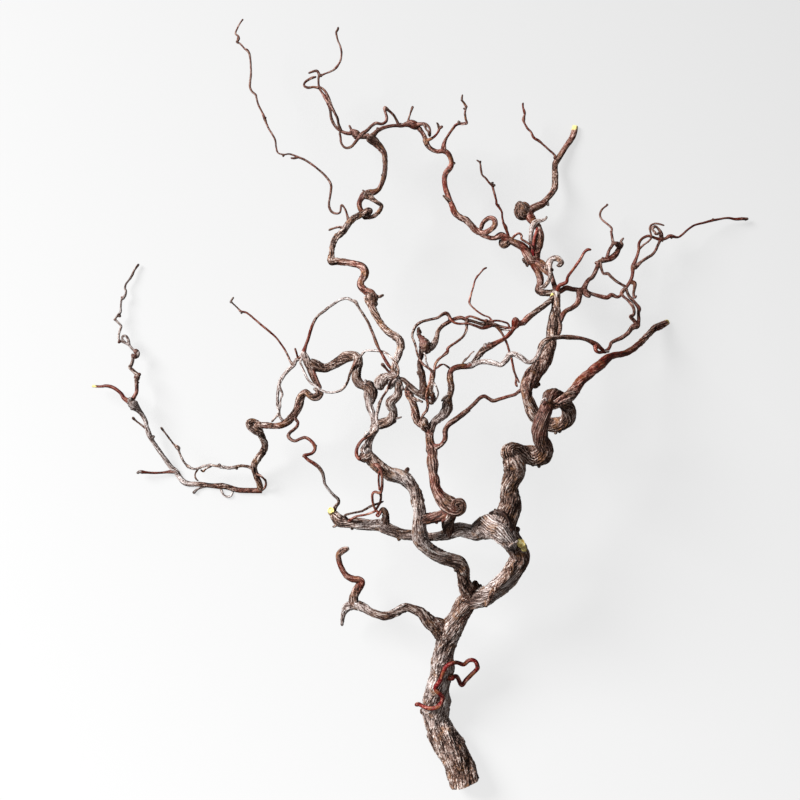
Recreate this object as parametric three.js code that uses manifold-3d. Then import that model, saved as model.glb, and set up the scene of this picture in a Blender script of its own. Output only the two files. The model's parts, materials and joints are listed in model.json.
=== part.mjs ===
// A dried, contorted jujube branch, lying on its back on a table.
//
// The branch is a stem that forks into limbs, and the limbs twist, loop and hook into each other.
// Each limb is described by the line that runs through its middle, read off a squared drawing of
// the branch seen from above: how far across, how far down, and how thick the limb is there.
// The height above the table is given separately, at even steps along the limb.
//
// Frame: +Z up, +Y towards the twigs, +X to the right of the drawing. Millimetres.

import * as THREE from 'three';
import { mergeVertices } from 'three/addons/utils/BufferGeometryUtils.js';
import Module from 'manifold-3d';

const wasm = await Module();
wasm.setup();

// ---- driving dimensions ----
const GRID = 1.25;            // one square of the drawing, mm
const LIFT = 1.8;             // one step of height in the lists below, in squares
const EYE = 1890;             // height above the table that the drawing is seen from, mm
const PLANE = 95;             // height at which one square is exactly GRID, mm
const CENTRE = [400, 400];    // the square straight below the eye
const ORIGIN = [27.7, -11.5];       // the middle of the branch's own box, measured from that square, mm
const SETTLE = 1.0;           // how deep a limb that lies on the table is worn flat, mm
const GAP = 0.35;             // clearance kept where one limb grows out of another, mm

// How many sides a limb has, by its radius in squares.
const SIDES = [[9, 8], [4.4, 6], [2.2, 5], [0, 4]];

// A point is left out of a solid if the limb passes this near to it without it, in squares:
// the first value is for limbs, the second for twigs.
const THINNING = [1.7, 2.4];
const TWIG_RADIUS = 3.4;      // a limb that is nowhere thicker than this is a twig, in squares

// ---- the limbs ----
// Each part of the branch is one entry, and it holds one or more limbs that grew as one.
//   points: [across, down, radius] in squares, from the root to the tip
//   rise:   height of the middle line at even steps from root to tip, in steps of LIFT squares
//   from:   the limb that it grows out of, which gives the height at the root
//   to:     the limb that its far end meets, which gives the height there
const BRANCH = {
  "trunk": {
    "trunk": {"rise": [0, 0, 7, 19, 31, 39], "points": [
      [466, 783, 14], [461, 770, 14.3], [456, 758, 14.5], [449, 746, 14.5], [442.5, 735, 14],
      [439, 727, 12.2], [436, 719, 12], [436, 710, 13.5], [436.5, 700, 13.3], [437.5, 690, 12],
      [440, 680, 11.2], [442.3, 670, 11.3], [442.5, 660, 10.8], [444.5, 650, 9.8], [447, 640, 10.2],
      [450.5, 630, 11.5], [456, 621, 9.8], [461, 612, 9.3], [467, 603, 10], [472, 597, 10]]},
    "tendril": {"rise": [18.5, 19.5, 21, 23, 25, 26.7, 23.4, 19.6, 16.3, 13, 9], "points": [
      [450, 679, 1.5], [456.5, 676.5, 1.5], [461.5, 685, 1.5], [466, 680, 1.6], [472, 674, 1.5],
      [477, 669, 1.4], [477.5, 666, 1.4], [475.5, 661.5, 1.4], [472, 660, 1.4], [468, 661, 1.5],
      [463.5, 664.5, 1.5], [456, 662.5, 1.5], [447.5, 665.5, 1.5], [444, 670.5, 1.5],
      [442, 675.5, 1.5], [440, 681, 1.5], [435.5, 688.5, 1.6], [442, 696, 1.5], [442.5, 699.5, 1.5],
      [440.5, 704, 1.5], [437, 707, 1.5], [433, 708.5, 1.5], [428, 708, 1.4], [423, 706.5, 1.4],
      [419, 704, 1.3], [413.8, 704.8, 1.1]]},
  },
  "right_limb": {
    "right_limb": {"from": "trunk", "rise": [44, 50, 57, 62, 68, 76], "points": [
      [468, 602, 9.5], [474, 598, 10], [482, 597.5, 10], [495, 590, 9], [506, 580, 9],
      [515, 568, 9.5], [520.5, 558, 9.5], [518, 550, 9.2], [511, 541, 10], [504, 531, 11],
      [506, 521, 11], [508, 513, 11], [510.5, 503, 10.5], [510, 495, 9.7], [509.3, 488, 8.8],
      [511.5, 480, 9.5], [514.5, 473, 10.2], [514.5, 465, 11], [510, 457, 9.5], [507, 452, 7.5]]},
  },
  "left_limb_lower": {
    "left_limb_lower": {"from": "trunk", "rise": [48, 53, 56, 58], "points": [
      [469, 598, 8], [465.5, 585, 6.5], [463.5, 577, 6.2], [462.5, 569, 7], [457, 562.5, 7],
      [447, 559, 6.4], [438, 555, 6.5], [430, 550, 6.5], [423, 543, 7], [420, 536, 7.2],
      [419.5, 527, 6.8], [420, 518, 6.4]]},
  },
  "left_limb_upper": {
    "left_limb_upper": {"from": "left_limb_lower", "rise": [60, 61, 62, 62, 60], "points": [
      [420, 520, 6.2], [419.5, 510, 6], [418, 502, 6.3], [416.5, 495, 6], [413.5, 488, 5.8],
      [409, 482, 6.4], [403.5, 477.5, 6.8], [397, 475.5, 7], [391, 474, 6.3], [385, 471, 6.2],
      [380, 467.5, 6.3], [375, 463, 6.3], [371, 459, 6], [368, 453.5, 5], [367.8, 447.5, 3.9],
      [369, 441.5, 3.7], [371.5, 436, 3.4], [374, 430, 4], [375.5, 424.5, 4.2]]},
    "crook_lump": {"from": "left_limb_upper", "rise": [64, 66], "points": [
      [369, 456, 4], [364, 457.5, 4], [359.5, 459.5, 2.5]]},
  },
  "crossing_branch": {
    "crossing_branch": {"from": "right_limb", "rise": [50, 45, 42, 42, 39, 36], "points": [
      [500, 527, 9.5], [490, 526.5, 9], [482, 529, 9], [475, 532.5, 7], [468, 531, 6.3],
      [461, 529.5, 6.5], [454, 531, 6.5], [447, 534.5, 5.5], [440, 536, 4.5], [432, 537, 4],
      [425, 537, 4.3], [417, 536, 4.6], [410, 535, 5], [400, 533.7, 4.9], [390, 530, 5.4],
      [385, 527.5, 6.2], [380, 525.3, 5.7], [370, 525, 5], [360, 523.3, 5.6], [352, 523, 4.7],
      [345, 522.8, 4.8], [340, 521, 6], [335.5, 516.5, 4.8], [332.3, 512, 3.4],
      [330.6, 509.8, 2.8]]},
    "crossing_stub": {"from": "crossing_branch", "rise": [43, 44], "points": [
      [385, 525, 3.6], [384.5, 516.5, 2.9], [383.7, 511.5, 2.5], [383, 508.5, 1.6]]},
  },
  "low_left_branch": {
    "low_left_branch": {"from": "trunk", "rise": [33, 28, 24, 19, 14], "points": [
      [449, 632, 6.5], [438, 626, 6], [430, 622.5, 5.5], [424, 616, 5], [420, 612, 4.5],
      [410, 608.3, 3.9], [405, 608, 4.3], [400, 610, 4], [390, 615, 3.6], [385, 616, 4],
      [380, 615.2, 3.8], [370, 611.7, 3.8], [360, 606, 4.5], [352, 605, 4.5], [347, 607, 4.2],
      [344, 613, 2.4], [342.5, 620, 1.5], [342, 626, 1.2]]},
    "low_left_shoot": {"from": "low_left_branch", "rise": [22, 26, 28], "points": [
      [354, 604, 3.6], [354, 597, 3.6], [357, 590, 4], [361, 583, 4], [359, 580, 3.7],
      [352, 578.5, 3.3], [346, 575, 3], [341.5, 568, 2.6], [339, 561, 2.6], [338.5, 555, 2.2],
      [342, 551, 2.3], [346, 549.5, 2], [349, 548.3, 1]]},
  },
  "coil_limb": {
    "coil_core": {"rise": [62, 65, 68], "points": [
      [451, 510.5, 6.2], [456.5, 507.5, 9.2], [459.5, 506, 7.2]]},
    "coil_root": {"from": "left_limb_lower", "to": "coil_core", "rise": [59, 61], "points": [
      [421, 519.5, 5.5], [431, 518.5, 4.7], [440, 516.5, 5], [448, 514, 5.8], [453, 511, 6]]},
    "coil_foot": {"from": "crossing_branch", "to": "coil_core", "rise": [53], "points": [
      [453, 530, 6.2], [447.5, 523, 6], [450, 516, 6]]},
    "coil_limb": {"from": "coil_core", "rise": [67, 66, 64, 62], "points": [
      [451, 506, 6.4], [447, 502, 6.3], [443, 498, 6], [438.5, 493.5, 5.5], [435.5, 487.5, 5],
      [434.5, 480, 5], [433, 474, 4.2], [433, 469, 4.8], [432.7, 464, 5.7], [432, 459, 5],
      [432.5, 454, 4.6], [431.5, 449, 5.6], [430.3, 444, 4.5], [429.5, 438, 4],
      [429.5, 432, 4.2]]},
  },
  "fork_left_limb": {
    "fork_left_limb": {"from": "coil_limb", "rise": [63, 65, 66, 67], "points": [
      [429.5, 434, 3.6], [425.5, 428, 3.2], [418, 422.5, 3], [416, 417, 4], [415, 410, 3.5],
      [413.3, 404, 3.4], [411.5, 399.5, 3.4], [409, 394.5, 3.8], [407.3, 389.5, 2.6],
      [407.3, 385, 1.5]]},
    "fork_bulb": {"from": "fork_left_limb", "rise": [65, 66], "points": [
      [425.5, 428.5, 3], [424, 424, 3.2], [423.7, 420.5, 3], [423, 416.5, 1.2]]},
  },
  "fork_right_limb": {
    "fork_right_limb": {"from": "coil_limb", "rise": [62, 61, 59, 57, 56], "points": [
      [430, 431, 3.8], [434, 422.5, 3.4], [438.5, 418.5, 3.8], [443, 415, 4.3],
      [446.5, 409.5, 5.3], [447.5, 403.5, 4.8], [448.8, 398, 3], [450.7, 392, 2.8],
      [451, 385, 2.9], [449.8, 377.5, 2.9], [450.5, 371.5, 2.8], [454.5, 368, 2.6],
      [460.5, 366.7, 2.7], [467, 366.3, 2.7], [473.5, 364, 3.6]]},
  },
  "s_bend": {
    "s_bend": {"from": "right_limb", "rise": [65, 61, 65, 72, 76, 78, 77, 75], "points": [
      [507.5, 451, 6.5], [514, 449, 7], [522, 453.5, 9], [532, 455.5, 9.7], [541, 455.5, 10],
      [545, 448, 8.5], [541, 440, 7.6], [540, 432, 8], [541, 425, 7.5], [543.5, 417, 7],
      [546, 409, 6.5], [548, 401, 7]]},
  },
  "top_loop": {
    "top_loop": {"from": "s_bend", "rise": [68, 60, 55, 51, 50, 52, 54, 55], "points": [
      [547.5, 403, 6.6], [552, 396.5, 8], [560, 399, 7.5], [567, 406, 7], [569, 415, 7],
      [564.5, 422, 7], [556, 424.5, 7], [547, 424, 6.5], [538, 418.5, 6.5], [532, 411, 6.3],
      [528, 400, 5.5], [526.5, 393, 5.4]]},
  },
  "upper_right_limb": {
    "upper_right_limb": {"from": "top_loop", "rise": [50, 45, 40, 36, 32], "points": [
      [526.5, 395, 5.2], [528, 385, 7.5], [533, 376, 8], [538, 369, 7.6], [543.5, 360, 7.8],
      [547, 354, 7], [549.5, 349, 5.8], [551, 343, 5.5], [551.5, 335, 5], [552.5, 327, 5.2],
      [553.5, 318, 4.6], [555.5, 308, 4.2], [556, 300, 4], [556.5, 292, 3.8]]},
    "red_strand": {"from": "upper_right_limb", "to": "upper_right_limb", "rise": [36, 39],
      "points": [[556, 299, 2], [558.5, 310, 1.9], [559.5, 320, 1.9], [560, 330, 1.8],
      [556, 337, 2]]},
  },
  "red_right_branch": {
    "red_right_branch": {"from": "s_bend", "rise": [76, 66, 57, 47, 33, 21, 10, 0], "points": [
      [547, 406, 4], [556, 404, 4], [561, 401, 4.5], [567, 397, 5], [572, 394, 5.5],
      [576, 388.5, 5], [580, 382, 4.6], [585, 377, 4.4], [590, 373.5, 4.4], [596, 368, 4.8],
      [602, 363.5, 4.7], [606, 359.5, 4], [612, 356, 3.2], [620, 354.3, 3], [628, 352, 3],
      [633, 349, 2.8], [639, 344, 2.8], [645, 338, 2.6], [651, 331.5, 2.8], [655, 328, 3.2],
      [660, 326, 3], [665, 323.5, 2.6], [668, 321.5, 1.8]]},
    "red_right_spur": {"from": "red_right_branch", "rise": [68, 68], "points": [
      [575, 391, 3], [572, 396.5, 2.6], [569, 399.8, 2]]},
  },
  "rising_branch": {
    "rising_branch": {"from": "fork_right_limb", "to": "upper_right_limb",
      "rise": [55, 53, 50, 46, 41], "points": [
      [473, 364.5, 3.2], [477, 358, 2.6], [481, 352.5, 3], [485.5, 348.5, 3.2],
      [491, 345.8, 3], [497, 342.5, 2.2], [503, 339.5, 1.8], [507, 336.5, 1.9], [511, 332, 2.1],
      [514, 327.5, 2.6], [518.5, 324, 2.6], [523.5, 322.3, 2.7], [528, 317.7, 3],
      [535, 312.5, 2.6], [543, 306.5, 2.6], [550, 301, 2.6], [555, 296.5, 2.5]]},
    "rising_ball": {"from": "rising_branch", "rise": [53], "points": [
      [514.5, 326, 2.4], [515.5, 320.5, 3.2], [516, 317.5, 1.6]]},
  },
  "pale_branch": {
    "pale_branch": {"from": "fork_right_limb", "rise": [59, 62, 62, 62, 57, 50, 44, 38],
      "points": [
      [472, 364, 3], [481, 361.8, 2.3], [489, 362, 2.5], [495, 363.3, 2.4], [501, 365, 2.2],
      [506, 360.5, 2.8], [509.5, 355.2, 2.8], [514.5, 354.3, 2.5], [520.5, 357.2, 2.7],
      [526, 361.3, 2.2], [530.5, 362.3, 1.9], [535, 359.5, 2], [538.5, 354, 2.2],
      [540.8, 347, 2.8], [544.5, 341.8, 2.6], [550, 338.7, 2.3], [560, 337.2, 2],
      [570, 337.3, 2.3], [580, 338.2, 1.8], [588, 340.3, 1.8], [595, 344, 2.6],
      [600.5, 348, 1.8], [604, 351.5, 1.8]]},
    "pale_branch_strand": {"from": "pale_branch", "to": "pale_branch", "rise": [44], "points": [
      [595, 345, 2], [596, 350.5, 1.5], [599.5, 352.5, 1.3], [604, 351.8, 1.3]]},
  },
  "right_tangle": {
    "right_tangle": {"from": "pale_branch", "rise": [36, 33, 30, 28, 27, 26, 25, 24], "points": [
      [603, 351.3, 1.5], [607.5, 350, 1.6], [610, 346.3, 1.5], [611.5, 342.8, 1.6],
      [616.5, 340, 1.8], [622, 337.5, 1.9], [627.5, 333.5, 1.9], [631, 329, 2.2],
      [634, 326.5, 3], [637.5, 326, 2.4], [638.7, 320, 1.6], [638.5, 313, 1.5], [639, 308.5, 1.8],
      [636, 304, 1.5], [632.5, 300, 1.6], [629, 296, 1.4], [627, 291.5, 1.3], [626, 287.5, 1.5]]},
    "tangle_left_strand": {"from": "right_tangle", "to": "right_tangle", "rise": [30, 29, 27],
      "points": [
      [637, 325, 1.6], [634, 320.5, 1.6], [630.5, 316.5, 1.5], [633.5, 315, 1.3],
      [634.2, 311, 1.4], [633, 306.5, 1.5], [630, 302.5, 1.4], [626.5, 299, 1.2],
      [623.3, 296.5, 1.2], [622.3, 293, 1.2], [626, 288.5, 1.4]]},
  },
  "far_right_twig": {
    "far_right_twig": {"from": "right_tangle", "rise": [23, 22, 20, 19, 17, 14, 11, 8, 5, 3],
      "points": [
      [626, 288, 1.4], [630, 281.8, 1.6], [631.8, 277.5, 1.5], [632.7, 272.5, 1.6],
      [632.8, 267, 2], [634.8, 262, 1.7], [637, 256.5, 1.3], [638.8, 250, 1.3],
      [639, 243.5, 1.2], [642, 238.8, 1.2], [647.5, 236, 1.2], [652, 236.8, 1.2],
      [656.5, 238.5, 1.3], [661, 239.3, 1.6], [666, 238.3, 1.4], [670, 236, 1.7],
      [677.5, 237.3, 0.9], [682, 234.8, 0.9], [688.5, 229, 0.9], [695, 225, 0.9],
      [703, 223, 0.9], [711, 220.8, 1.1], [720, 219, 0.9], [728, 218, 0.9],
      [735.5, 219.2, 1.2], [742, 218.8, 1.4], [748, 218.8, 0.9]]},
    "right_loop_twig": {"from": "far_right_twig", "to": "far_right_twig", "rise": [24, 22],
      "points": [
      [633, 267.5, 2], [636.5, 266, 1.8], [641, 262, 1.4], [646, 258.5, 1.3], [652, 254.8, 1.3],
      [655.5, 250.5, 1.2], [658, 245, 1.2], [660.5, 239.5, 1.3]]},
    "tangle_up_strand": {"from": "far_right_twig", "rise": [25, 27], "points": [
      [630.5, 282, 1.5], [634.5, 283.5, 1.8], [634.3, 289, 1.4], [633.5, 294, 1.3],
      [634.5, 297.5, 1.2], [636.8, 295.5, 0.9]]},
    "right_curl": {"from": "far_right_twig", "rise": [19, 20], "points": [
      [661, 239, 1.6], [660.8, 233, 1.7], [658, 228.5, 1.1], [654.8, 226.3, 1], [650, 228.5, 0.9],
      [651, 225.3, 0.8], [655, 223.6, 0.8], [660, 224.2, 0.8], [664.5, 225.6, 0.6]]},
  },
  "right_side_branch": {
    "right_side_branch": {"from": "upper_right_limb", "to": "right_tangle",
      "rise": [31, 30, 28, 27, 26], "points": [
      [556.5, 294, 2.6], [561.5, 290.5, 2.3], [566, 288, 2.5], [572, 289, 2.3], [578, 290, 2.3],
      [583, 290.5, 3], [588, 292.5, 1.8], [594, 294.5, 1.6], [600, 296.3, 1.9], [607, 297.5, 2],
      [611.5, 295, 2.1], [617, 297, 1.4], [620.5, 295.5, 1.3], [622, 291, 1.3], [626, 287.5, 1.5]]},
    "side_stub": {"from": "right_side_branch", "rise": [31], "points": [
      [584, 291, 2.6], [587.5, 294.5, 2.4], [590, 297.5, 2]]},
    "down_strand": {"from": "right_side_branch", "to": "upper_right_limb", "rise": [33, 37],
      "points": [[579.5, 290, 2.4], [579.3, 296, 2.3], [577.5, 303, 2.4], [572, 308, 2.2],
      [566, 311, 2.2], [562.5, 315.5, 2.5], [560, 321, 2.4], [556, 325, 2]]},
  },
  "gall_branch": {
    "gall_branch": {"from": "right_side_branch", "rise": [27, 24, 21, 19, 17, 16], "points": [
      [583.5, 290, 2.4], [585.5, 284.5, 2], [588.5, 280, 1.8], [592.5, 277, 2],
      [595.5, 271.5, 1.9], [598, 265.5, 2], [599, 262.5, 2], [603, 260.5, 2.4], [608, 259.3, 2.8],
      [612.5, 257.3, 3], [616.5, 253.3, 2.6], [619, 248.5, 2.2], [621.5, 245, 2],
      [621, 241.5, 1.2], [623.8, 237.7, 0.8]]},
    "gall_high_twig": {"from": "gall_branch", "rise": [21, 19, 17, 15, 13], "points": [
      [606.5, 259, 1.2], [609, 250.5, 1.1], [612.8, 244, 1.2], [612.3, 238.5, 1.1],
      [611.5, 233, 1.1], [611.5, 228, 0.9], [606, 223, 0.8], [601.5, 219, 0.8], [600, 214.5, 0.9],
      [602, 209.5, 0.8], [606, 206, 0.8], [608, 204, 1.4]]},
    "gall_low_twig": {"from": "gall_branch", "to": "right_side_branch", "rise": [25, 26],
      "points": [[600, 263, 1.3], [601.5, 269, 1.2], [603.5, 273.5, 1.2], [608, 273.7, 1.4],
      [611.5, 277.2, 1.3], [616, 281, 1.2], [621, 284, 1.2], [626, 287, 1.4]]},
  },
  "red_twig": {
    "red_twig": {"from": "upper_right_limb", "rise": [36, 39, 42, 44], "points": [
      [556, 294, 2.2], [559, 286, 1.8], [563, 284, 1.7], [566.5, 282, 1.6], [567.8, 277, 1.3],
      [570.5, 273, 1.2], [575, 267, 1.2], [580, 260, 1.2], [584, 252.8, 1.2], [587.5, 249.8, 1.4],
      [591.5, 249.8, 0.9]]},
  },
  "burl_strands": {
    "burl": {"rise": [26, 26], "points": [[538, 264, 3.4], [532, 260.5, 5.2], [526, 261.5, 4]]},
    "left_strand": {"from": "upper_right_limb", "to": "burl", "rise": [31, 29, 27], "points": [
      [556, 293, 3.4], [549, 293, 3], [542, 292.5, 3.3], [538, 290, 3], [540, 284, 3.2],
      [540, 278, 3.3], [538, 272, 3.2], [534, 264, 4.2]]},
    "right_strand": {"from": "upper_right_limb", "to": "burl", "rise": [32, 31, 29], "points": [
      [556, 293, 3], [554, 284, 2.3], [551.5, 277, 2.3], [547, 270.5, 3.8], [543, 266, 4.2],
      [536, 261, 4]]},
    "burl_hook": {"from": "right_strand", "rise": [33, 35], "points": [
      [547, 269, 2.4], [549.5, 262, 2.3], [553, 258.8, 2.6], [557.5, 259, 2.6], [561, 262, 2.4],
      [560, 265, 2], [556.5, 266, 1]]},
  },
  "lens_strands": {
    "lens_right": {"from": "burl", "rise": [25, 24, 22], "points": [
      [537, 260, 2.8], [537, 251, 2.4], [540, 244, 3.2], [540.5, 237, 3.4], [539.5, 230, 3],
      [536.5, 224.5, 2.8]]},
    "lens_left": {"from": "burl", "to": "lens_right", "rise": [25, 24, 23], "points": [
      [533, 259, 2.4], [532, 249, 1.8], [531.3, 241, 1.8], [532, 233, 1.9], [533, 227, 2.4],
      [536, 224.5, 2.2]]},
  },
  "knob_cluster": {
    "knob_cluster": {"from": "lens_right", "rise": [20, 18, 17], "points": [
      [536.5, 226, 2.8], [534.5, 223, 3.2], [531, 219, 4.5], [528.5, 214, 4.8], [526, 209, 5],
      [523.5, 205, 5], [520.5, 202, 3.5]]},
    "knob_lobe": {"from": "knob_cluster", "rise": [20, 20], "points": [
      [524, 216, 3], [518.5, 213, 3.6], [517.5, 207, 3.8], [519, 203, 3.4]]},
  },
  "yellow_tip_branch": {
    "yellow_tip_branch": {"from": "knob_cluster", "rise": [12, 6, 3, 0], "points": [
      [528, 212, 3.2], [533, 208.5, 3.2], [538, 206, 3.4], [543, 203.5, 3.4], [547, 199, 2.8],
      [552, 193, 2.7], [554.8, 187, 3], [555, 179, 2.9], [555, 170, 2.8], [555.3, 164, 3],
      [558, 159, 3], [563, 151.5, 2.7], [567, 145, 2.6], [571, 139.5, 2.8], [573.7, 134, 2.9],
      [575, 126, 2.4]]},
    "yellow_side_twig": {"from": "yellow_tip_branch", "rise": [8, 11, 14, 17], "points": [
      [556.5, 161, 1.4], [554.5, 155, 0.9], [548, 149, 0.9], [542, 143.5, 0.9], [539, 141, 1.3],
      [533.8, 137.7, 1.2], [531, 132, 0.9], [527.5, 128.5, 0.9], [524.5, 123, 0.9],
      [523.5, 119.3, 1.5], [524.5, 115, 0.9], [524.5, 112.5, 1.2], [523, 107, 0.8],
      [523, 102.5, 0.9]]},
  },
  "chain_left": {
    "chain_left": {"from": "burl", "rise": [27, 28, 28], "points": [
      [530, 258, 4.6], [525, 249, 4.2], [519, 244.5, 3.8], [512, 241.5, 3.2], [506, 238.5, 3.6],
      [501, 235.5, 3.4], [495, 238, 2.2], [489, 237.5, 2], [483, 235, 2], [479, 232, 2.8]]},
    "chain_ball": {"from": "chain_left", "rise": [25], "points": [
      [508, 241.5, 2.6], [504, 244.5, 3.4], [499.5, 240, 2]]},
    "chain_ring": {"from": "chain_left", "rise": [30, 32, 31, 29], "points": [
      [480, 232.5, 2.6], [485, 232.8, 2.5], [490.5, 230, 2.6], [494.5, 225.5, 2.6],
      [494.5, 220, 2.5], [490.5, 217.8, 2.2], [486, 219.8, 2.1], [482.5, 224, 2],
      [480.5, 230, 2]]},
    "chain_twig": {"from": "chain_left", "rise": [31, 33, 36, 39, 42], "points": [
      [509, 239.5, 1.6], [508, 235, 1.1], [506.8, 231, 1.2], [505.5, 227, 1.7], [503.5, 223, 1],
      [502.3, 217.5, 0.9], [501.8, 212, 0.9], [499.3, 207.5, 1.1], [496.6, 204, 1.1],
      [496, 199, 0.9], [493.5, 190, 1], [492.3, 185.8, 1.1], [489, 182.5, 0.8],
      [486, 178.5, 0.8], [482.3, 175, 0.8], [481, 170, 0.9], [480, 162.8, 0.7],
      [476.5, 160, 0.6]]},
  },
  "chain_limb": {
    "chain_limb": {"from": "chain_left", "rise": [29, 30, 30, 30, 31, 31, 32], "points": [
      [479, 232, 2.8], [474.5, 229, 2.8], [470.5, 224.5, 2.9], [466, 220, 3], [460.5, 217.5, 3],
      [455.5, 213.5, 3.3], [452.5, 206.5, 2.7], [449.8, 200, 2.3], [447, 193, 2.4],
      [445, 186, 2.4], [444.5, 179, 2.4], [446, 173, 2.5], [449.5, 168.5, 2.7],
      [451.5, 163.5, 2.3], [450.5, 158, 2.4], [447.5, 153, 2.5], [443, 151, 2.4],
      [437.5, 151.5, 1.9], [432, 149.5, 2], [428, 146, 2.4], [426, 141.5, 2.8], [424.5, 136.5, 2],
      [421.5, 131.5, 1.9], [418, 127, 3]]},
    "chain_end_twig": {"from": "chain_limb", "rise": [33, 36, 38], "points": [
      [444.5, 150, 2], [443.8, 145, 1.8], [446, 139, 1.1], [449.5, 133.5, 1.1], [453, 128.5, 1.1],
      [456, 124.8, 1.2], [460, 123.8, 1.1], [467.5, 123.3, 1.3]]},
    "chain_high_twig": {"from": "chain_end_twig", "rise": [40, 43], "points": [
      [466.5, 123.5, 1.1], [466, 119.5, 0.9], [465, 114.5, 0.8], [465.5, 109.5, 0.9],
      [466, 106.5, 1.2], [464, 103, 0.8], [462, 100, 0.9], [462.5, 94.3, 0.6]]},
    "chain_mid_twig": {"from": "chain_limb", "rise": [35, 38], "points": [
      [427.5, 140.5, 1.5], [432, 138.2, 1.1], [435.5, 135.5, 1], [438.3, 131.5, 1],
      [439.5, 128.5, 1.2], [442.8, 126, 1.4]]},
  },
  "top_arm": {
    "top_arm": {"rise": [34, 33, 32, 32], "points": [
      [371, 137, 3], [374, 134.5, 2.3], [378, 130.5, 1.8], [384, 127.5, 1.6], [390, 126.2, 1.5],
      [396, 125.6, 1.5], [401, 125.8, 1.7], [406, 124.5, 2.4], [411, 124, 4], [416, 126, 4.2],
      [419.5, 128, 3]]},
    "top_knot_loop": {"from": "top_arm", "rise": [35, 36, 34], "points": [
      [415, 124, 2], [424, 123.7, 1.2], [428, 126, 1.1], [430, 130, 1], [430, 134.5, 1.1],
      [429.3, 137, 1.2]]},
    "top_triangle": {"from": "top_arm", "rise": [35, 37], "points": [
      [399, 126, 1.3], [396.5, 120, 1.1], [393.5, 115, 1.1], [389, 110.8, 1.2], [385, 108, 1.8]]},
    "top_loop_strand": {"from": "top_triangle", "rise": [38, 40, 41, 40, 38, 36], "points": [
      [385, 108, 1.8], [385.3, 112, 1.2], [386.7, 117, 1.3], [386, 121.5, 1.3], [382, 124, 1.3],
      [376, 123.3, 1.4], [371.5, 126, 1.4], [367, 130.5, 1.5], [362, 134, 1.9],
      [358.5, 138, 1.6], [355, 142.5, 1.3], [351.5, 146.5, 1.3], [347, 148, 1.1],
      [343.5, 146.5, 1], [341, 142, 1], [340.5, 137, 1], [339.5, 132, 1]]},
  },
  "bulb_limb": {
    "bulb_limb": {"rise": [34, 35, 36, 37, 38, 39, 40], "points": [
      [369, 136, 3.6], [371, 138.5, 4.8], [375.5, 142.5, 4], [380.3, 147.5, 3], [384, 153, 2.5],
      [385, 160, 2.3], [385, 168, 2.2], [383.8, 177.5, 2.2], [381.5, 184.5, 2.2],
      [378.5, 189.5, 2.3], [374.5, 192, 2.8], [369.5, 193, 3.2], [364.5, 195, 3.2],
      [361, 199, 2.4], [359.3, 203.5, 2.3], [360, 208, 2.3], [363, 213, 2.2]]},
    "ring_knot_strap": {"from": "bulb_limb", "rise": [41, 41], "points": [
      [367, 195.5, 3.4], [373, 199.8, 1.8], [376, 203, 1.6], [379.5, 207.5, 1.7],
      [376, 212.5, 2.1]]},
  },
  "double_strand_twig": {
    "double_strand_twig": {"from": "bulb_limb", "rise": [35, 34, 33, 32, 31, 30, 29, 28],
      "points": [
      [368, 136.5, 2], [361, 136.5, 2.2], [356.5, 134.5, 4], [352.5, 132, 3], [350, 133.5, 1.8],
      [345, 132.8, 1.5], [340, 130.5, 1.4], [336, 127, 1.3], [333, 122.5, 1.4], [331, 117, 1.3],
      [330.5, 112, 1.2], [329.8, 107, 1.7], [328, 102, 1.8], [325.3, 97.5, 1.7], [322, 92.5, 1],
      [319.5, 88.5, 1], [318.5, 84, 0.9], [318.5, 79, 0.9], [319, 74.5, 1.2], [317, 71, 1.2],
      [313, 71.5, 1], [308.3, 73.3, 0.8]]},
    "strand_hook": {"from": "double_strand_twig", "rise": [29, 27], "points": [
      [320, 88, 1], [313.5, 87, 0.9], [308, 87.7, 1.2], [304, 85.5, 0.9], [305.5, 81.8, 1],
      [309.5, 79, 1.2]]},
    "topmost_twig": {"from": "double_strand_twig", "rise": [30, 31, 33, 34], "points": [
      [318.5, 76.5, 0.9], [325, 73.7, 0.7], [329.5, 72, 0.7], [333.5, 70, 0.8],
      [336.3, 67.3, 1.2], [338.5, 64.5, 0.8], [340.3, 61, 0.8], [341.3, 56.5, 0.8],
      [341.5, 51.5, 0.8], [340.2, 46, 0.7], [338, 40.8, 0.7], [336.8, 36, 0.8], [336.2, 32.3, 1],
      [337.8, 29.5, 1], [338.2, 26.8, 0.9]]},
  },
  "curl_limb": {
    "curl_limb": {"from": "left_limb_upper", "rise": [62, 64, 66, 66, 66], "points": [
      [375.5, 426, 4], [383, 423.5, 5], [389, 421.5, 4.8], [392.5, 417, 4.8], [393.3, 411, 3.8],
      [391, 406, 4.5], [390.5, 402, 4.8], [394.5, 398.5, 4.3], [397.8, 394.5, 4],
      [398.5, 389, 3.8], [398.5, 383.5, 4.4], [398, 379, 3.4]]},
    "curl_horn": {"from": "curl_limb", "rise": [66, 67], "points": [
      [397, 382, 3.6], [393.5, 383, 3.3], [391, 386.5, 2.2], [389.8, 389.5, 1.2]]},
    "curl_spur": {"from": "curl_limb", "rise": [67], "points": [
      [399.5, 384, 3], [402.5, 388.5, 2], [404.8, 389.3, 1.1]]},
  },
  "top_limb_lower": {
    "top_limb_lower": {"from": "curl_limb", "rise": [64, 62, 60, 57, 53, 50], "points": [
      [398, 381, 3.2], [394.3, 373, 2.9], [393.8, 367, 2.8], [396, 361, 2.8], [398.5, 355, 3.5],
      [400, 350, 3.3], [400.7, 345, 3.7], [399, 340, 3.8], [394.5, 335.8, 3.7],
      [388, 331.5, 3.4], [382, 325, 3], [377.5, 318, 3], [374, 312, 3.2], [372.3, 306.5, 4],
      [371.3, 301, 6.5], [371.5, 297, 7.5], [370, 292.5, 5.2]]},
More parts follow.
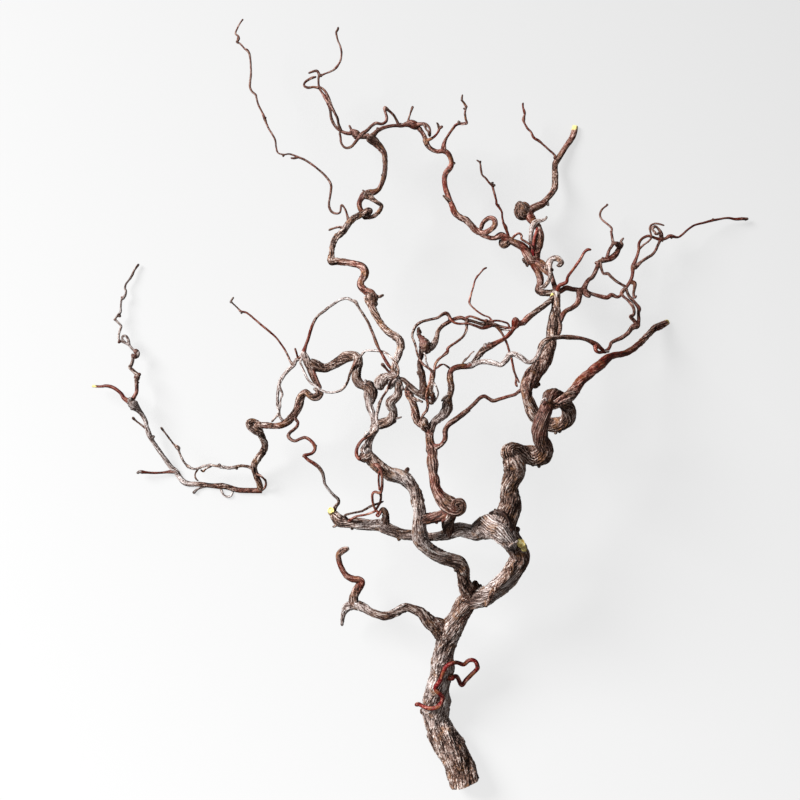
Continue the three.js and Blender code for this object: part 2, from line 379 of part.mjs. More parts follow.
    "gall_twig": {"from": "top_limb_lower", "rise": [63, 63], "points": [
      [394, 376, 2.4], [390, 377.5, 2], [385, 378, 2.8], [381.5, 381.5, 5.3], [381.5, 386, 5],
      [382.8, 389.5, 2.8]]},
  },
  "top_limb_upper": {
    "top_limb_upper": {"from": "top_limb_lower", "rise": [48, 46, 44, 43, 42, 41, 40], "points": [
      [370.5, 294, 4.6], [365.5, 290.5, 3.5], [361, 286.5, 3.2], [361, 281.5, 3.3],
      [363.5, 277, 3.6], [364.8, 272, 3.9], [362.5, 267, 3.5], [357, 264.5, 3.2], [350, 263, 3],
      [343, 262, 3.2], [336, 261.5, 3.2], [331.3, 261, 3.7], [331.5, 255.5, 2.8],
      [332.2, 249.5, 2.6], [333, 244, 2.6], [335.5, 238.5, 2.8], [340, 234, 3],
      [343.5, 230.5, 3.3], [346.5, 226, 3.2], [350, 221.5, 2.8], [355, 217.5, 3.2],
      [361, 215, 3.2], [367, 212.5, 3.6], [372, 211, 4]]},
  },
  "long_twig": {
    "long_twig": {"from": "top_limb_upper", "rise": [40, 39, 38, 37, 36, 35, 34, 33, 32, 31],
      "points": [
      [349, 222, 1.6], [347.5, 216.5, 1], [345.3, 209.5, 0.9], [341.5, 205, 0.8],
      [340, 212.3, 0.9], [336, 213.5, 0.9], [332, 212, 1.1], [329.5, 208, 1.1], [329, 203, 1],
      [330, 197, 1], [331, 190, 1.1], [331, 185, 1.1], [329, 180.5, 1.1], [324.5, 175, 1],
      [319, 170, 0.9], [312, 164.5, 0.9], [305, 160, 1], [299, 157.5, 1], [294, 155.3, 0.8],
      [289, 154, 0.7], [284, 154.5, 0.6], [279, 153.5, 0.6], [277, 151, 0.7], [276, 146, 0.7],
      [275.3, 140.5, 0.8], [273, 135.5, 0.8], [269, 129, 0.8], [266.5, 123.5, 0.9],
      [264.5, 118, 1.4], [262, 112, 0.8], [258.5, 105, 0.8], [256.5, 98, 0.8], [255.7, 94.8, 0.9],
      [252, 91.5, 0.9], [250, 87, 0.9], [250.2, 81, 0.9], [251, 74, 0.9], [250.8, 66, 0.8],
      [250.3, 59, 0.8], [249.3, 53.5, 0.9], [247.3, 50.3, 1.2], [244.5, 48.5, 0.7],
      [241, 44.5, 0.7], [237.8, 42, 0.8], [238.5, 38.5, 1.4], [238, 36, 0.9], [235.5, 33.5, 0.7],
      [237.5, 28, 0.6], [240.5, 22.5, 0.6], [243.2, 19, 0.7]]},
  },
  "strap_coil": {
    "strap_coil": {"rise": [42, 41, 40, 39, 38, 37], "points": [
      [303.5, 350.5, 1.8], [304, 354.5, 3.2], [306.3, 359.5, 3.6], [308.8, 365, 3.7],
      [311, 370.5, 3.6], [313, 375.5, 3.3], [315, 380.5, 2.7], [316.8, 385, 2], [318.8, 389, 2],
      [321, 393, 2.3], [318.5, 397.5, 2.4], [313.5, 398.3, 2.4], [308, 394.5, 2.6]]},
    "strap_side_branch": {"from": "strap_coil", "rise": [41, 40, 39, 38, 36, 34], "points": [
      [304, 355.5, 2], [296.5, 360, 1.6], [294, 365, 1.8], [290.5, 368, 1.8], [287, 371.5, 1.8],
      [283, 376.5, 1.7], [280, 382, 1.6], [278.5, 388, 1.5], [277.8, 394, 1.3],
      [277.5, 400, 1.3], [278.5, 406, 2], [279, 411, 1.4], [278.5, 414, 1.2], [275, 418, 0.9],
      [271.5, 422, 0.9]]},
    "left_thin_twig": {"from": "strap_side_branch", "rise": [42, 44, 46, 48, 50], "points": [
      [294, 366, 1.4], [290.5, 361.5, 1], [288.5, 357, 0.9], [285, 350, 0.8], [281, 344, 0.8],
      [276, 337.5, 0.8], [270, 332, 0.9], [262, 325.5, 0.9], [255, 319.5, 0.8], [247, 313, 0.8],
      [241, 311.5, 1], [238.5, 309, 0.7], [235, 305.5, 0.6], [231.5, 301.5, 0.7],
      [233.7, 297, 0.9]]},
  },
  "pale_limb": {
    "pale_limb": {"from": "left_limb_upper", "to": "strap_coil", "rise": [58, 55, 51, 48, 44, 40],
      "points": [
      [375.5, 426, 3.6], [373.5, 418, 2.9], [372, 412.5, 3.2], [369.5, 407, 3.4],
      [368.7, 401, 3.4], [367.5, 395, 3.8], [367, 389, 3], [364, 386.3, 3.8], [360, 384, 4.5],
      [357, 379.5, 4.6], [356.3, 374, 4.5], [356.7, 368.5, 4.6], [358, 363, 4.7],
      [358, 358.5, 4.2], [355, 356, 4.2], [350, 356.3, 5], [345, 357.7, 5.3], [340, 360.5, 5],
      [335, 363.5, 4.6], [330, 366.5, 4.1], [325, 368.3, 4.1], [320, 367.3, 4.8],
      [315, 365.3, 5.3], [309.5, 362.5, 4.4]]},
    "pale_side_strand": {"from": "pale_limb", "to": "pale_limb", "rise": [53, 56], "points": [
      [364, 381, 1.6], [369, 383.5, 2], [373, 387.5, 2.8], [376, 392.5, 2.6], [376, 397.5, 2.3],
      [373, 402, 2]]},
  },
  "left_arm": {
    "left_arm": {"from": "strap_coil", "rise": [35, 33, 30, 28, 26, 24], "points": [
      [311, 396.5, 2.8], [305.5, 392.5, 3.2], [302, 395.5, 3.8], [300, 400, 4], [299, 405, 3.8],
      [296.8, 410.5, 3.6], [293, 416, 3.5], [288, 421.3, 3.6], [282, 424.8, 3.3],
      [275.5, 426, 2.9], [268, 425.5, 3], [262, 425.3, 3.4], [257, 427, 4.2], [253, 424, 3.9],
      [249.5, 422, 3.6]]},
  },
  "corner_limb": {
    "corner_limb": {"from": "left_arm", "rise": [19, 13, 6, 0], "points": [
      [258, 426, 4], [260.5, 433.5, 3.2], [263.3, 440, 3.1], [264.8, 446, 3.1],
      [262.5, 452.5, 3.3], [258.5, 458, 3.4], [255, 463.5, 3], [254.3, 469, 2.7],
      [256, 475, 2.7], [258.3, 481, 2.8], [260, 486.5, 2.8], [260.5, 492, 2.5]]},
    "corner_long_twig": {"from": "corner_limb", "rise": [11, 12, 13, 14, 15, 16], "points": [
      [255, 468.5, 1.6], [247, 466.5, 1.3], [241, 465.8, 1.3], [235, 467, 1.5], [228, 468, 1.4],
      [221, 466.5, 1.5], [216, 466, 1.1], [210, 465, 1], [204, 466, 0.9], [199, 468, 0.9],
      [194, 469, 0.9], [189.5, 467.5, 1.2], [185, 463.5, 0.9], [181.5, 457.5, 0.8],
      [179, 451, 0.8], [178, 448, 1.7], [174, 444.5, 0.7], [169, 438, 0.7], [164, 431.5, 0.7],
      [162, 428.8, 1.3]]},
  },
  "lower_left_limb": {
    "lower_left_limb": {"rise": [0, 0, 0, 1, 6, 10, 14], "points": [
      [262, 490.5, 2.6], [250, 490.5, 2.5], [240, 490.3, 2.5], [234, 489, 2.5], [229, 487.5, 2.6],
      [223, 486, 2.8], [218, 486, 2.6], [211, 485.5, 2.3], [203, 484.7, 2.3], [196, 484.2, 2.3],
      [190, 484, 2.4], [185, 482.5, 2.5], [181, 479, 2.4], [178.3, 475, 2.5], [176, 471.3, 2.7],
      [172, 468, 2.3], [168, 463, 2.2], [163, 456, 2], [158, 449, 1.9], [153, 441.5, 1.9],
      [149.3, 434.8, 2.4], [147, 428, 2], [145.5, 421, 1.8], [142.3, 415, 1.8], [138.5, 410, 2],
      [135.5, 406, 3.2], [131.5, 401.5, 3.2]]},
    "lower_left_side": {"from": "lower_left_limb", "rise": [3, 5], "points": [
      [175, 471.5, 1.8], [165, 472.3, 1.1], [156, 473, 1], [147, 472.5, 1], [140, 471.8, 1.5]]},
    "left_red_twig": {"from": "lower_left_limb", "rise": [12, 10, 8], "points": [
      [132, 403, 2.6], [128, 401, 2.2], [124, 398, 1.5], [121.5, 394, 1.3], [117, 390, 1.2],
      [112, 387, 1.3], [106, 385.8, 1.3], [100, 386.5, 1], [92.5, 386, 1]]},
  },
  "left_chain": {
    "left_chain": {"from": "lower_left_limb", "rise": [12, 11, 9, 8, 7, 6, 5, 4, 3, 2],
      "points": [
      [132, 402, 2], [134, 397, 1.5], [136.5, 393, 1.5], [137, 388, 1.4], [136.5, 383, 1.6],
      [136, 379, 1.8], [138, 375, 2.3], [134, 371.5, 1.3], [130, 367.5, 1.3], [131.5, 365, 1.2],
      [133, 361, 1.1], [133.5, 357, 1.6], [137, 356, 2], [138, 352.5, 1.3], [133, 349.5, 1.1],
      [128.5, 344.5, 1.1], [121.5, 341.5, 0.9], [119, 339, 0.9], [119, 334, 0.9],
      [120.5, 329, 0.9], [121, 325.5, 0.9], [116, 320.5, 1], [115.5, 318.5, 0.9], [118, 315, 1],
      [120.5, 312, 1], [120.8, 306, 0.8], [121.5, 300, 0.9], [123, 298, 1.6], [125.5, 294.8, 0.9],
      [126, 291, 0.9], [125, 288, 0.9], [126, 284, 0.8], [129, 280, 0.8], [132, 275.5, 1],
      [134.5, 270, 0.9], [139, 263.8, 1.1]]},
    "left_chain_spur": {"from": "left_chain", "rise": [7], "points": [
      [129, 345, 1.1], [128.5, 340.5, 1.3], [127, 337, 1.3], [122.5, 337.5, 0.9]]},
  },
  "arch_twig": {
    "arch_twig": {"from": "strap_coil", "to": "top_limb_lower",
      "rise": [44, 47, 50, 53, 56, 59, 62], "points": [
      [303.8, 352, 1.6], [306, 345, 1.4], [308.5, 338, 1.4], [310.5, 331, 1.4],
      [312.5, 325, 1.3], [315.5, 319, 1.2], [319, 315, 1.1], [325, 310.5, 1.3],
      [328.5, 307.5, 1.3], [335, 303, 1.1], [341, 299.5, 1.2], [347.5, 298.5, 1.3],
      [352, 300.5, 1.3], [355.5, 302, 1.8], [358.5, 307, 1.1], [363, 314, 1.1], [367.5, 321, 1.1],
      [370.5, 328, 1.2], [373.5, 335, 1.3], [376, 342, 1.5], [379, 349, 1.2], [382, 354, 1.2],
      [385, 359.5, 1.4], [388, 364.5, 1.5], [391, 368.5, 1.3], [394, 373, 1.4]]},
  },
  "squiggle_twig": {
    "squiggle_twig": {"from": "left_arm", "to": "crossing_branch",
      "rise": [35, 39, 42, 43, 43, 42, 40], "points": [
      [294, 414.5, 1.4], [296, 419.5, 1.2], [298, 422.5, 1.3], [297, 426.5, 1.4],
      [294, 429.5, 1.4], [290, 432.5, 1.5], [288.3, 436, 1.6], [291, 439.5, 1.5],
      [295, 441, 1.4], [300, 439, 1.4], [305, 437.5, 1.4], [310, 440, 1.5], [314, 444.5, 1.6],
      [315, 449, 1.5], [312.5, 453, 1.5], [308.5, 454.5, 1.5], [304.5, 455.5, 1.4],
      [308.5, 460, 1.6], [314, 463.5, 1.7], [319, 467.5, 1.7], [322.5, 473, 1.6],
      [324, 479, 1.4], [325, 484, 1.2], [329, 490, 1.2], [333.5, 495, 1.3], [338, 499, 1.4],
      [338.5, 503, 1.4], [336, 506, 1.8], [334, 511, 1.8]]},
  },
  "red_loop_twig": {
    "red_loop_twig": {"from": "left_limb_upper", "to": "crossing_branch",
      "rise": [66, 65, 62, 58, 53, 47], "points": [
      [372.5, 462, 1.4], [374.5, 464.8, 1.3], [377.8, 465.7, 1.3], [380.3, 469, 1.4],
      [381.7, 473.5, 1.4], [382.2, 480, 1.3], [382, 487, 1.3], [380.3, 492.8, 1.3],
      [375, 491.8, 1.2], [372.5, 494.3, 1.1], [372.5, 500, 1.1], [373.7, 506, 1],
      [375.5, 510.3, 1.1], [371, 513, 0.9], [364, 515, 0.9], [357, 516.3, 1], [352, 519, 1.3],
      [348, 521.5, 1.5]]},
    "red_loop_strand": {"from": "red_loop_twig", "to": "red_loop_twig", "rise": [59, 56],
      "points": [
      [380.5, 492.5, 1.1], [381, 498, 1], [379.8, 503, 1], [377.3, 507.5, 1], [375.5, 510.3, 1]]},
  },
  "middle_limb": {
    "middle_arm": {"from": "curl_limb", "rise": [68, 69, 69], "points": [
      [399, 380, 1.8], [403, 379.5, 1.7], [407, 383, 2], [410, 386, 2.5], [414, 390, 3],
      [419, 393.5, 3.4], [424, 395.5, 3.8], [428.5, 400, 2.2]]},
    "middle_limb": {"from": "middle_arm", "rise": [67, 66, 65, 64, 63], "points": [
      [425, 396, 3.5], [424, 390, 3.4], [423, 384, 3], [422.5, 378, 2.9], [421.5, 372.5, 3.2],
      [419.8, 367, 2.8], [419.3, 362, 2.1], [420.8, 357.5, 2.2], [421.5, 353, 3],
      [424, 347.5, 5.8], [423.5, 341.5, 3.8], [422, 338.5, 2.3], [419, 335.5, 1.8],
      [418.5, 331, 1.3], [419.8, 326.5, 1]]},
    "middle_ball": {"from": "middle_arm", "rise": [68], "points": [
      [428, 399.5, 2.2], [431.5, 402.3, 2.5], [433.5, 404, 1.4]]},
  },
  "double_arch": {
    "double_arch": {"from": "rising_branch", "to": "middle_limb",
      "rise": [50, 52, 54, 56, 58, 60, 62], "points": [
      [512.5, 330, 1.6], [505, 327.5, 1.1], [500, 326.5, 1.3], [494, 325, 2], [487, 324.8, 2.5],
      [480, 323.5, 1.5], [472, 321, 1.3], [467, 320, 1.6], [461, 317.8, 1.8], [455, 319, 1.8],
      [448.5, 322, 1.9], [442, 326.5, 1.9], [438, 331.5, 2], [437, 337, 2.3], [434.5, 343, 3],
      [430, 347.5, 4], [425, 347.5, 4.5]]},
    "arc_loop": {"from": "double_arch", "rise": [61, 63, 65, 68, 71, 72, 72], "points": [
      [450.5, 320.5, 1.4], [449, 315.8, 1.5], [446, 313.3, 1.8], [442, 314.8, 1.5],
      [437.5, 317.8, 1.2], [430, 319.5, 1.2], [422, 321.7, 1.2], [417, 324.8, 1.3],
      [413.8, 330, 1.2], [412.3, 336, 1], [414, 341, 0.9], [416, 347, 0.9], [417, 353, 0.9],
      [420, 360, 1], [424, 365, 1], [429, 368.5, 1.2], [432, 371.5, 1.5], [433, 377, 1.6],
      [432.3, 383, 1.7], [431.3, 389, 1.7], [432, 394, 1.8]]},
    "arch_long_twig": {"from": "double_arch", "rise": [51, 49, 46, 43], "points": [
      [494, 324, 1.2], [489.5, 317.8, 0.7], [483, 315, 0.7], [477, 311, 0.7], [471.5, 306, 0.7],
      [469.5, 302.5, 1], [470, 299, 1], [471.5, 293, 0.7], [473.3, 287, 0.7], [475, 280.5, 0.7],
      [477, 276.8, 0.9], [479.5, 274, 0.6], [483.5, 269.3, 0.7], [487, 267.5, 0.8]]},
    "arch_low_twig": {"from": "double_arch", "rise": [51, 51, 51, 51], "points": [
      [496, 326, 1.3], [501, 332, 1.1], [504.5, 338, 1], [507.5, 345, 1], [509.3, 351.5, 1],
      [511.5, 358, 1], [512.7, 364, 1], [514, 371, 1], [516.3, 377.5, 1], [515.8, 383, 1.1],
      [517.5, 387, 0.8]]},
  },
  "cross_twig": {
    "cross_twig": {"from": "coil_limb", "to": "upper_right_limb", "rise": [67, 65, 62, 59, 56, 55],
      "points": [
      [430.5, 448.5, 1.6], [435, 446.2, 1.5], [440, 445.3, 1.7], [443.8, 441.5, 1.9],
      [445, 436.5, 1.9], [444.5, 431, 1.9], [446.5, 427, 2.1], [449.5, 423.5, 2.4],
      [454, 420, 2.1], [460.5, 415, 1.9], [468, 409.5, 1.9], [475, 403, 1.8], [480, 398, 1.8],
      [484.5, 396.3, 1.8], [489, 398.8, 1.7], [493.5, 400.7, 1.8], [500, 399, 1.6],
      [508, 396.5, 1.5], [515, 394.5, 1.5], [519, 391.5, 1.7], [526, 388, 2.2]]},
  },
};

// Colour of the wood, by how old it is.
const BARK = { old: 0x8a7f74, young: 0x74493a, pale: 0xa79c92, twig: 0x6a5044 };
const YOUNG = ["red_right_branch", "red_twig", "red_loop_twig", "coil_limb", "double_arch"];
const PALE = ["pale_limb", "pale_branch", "curl_limb", "strap_coil", "lower_left_limb"];
const TWIGS = ["squiggle_twig", "arch_twig", "cross_twig", "long_twig", "left_chain",
  "far_right_twig", "double_strand_twig", "right_tangle"];

// ---- from the drawing to the real branch ----

// All limbs by their own names, whatever part they belong to.
const LIMBS = Object.assign({}, ...Object.values(BRANCH));

// Length of the drawn line up to each of its points, in squares.
function stations(points) {
  const along = [0];
  for (let i = 1; i < points.length; i++) {
    const step = Math.hypot(points[i][0] - points[i - 1][0], points[i][1] - points[i - 1][1]);
    along.push(along[i - 1] + step);
  }
  return along;
}

// The place on a limb's middle line that lies nearest to one square of the drawing.
function nearestPlace(name, across, down) {
  const { points } = LIMBS[name];
  const heights = riseOf(name);
  let best = { apart: Infinity };
  for (let i = 1; i < points.length; i++) {
    const [ax, ay] = points[i - 1];
    const [bx, by] = points[i];
    const length = (bx - ax) ** 2 + (by - ay) ** 2;
    const t = THREE.MathUtils.clamp(
      ((across - ax) * (bx - ax) + (down - ay) * (by - ay)) / length, 0, 1);
    const place = { across: ax + (bx - ax) * t, down: ay + (by - ay) * t };
    place.apart = Math.hypot(place.across - across, place.down - down);
    place.height = heights[i - 1] + (heights[i] - heights[i - 1]) * t;
    place.point = t < 0.5 ? i - 1 : i;
    if (place.apart < best.apart) {
      best = place;
    }
  }
  return best;
}

// Height of the middle line at each point of a limb, in steps.
function riseOf(name) {
  const { points, rise, from, to } = LIMBS[name];
  const ends = [...rise];
  if (from) {
    ends.unshift(nearestPlace(from, points[0][0], points[0][1]).height);
  }
  if (to) {
    const last = points[points.length - 1];
    ends.push(nearestPlace(to, last[0], last[1]).height);
  }
  const along = stations(points);
  const total = along[along.length - 1];
  return along.map((s) => {
    const place = (s / total) * (ends.length - 1);
    const step = Math.min(Math.floor(place), ends.length - 2);
    return ends[step] + (ends[step + 1] - ends[step]) * (place - step);
  });
}

// The points of a limb where another one grows out of it or meets it.
function forksOf(name) {
  const forks = new Set();
  for (const other of Object.values(LIMBS)) {
    const { points, from, to } = other;
    if (from === name) {
      forks.add(nearestPlace(name, points[0][0], points[0][1]).point);
    }
    if (to === name) {
      const last = points[points.length - 1];
      forks.add(nearestPlace(name, last[0], last[1]).point);
    }
  }
  return forks;
}

// The middle line in space: centre in mm and radius in mm at each point. A limb seen from EYE
// looks larger the higher it lies, so each point is moved along its sight line to its height.
function route(name) {
  const { points, from } = LIMBS[name];
  const heights = riseOf(name);
  const forks = forksOf(name);
  return points.map(([drawnAcross, drawnDown, radius], i) => {
    let [across, down] = [drawnAcross, drawnDown];
    if (from && i === 0) {
      ({ across, down } = nearestPlace(from, across, down));
    }
    const wanted = Math.max(heights[i] * LIFT * GRID, radius * GRID - SETTLE);
    const nearer = (EYE - wanted) / (EYE - PLANE);
    return {
      centre: new THREE.Vector3(
        (across - CENTRE[0]) * GRID * nearer - ORIGIN[0],
        (CENTRE[1] - down) * GRID * nearer - ORIGIN[1],
        Math.max(heights[i] * LIFT * GRID, radius * GRID * nearer - SETTLE)),
      radius: radius * GRID * nearer,
      fork: forks.has(i),
    };
  });
}

// Leaves out points that the limb would pass anyway, so that a solid has no needless rings.
function thinOut(points, tolerance) {
  const first = points[0];
  const last = points[points.length - 1];
  let worst = 0;
  let split = 0;
  const span = new THREE.Line3(first.centre, last.centre);
  for (let i = 1; i < points.length - 1; i++) {
    const t = span.closestPointToPointParameter(points[i].centre, true);
    const aside = span.at(t, new THREE.Vector3()).distanceTo(points[i].centre);
    const thicker = Math.abs(points[i].radius - THREE.MathUtils.lerp(first.radius, last.radius, t));
    const off = points[i].fork ? 1000 - Math.abs(t - 0.5) : Math.max(aside, thicker);
    if (off > worst) {
      worst = off;
      split = i;
    }
  }
  if (worst <= tolerance) {
    return [first, last];
  }
  const before = thinOut(points.slice(0, split + 1), tolerance);
  return [...before.slice(0, -1), ...thinOut(points.slice(split), tolerance)];
}

// ---- solids ----

// One ring of points around the middle line, square to it, for each point of the route. The
// rings turn as little as they can from one to the next, so that the sides don't twist.
function ringsOf(line, sides, extra) {
  const centres = line.map((p) => p.centre);
  const directions = centres.map((centre, i) => {
    const back = centres[Math.max(i - 1, 0)];
    const ahead = centres[Math.min(i + 1, centres.length - 1)];
    const towards = ahead.clone().sub(centre).normalize();
    return centre.clone().sub(back).normalize().add(towards).normalize();
  });
  const rings = [];
  let side = new THREE.Vector3(0, 0, 1);
  for (let i = 0; i < line.length; i++) {
    const direction = directions[i];
    side = side.clone().addScaledVector(direction, -side.dot(direction));
    if (side.lengthSq() < 1e-6) {
      side.set(1, 0, 0).addScaledVector(direction, -direction.x);
    }
    side.normalize();
    const other = new THREE.Vector3().crossVectors(direction, side);
    const centre = centres[i].clone();
    if (i === 0) {
      centre.addScaledVector(direction, -extra);
    }
    if (i === line.length - 1) {
      centre.addScaledVector(direction, extra);
    }
    const radius = (line[i].radius + extra) / Math.cos(Math.PI / sides / 1.6);
    const ring = [];
    for (let k = 0; k < sides; k++) {
      const angle = (2 * Math.PI * (k + 0.5)) / sides;
      ring.push(centre.clone()
        .addScaledVector(side, radius * Math.cos(angle))
        .addScaledVector(other, radius * Math.sin(angle)));
    }
    rings.push({ centre, direction, ring });
  }
  return rings;
}

// Where a limb turns tighter than its own thickness, two rings would cut through each other.
function clear(before, after) {
  const margin = 0.15;
  const ahead = after.ring.every((p) => p.clone().sub(before.centre).dot(before.direction) > margin);
  const behind = before.ring.every((p) => p.clone().sub(after.centre).dot(after.direction) < -margin);
  return ahead && behind;
}

// The route with the points left out whose rings would cut through their neighbours'.
function clearLine(line, sides, extra) {
  let kept = [...line];
  for (let tries = 0; tries < line.length; tries++) {
    const rings = ringsOf(kept, sides, extra);
    let crossing = 0;
    for (let i = 1; i < rings.length && !crossing; i++) {
      crossing = clear(rings[i - 1], rings[i]) ? 0 : i;
    }
    if (!crossing || kept.length <= 2) {
      return kept;
    }
    const drop = crossing === kept.length - 1 ? Math.max(crossing - 1, 1) : crossing;
    kept = kept.filter((_, i) => i !== drop);
  }
  return kept;
}

// A closed tube along a limb, its thickness changing from ring to ring, with flat ends.
function limbGeometry(name, extra = 0) {
  const full = route(name);
  const thickest = Math.max(...LIMBS[name].points.map((p) => p[2]));
  const sides = SIDES.find(([radius]) => thickest >= radius)[1];
  const tolerance = GRID * (thickest > TWIG_RADIUS ? THINNING[0] : THINNING[1]);
  const line = clearLine(thinOut(full, tolerance), sides, GAP);
  const rings = ringsOf(line, sides, extra);
  const position = rings.flatMap(({ ring }) => ring.flatMap((p) => [p.x, p.y, p.z]));
  const index = [];
  for (let i = 0; i + 1 < rings.length; i++) {
    for (let k = 0; k < sides; k++) {
      const a = i * sides + k;
      const b = i * sides + ((k + 1) % sides);
      index.push(a, b, b + sides, a, b + sides, a + sides);
    }
  }
  const end = (rings.length - 1) * sides;
  for (let k = 1; k + 1 < sides; k++) {
    index.push(0, k + 1, k, end, end + k, end + k + 1);
  }
  const geometry = new THREE.BufferGeometry();
  geometry.setAttribute('position', new THREE.Float32BufferAttribute(position, 3));
  geometry.setIndex(index);
  return geometry;
}

// A geometry as a solid that can be joined and cut.
function solidOf(geometry) {
  const plain = geometry.clone();
  plain.deleteAttribute('normal');
  plain.deleteAttribute('uv');
  const merged = mergeVertices(plain, 1e-4);
  return new wasm.Manifold(new wasm.Mesh({
    numProp: 3,
    vertProperties: new Float32Array(merged.attributes.position.array),
    triVerts: new Uint32Array(merged.index.array),
  }));
}

// The largest of the pieces that a cut leaves.
function largestPiece(solid) {
  const pieces = solid.decompose();
  pieces.sort((a, b) => b.volume() - a.volume());
  return pieces[0];
}

// All limbs of one part joined in one solid, grown by `extra` all round.
function partSolid(part, extra) {
  const names = Object.keys(BRANCH[part]);
  return names.map((name) => solidOf(limbGeometry(name, extra))).reduce((all, one) => all.add(one));
}

function boxesMeet(a, b) {
  return [0, 1, 2].every((k) => a.min[k] < b.max[k] && b.min[k] < a.max[k]);
}

// The table that the branch lies on: what would sink into it is worn flat.
const table = solidOf(new THREE.BoxGeometry(1600, 1600, 60).translate(0, 0, -30));

const branch = new THREE.Group();
branch.name = 'jujube_branch';

const earlier = [];
for (const part of Object.keys(BRANCH)) {
  let solid = partSolid(part, 0).subtract(table);
  for (const neighbour of earlier) {
    if (boxesMeet(solid.boundingBox(), neighbour.boundingBox())) {
      solid = solid.subtract(neighbour);
    }
  }
  solid = largestPiece(solid);
  earlier.push(partSolid(part, GAP));

  // Each mesh stands at the root of its limb.
  const root = route(Object.keys(BRANCH[part])[0])[0].centre;
  const mesh = solid.getMesh();
  const geometry = new THREE.BufferGeometry();
  geometry.setAttribute('position', new THREE.Float32BufferAttribute(mesh.vertProperties, 3));
  geometry.setIndex([...mesh.triVerts]);
  geometry.translate(-root.x, -root.y, -root.z);
  geometry.computeVertexNormals();

  const wood = YOUNG.includes(part) ? 'young' : PALE.includes(part) ? 'pale'
    : TWIGS.includes(part) ? 'twig' : 'old';
  const material = new THREE.MeshStandardMaterial({
    color: BARK[wood], roughness: 0.85, metalness: 0, flatShading: true,
  });
  const limb = new THREE.Mesh(geometry, material);
  limb.name = part;
  limb.position.copy(root);
  branch.add(limb);
}

export default branch;
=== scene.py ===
# %% [markdown]
# # A dried, contorted jujube branch
# The branch is one piece of wood: a furrowed stem that forks into limbs, which twist, loop and hook
# into each other and end in thin red-brown twigs. It lies on its back on a pale table, seen from
# straight above. In this lesson each limb is a line with a thickness, one Geometry Nodes tree grows
# the bark around every line, and the colours follow how deep a point lies in its furrow: partly the
# bark's own dark furrows and pale crests, and partly painted shade in the low places and painted
# highlights on the high ones.

# %% Load the fixed frame
import functools
import json
import math
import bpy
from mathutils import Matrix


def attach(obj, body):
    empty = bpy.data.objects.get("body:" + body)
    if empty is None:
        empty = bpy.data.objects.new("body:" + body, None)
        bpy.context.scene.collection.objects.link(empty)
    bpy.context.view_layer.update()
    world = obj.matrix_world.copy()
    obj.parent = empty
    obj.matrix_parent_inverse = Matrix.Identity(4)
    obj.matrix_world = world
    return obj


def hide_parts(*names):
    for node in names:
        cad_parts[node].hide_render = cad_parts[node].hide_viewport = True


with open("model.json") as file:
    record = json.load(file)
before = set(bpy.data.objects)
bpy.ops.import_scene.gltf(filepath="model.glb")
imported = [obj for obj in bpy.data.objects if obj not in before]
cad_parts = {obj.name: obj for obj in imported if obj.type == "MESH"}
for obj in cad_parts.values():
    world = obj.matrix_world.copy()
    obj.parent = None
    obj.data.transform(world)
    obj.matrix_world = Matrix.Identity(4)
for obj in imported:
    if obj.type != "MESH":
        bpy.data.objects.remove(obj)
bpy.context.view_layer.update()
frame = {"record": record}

import zlib

import bpy
import numpy as np

# %% [markdown]
# ## The drawing and the camera
# The limbs were read off a squared drawing of the branch seen from above. One square is 1.25 mm at
# the height where most of the branch lies, and the eye is 1.89 m above the table. The camera stands
# at that eye, so that a limb drawn on a square is seen on that square. A long lens has the same
# picture angle as the drawing: half its width is 400 squares.

# %% The drawing's scale and the camera
MM = 0.001
GRID = 1.25 * MM              # one square of the drawing
LIFT = 1.8                    # one step of height in the lists below, in squares
EYE = 1890 * MM               # height that the drawing is seen from
PLANE = 95 * MM               # height at which one square is exactly GRID
CENTRE = (400, 400)           # the square straight below the eye
ORIGIN = (27.7 * MM, -11.5 * MM)    # the middle of the branch's own box, from that square
SENSOR = 36.0                 # width of the camera's sensor, mm
FARTHEST = 20                 # nothing further off is shown, m

eye = bpy.data.cameras.new("eye")
eye.sensor_width = SENSOR
eye.lens = SENSOR / 2 * (EYE - PLANE) / (CENTRE[0] * GRID)
eye.clip_end = FARTHEST
camera = bpy.data.objects.new("camera", eye)
camera.location = (-ORIGIN[0], -ORIGIN[1], EYE)
bpy.context.scene.collection.objects.link(camera)
bpy.context.scene.camera = camera
print(f"the lens is {eye.lens:.1f} mm long")

# %% [markdown]
# ## Building node trees in few words
# The table, the bark and the shape of the limbs are all made by node trees. One helper adds a node,
# sets its options and joins its inputs. The others are short names for the nodes that come up again
# and again, so that a tree reads like a formula.

# %% Helpers that add a node


def add(tree, kind, inputs=None, out=0, **options):
    """Adds a node and gives back one of its outputs. An input is a value or another output."""
    made = tree.nodes.new(kind)
    for name, value in options.items():
        setattr(made, name, value)
    for name, value in (inputs or {}).items():
        if isinstance(value, bpy.types.NodeSocket):
            tree.links.new(value, made.inputs[name])
        else:
            made.inputs[name].default_value = value
    return made.outputs[out]


def reckon(tree, operation, a, b=0.0, c=0.0):
    """One step of arithmetic."""
    return add(tree, "ShaderNodeMath", {0: a, 1: b, 2: c}, operation=operation)


def vector(tree, operation, a, b):
    """One step of vector arithmetic."""
    return add(tree, "ShaderNodeVectorMath", {0: a, 1: b}, operation=operation)


def scaled(tree, a, factor):
    """A vector times a number."""
    return add(tree, "ShaderNodeVectorMath", {0: a, "Scale": factor}, operation="SCALE")


def ramp(tree, value, low, high, bottom=0.0, top=1.0):
    """A soft step: bottom below low, top above high."""
    return add(tree, "ShaderNodeMapRange", {"Value": value, "From Min": low, "From Max": high,
               "To Min": bottom, "To Max": top}, interpolation_type="SMOOTHSTEP")


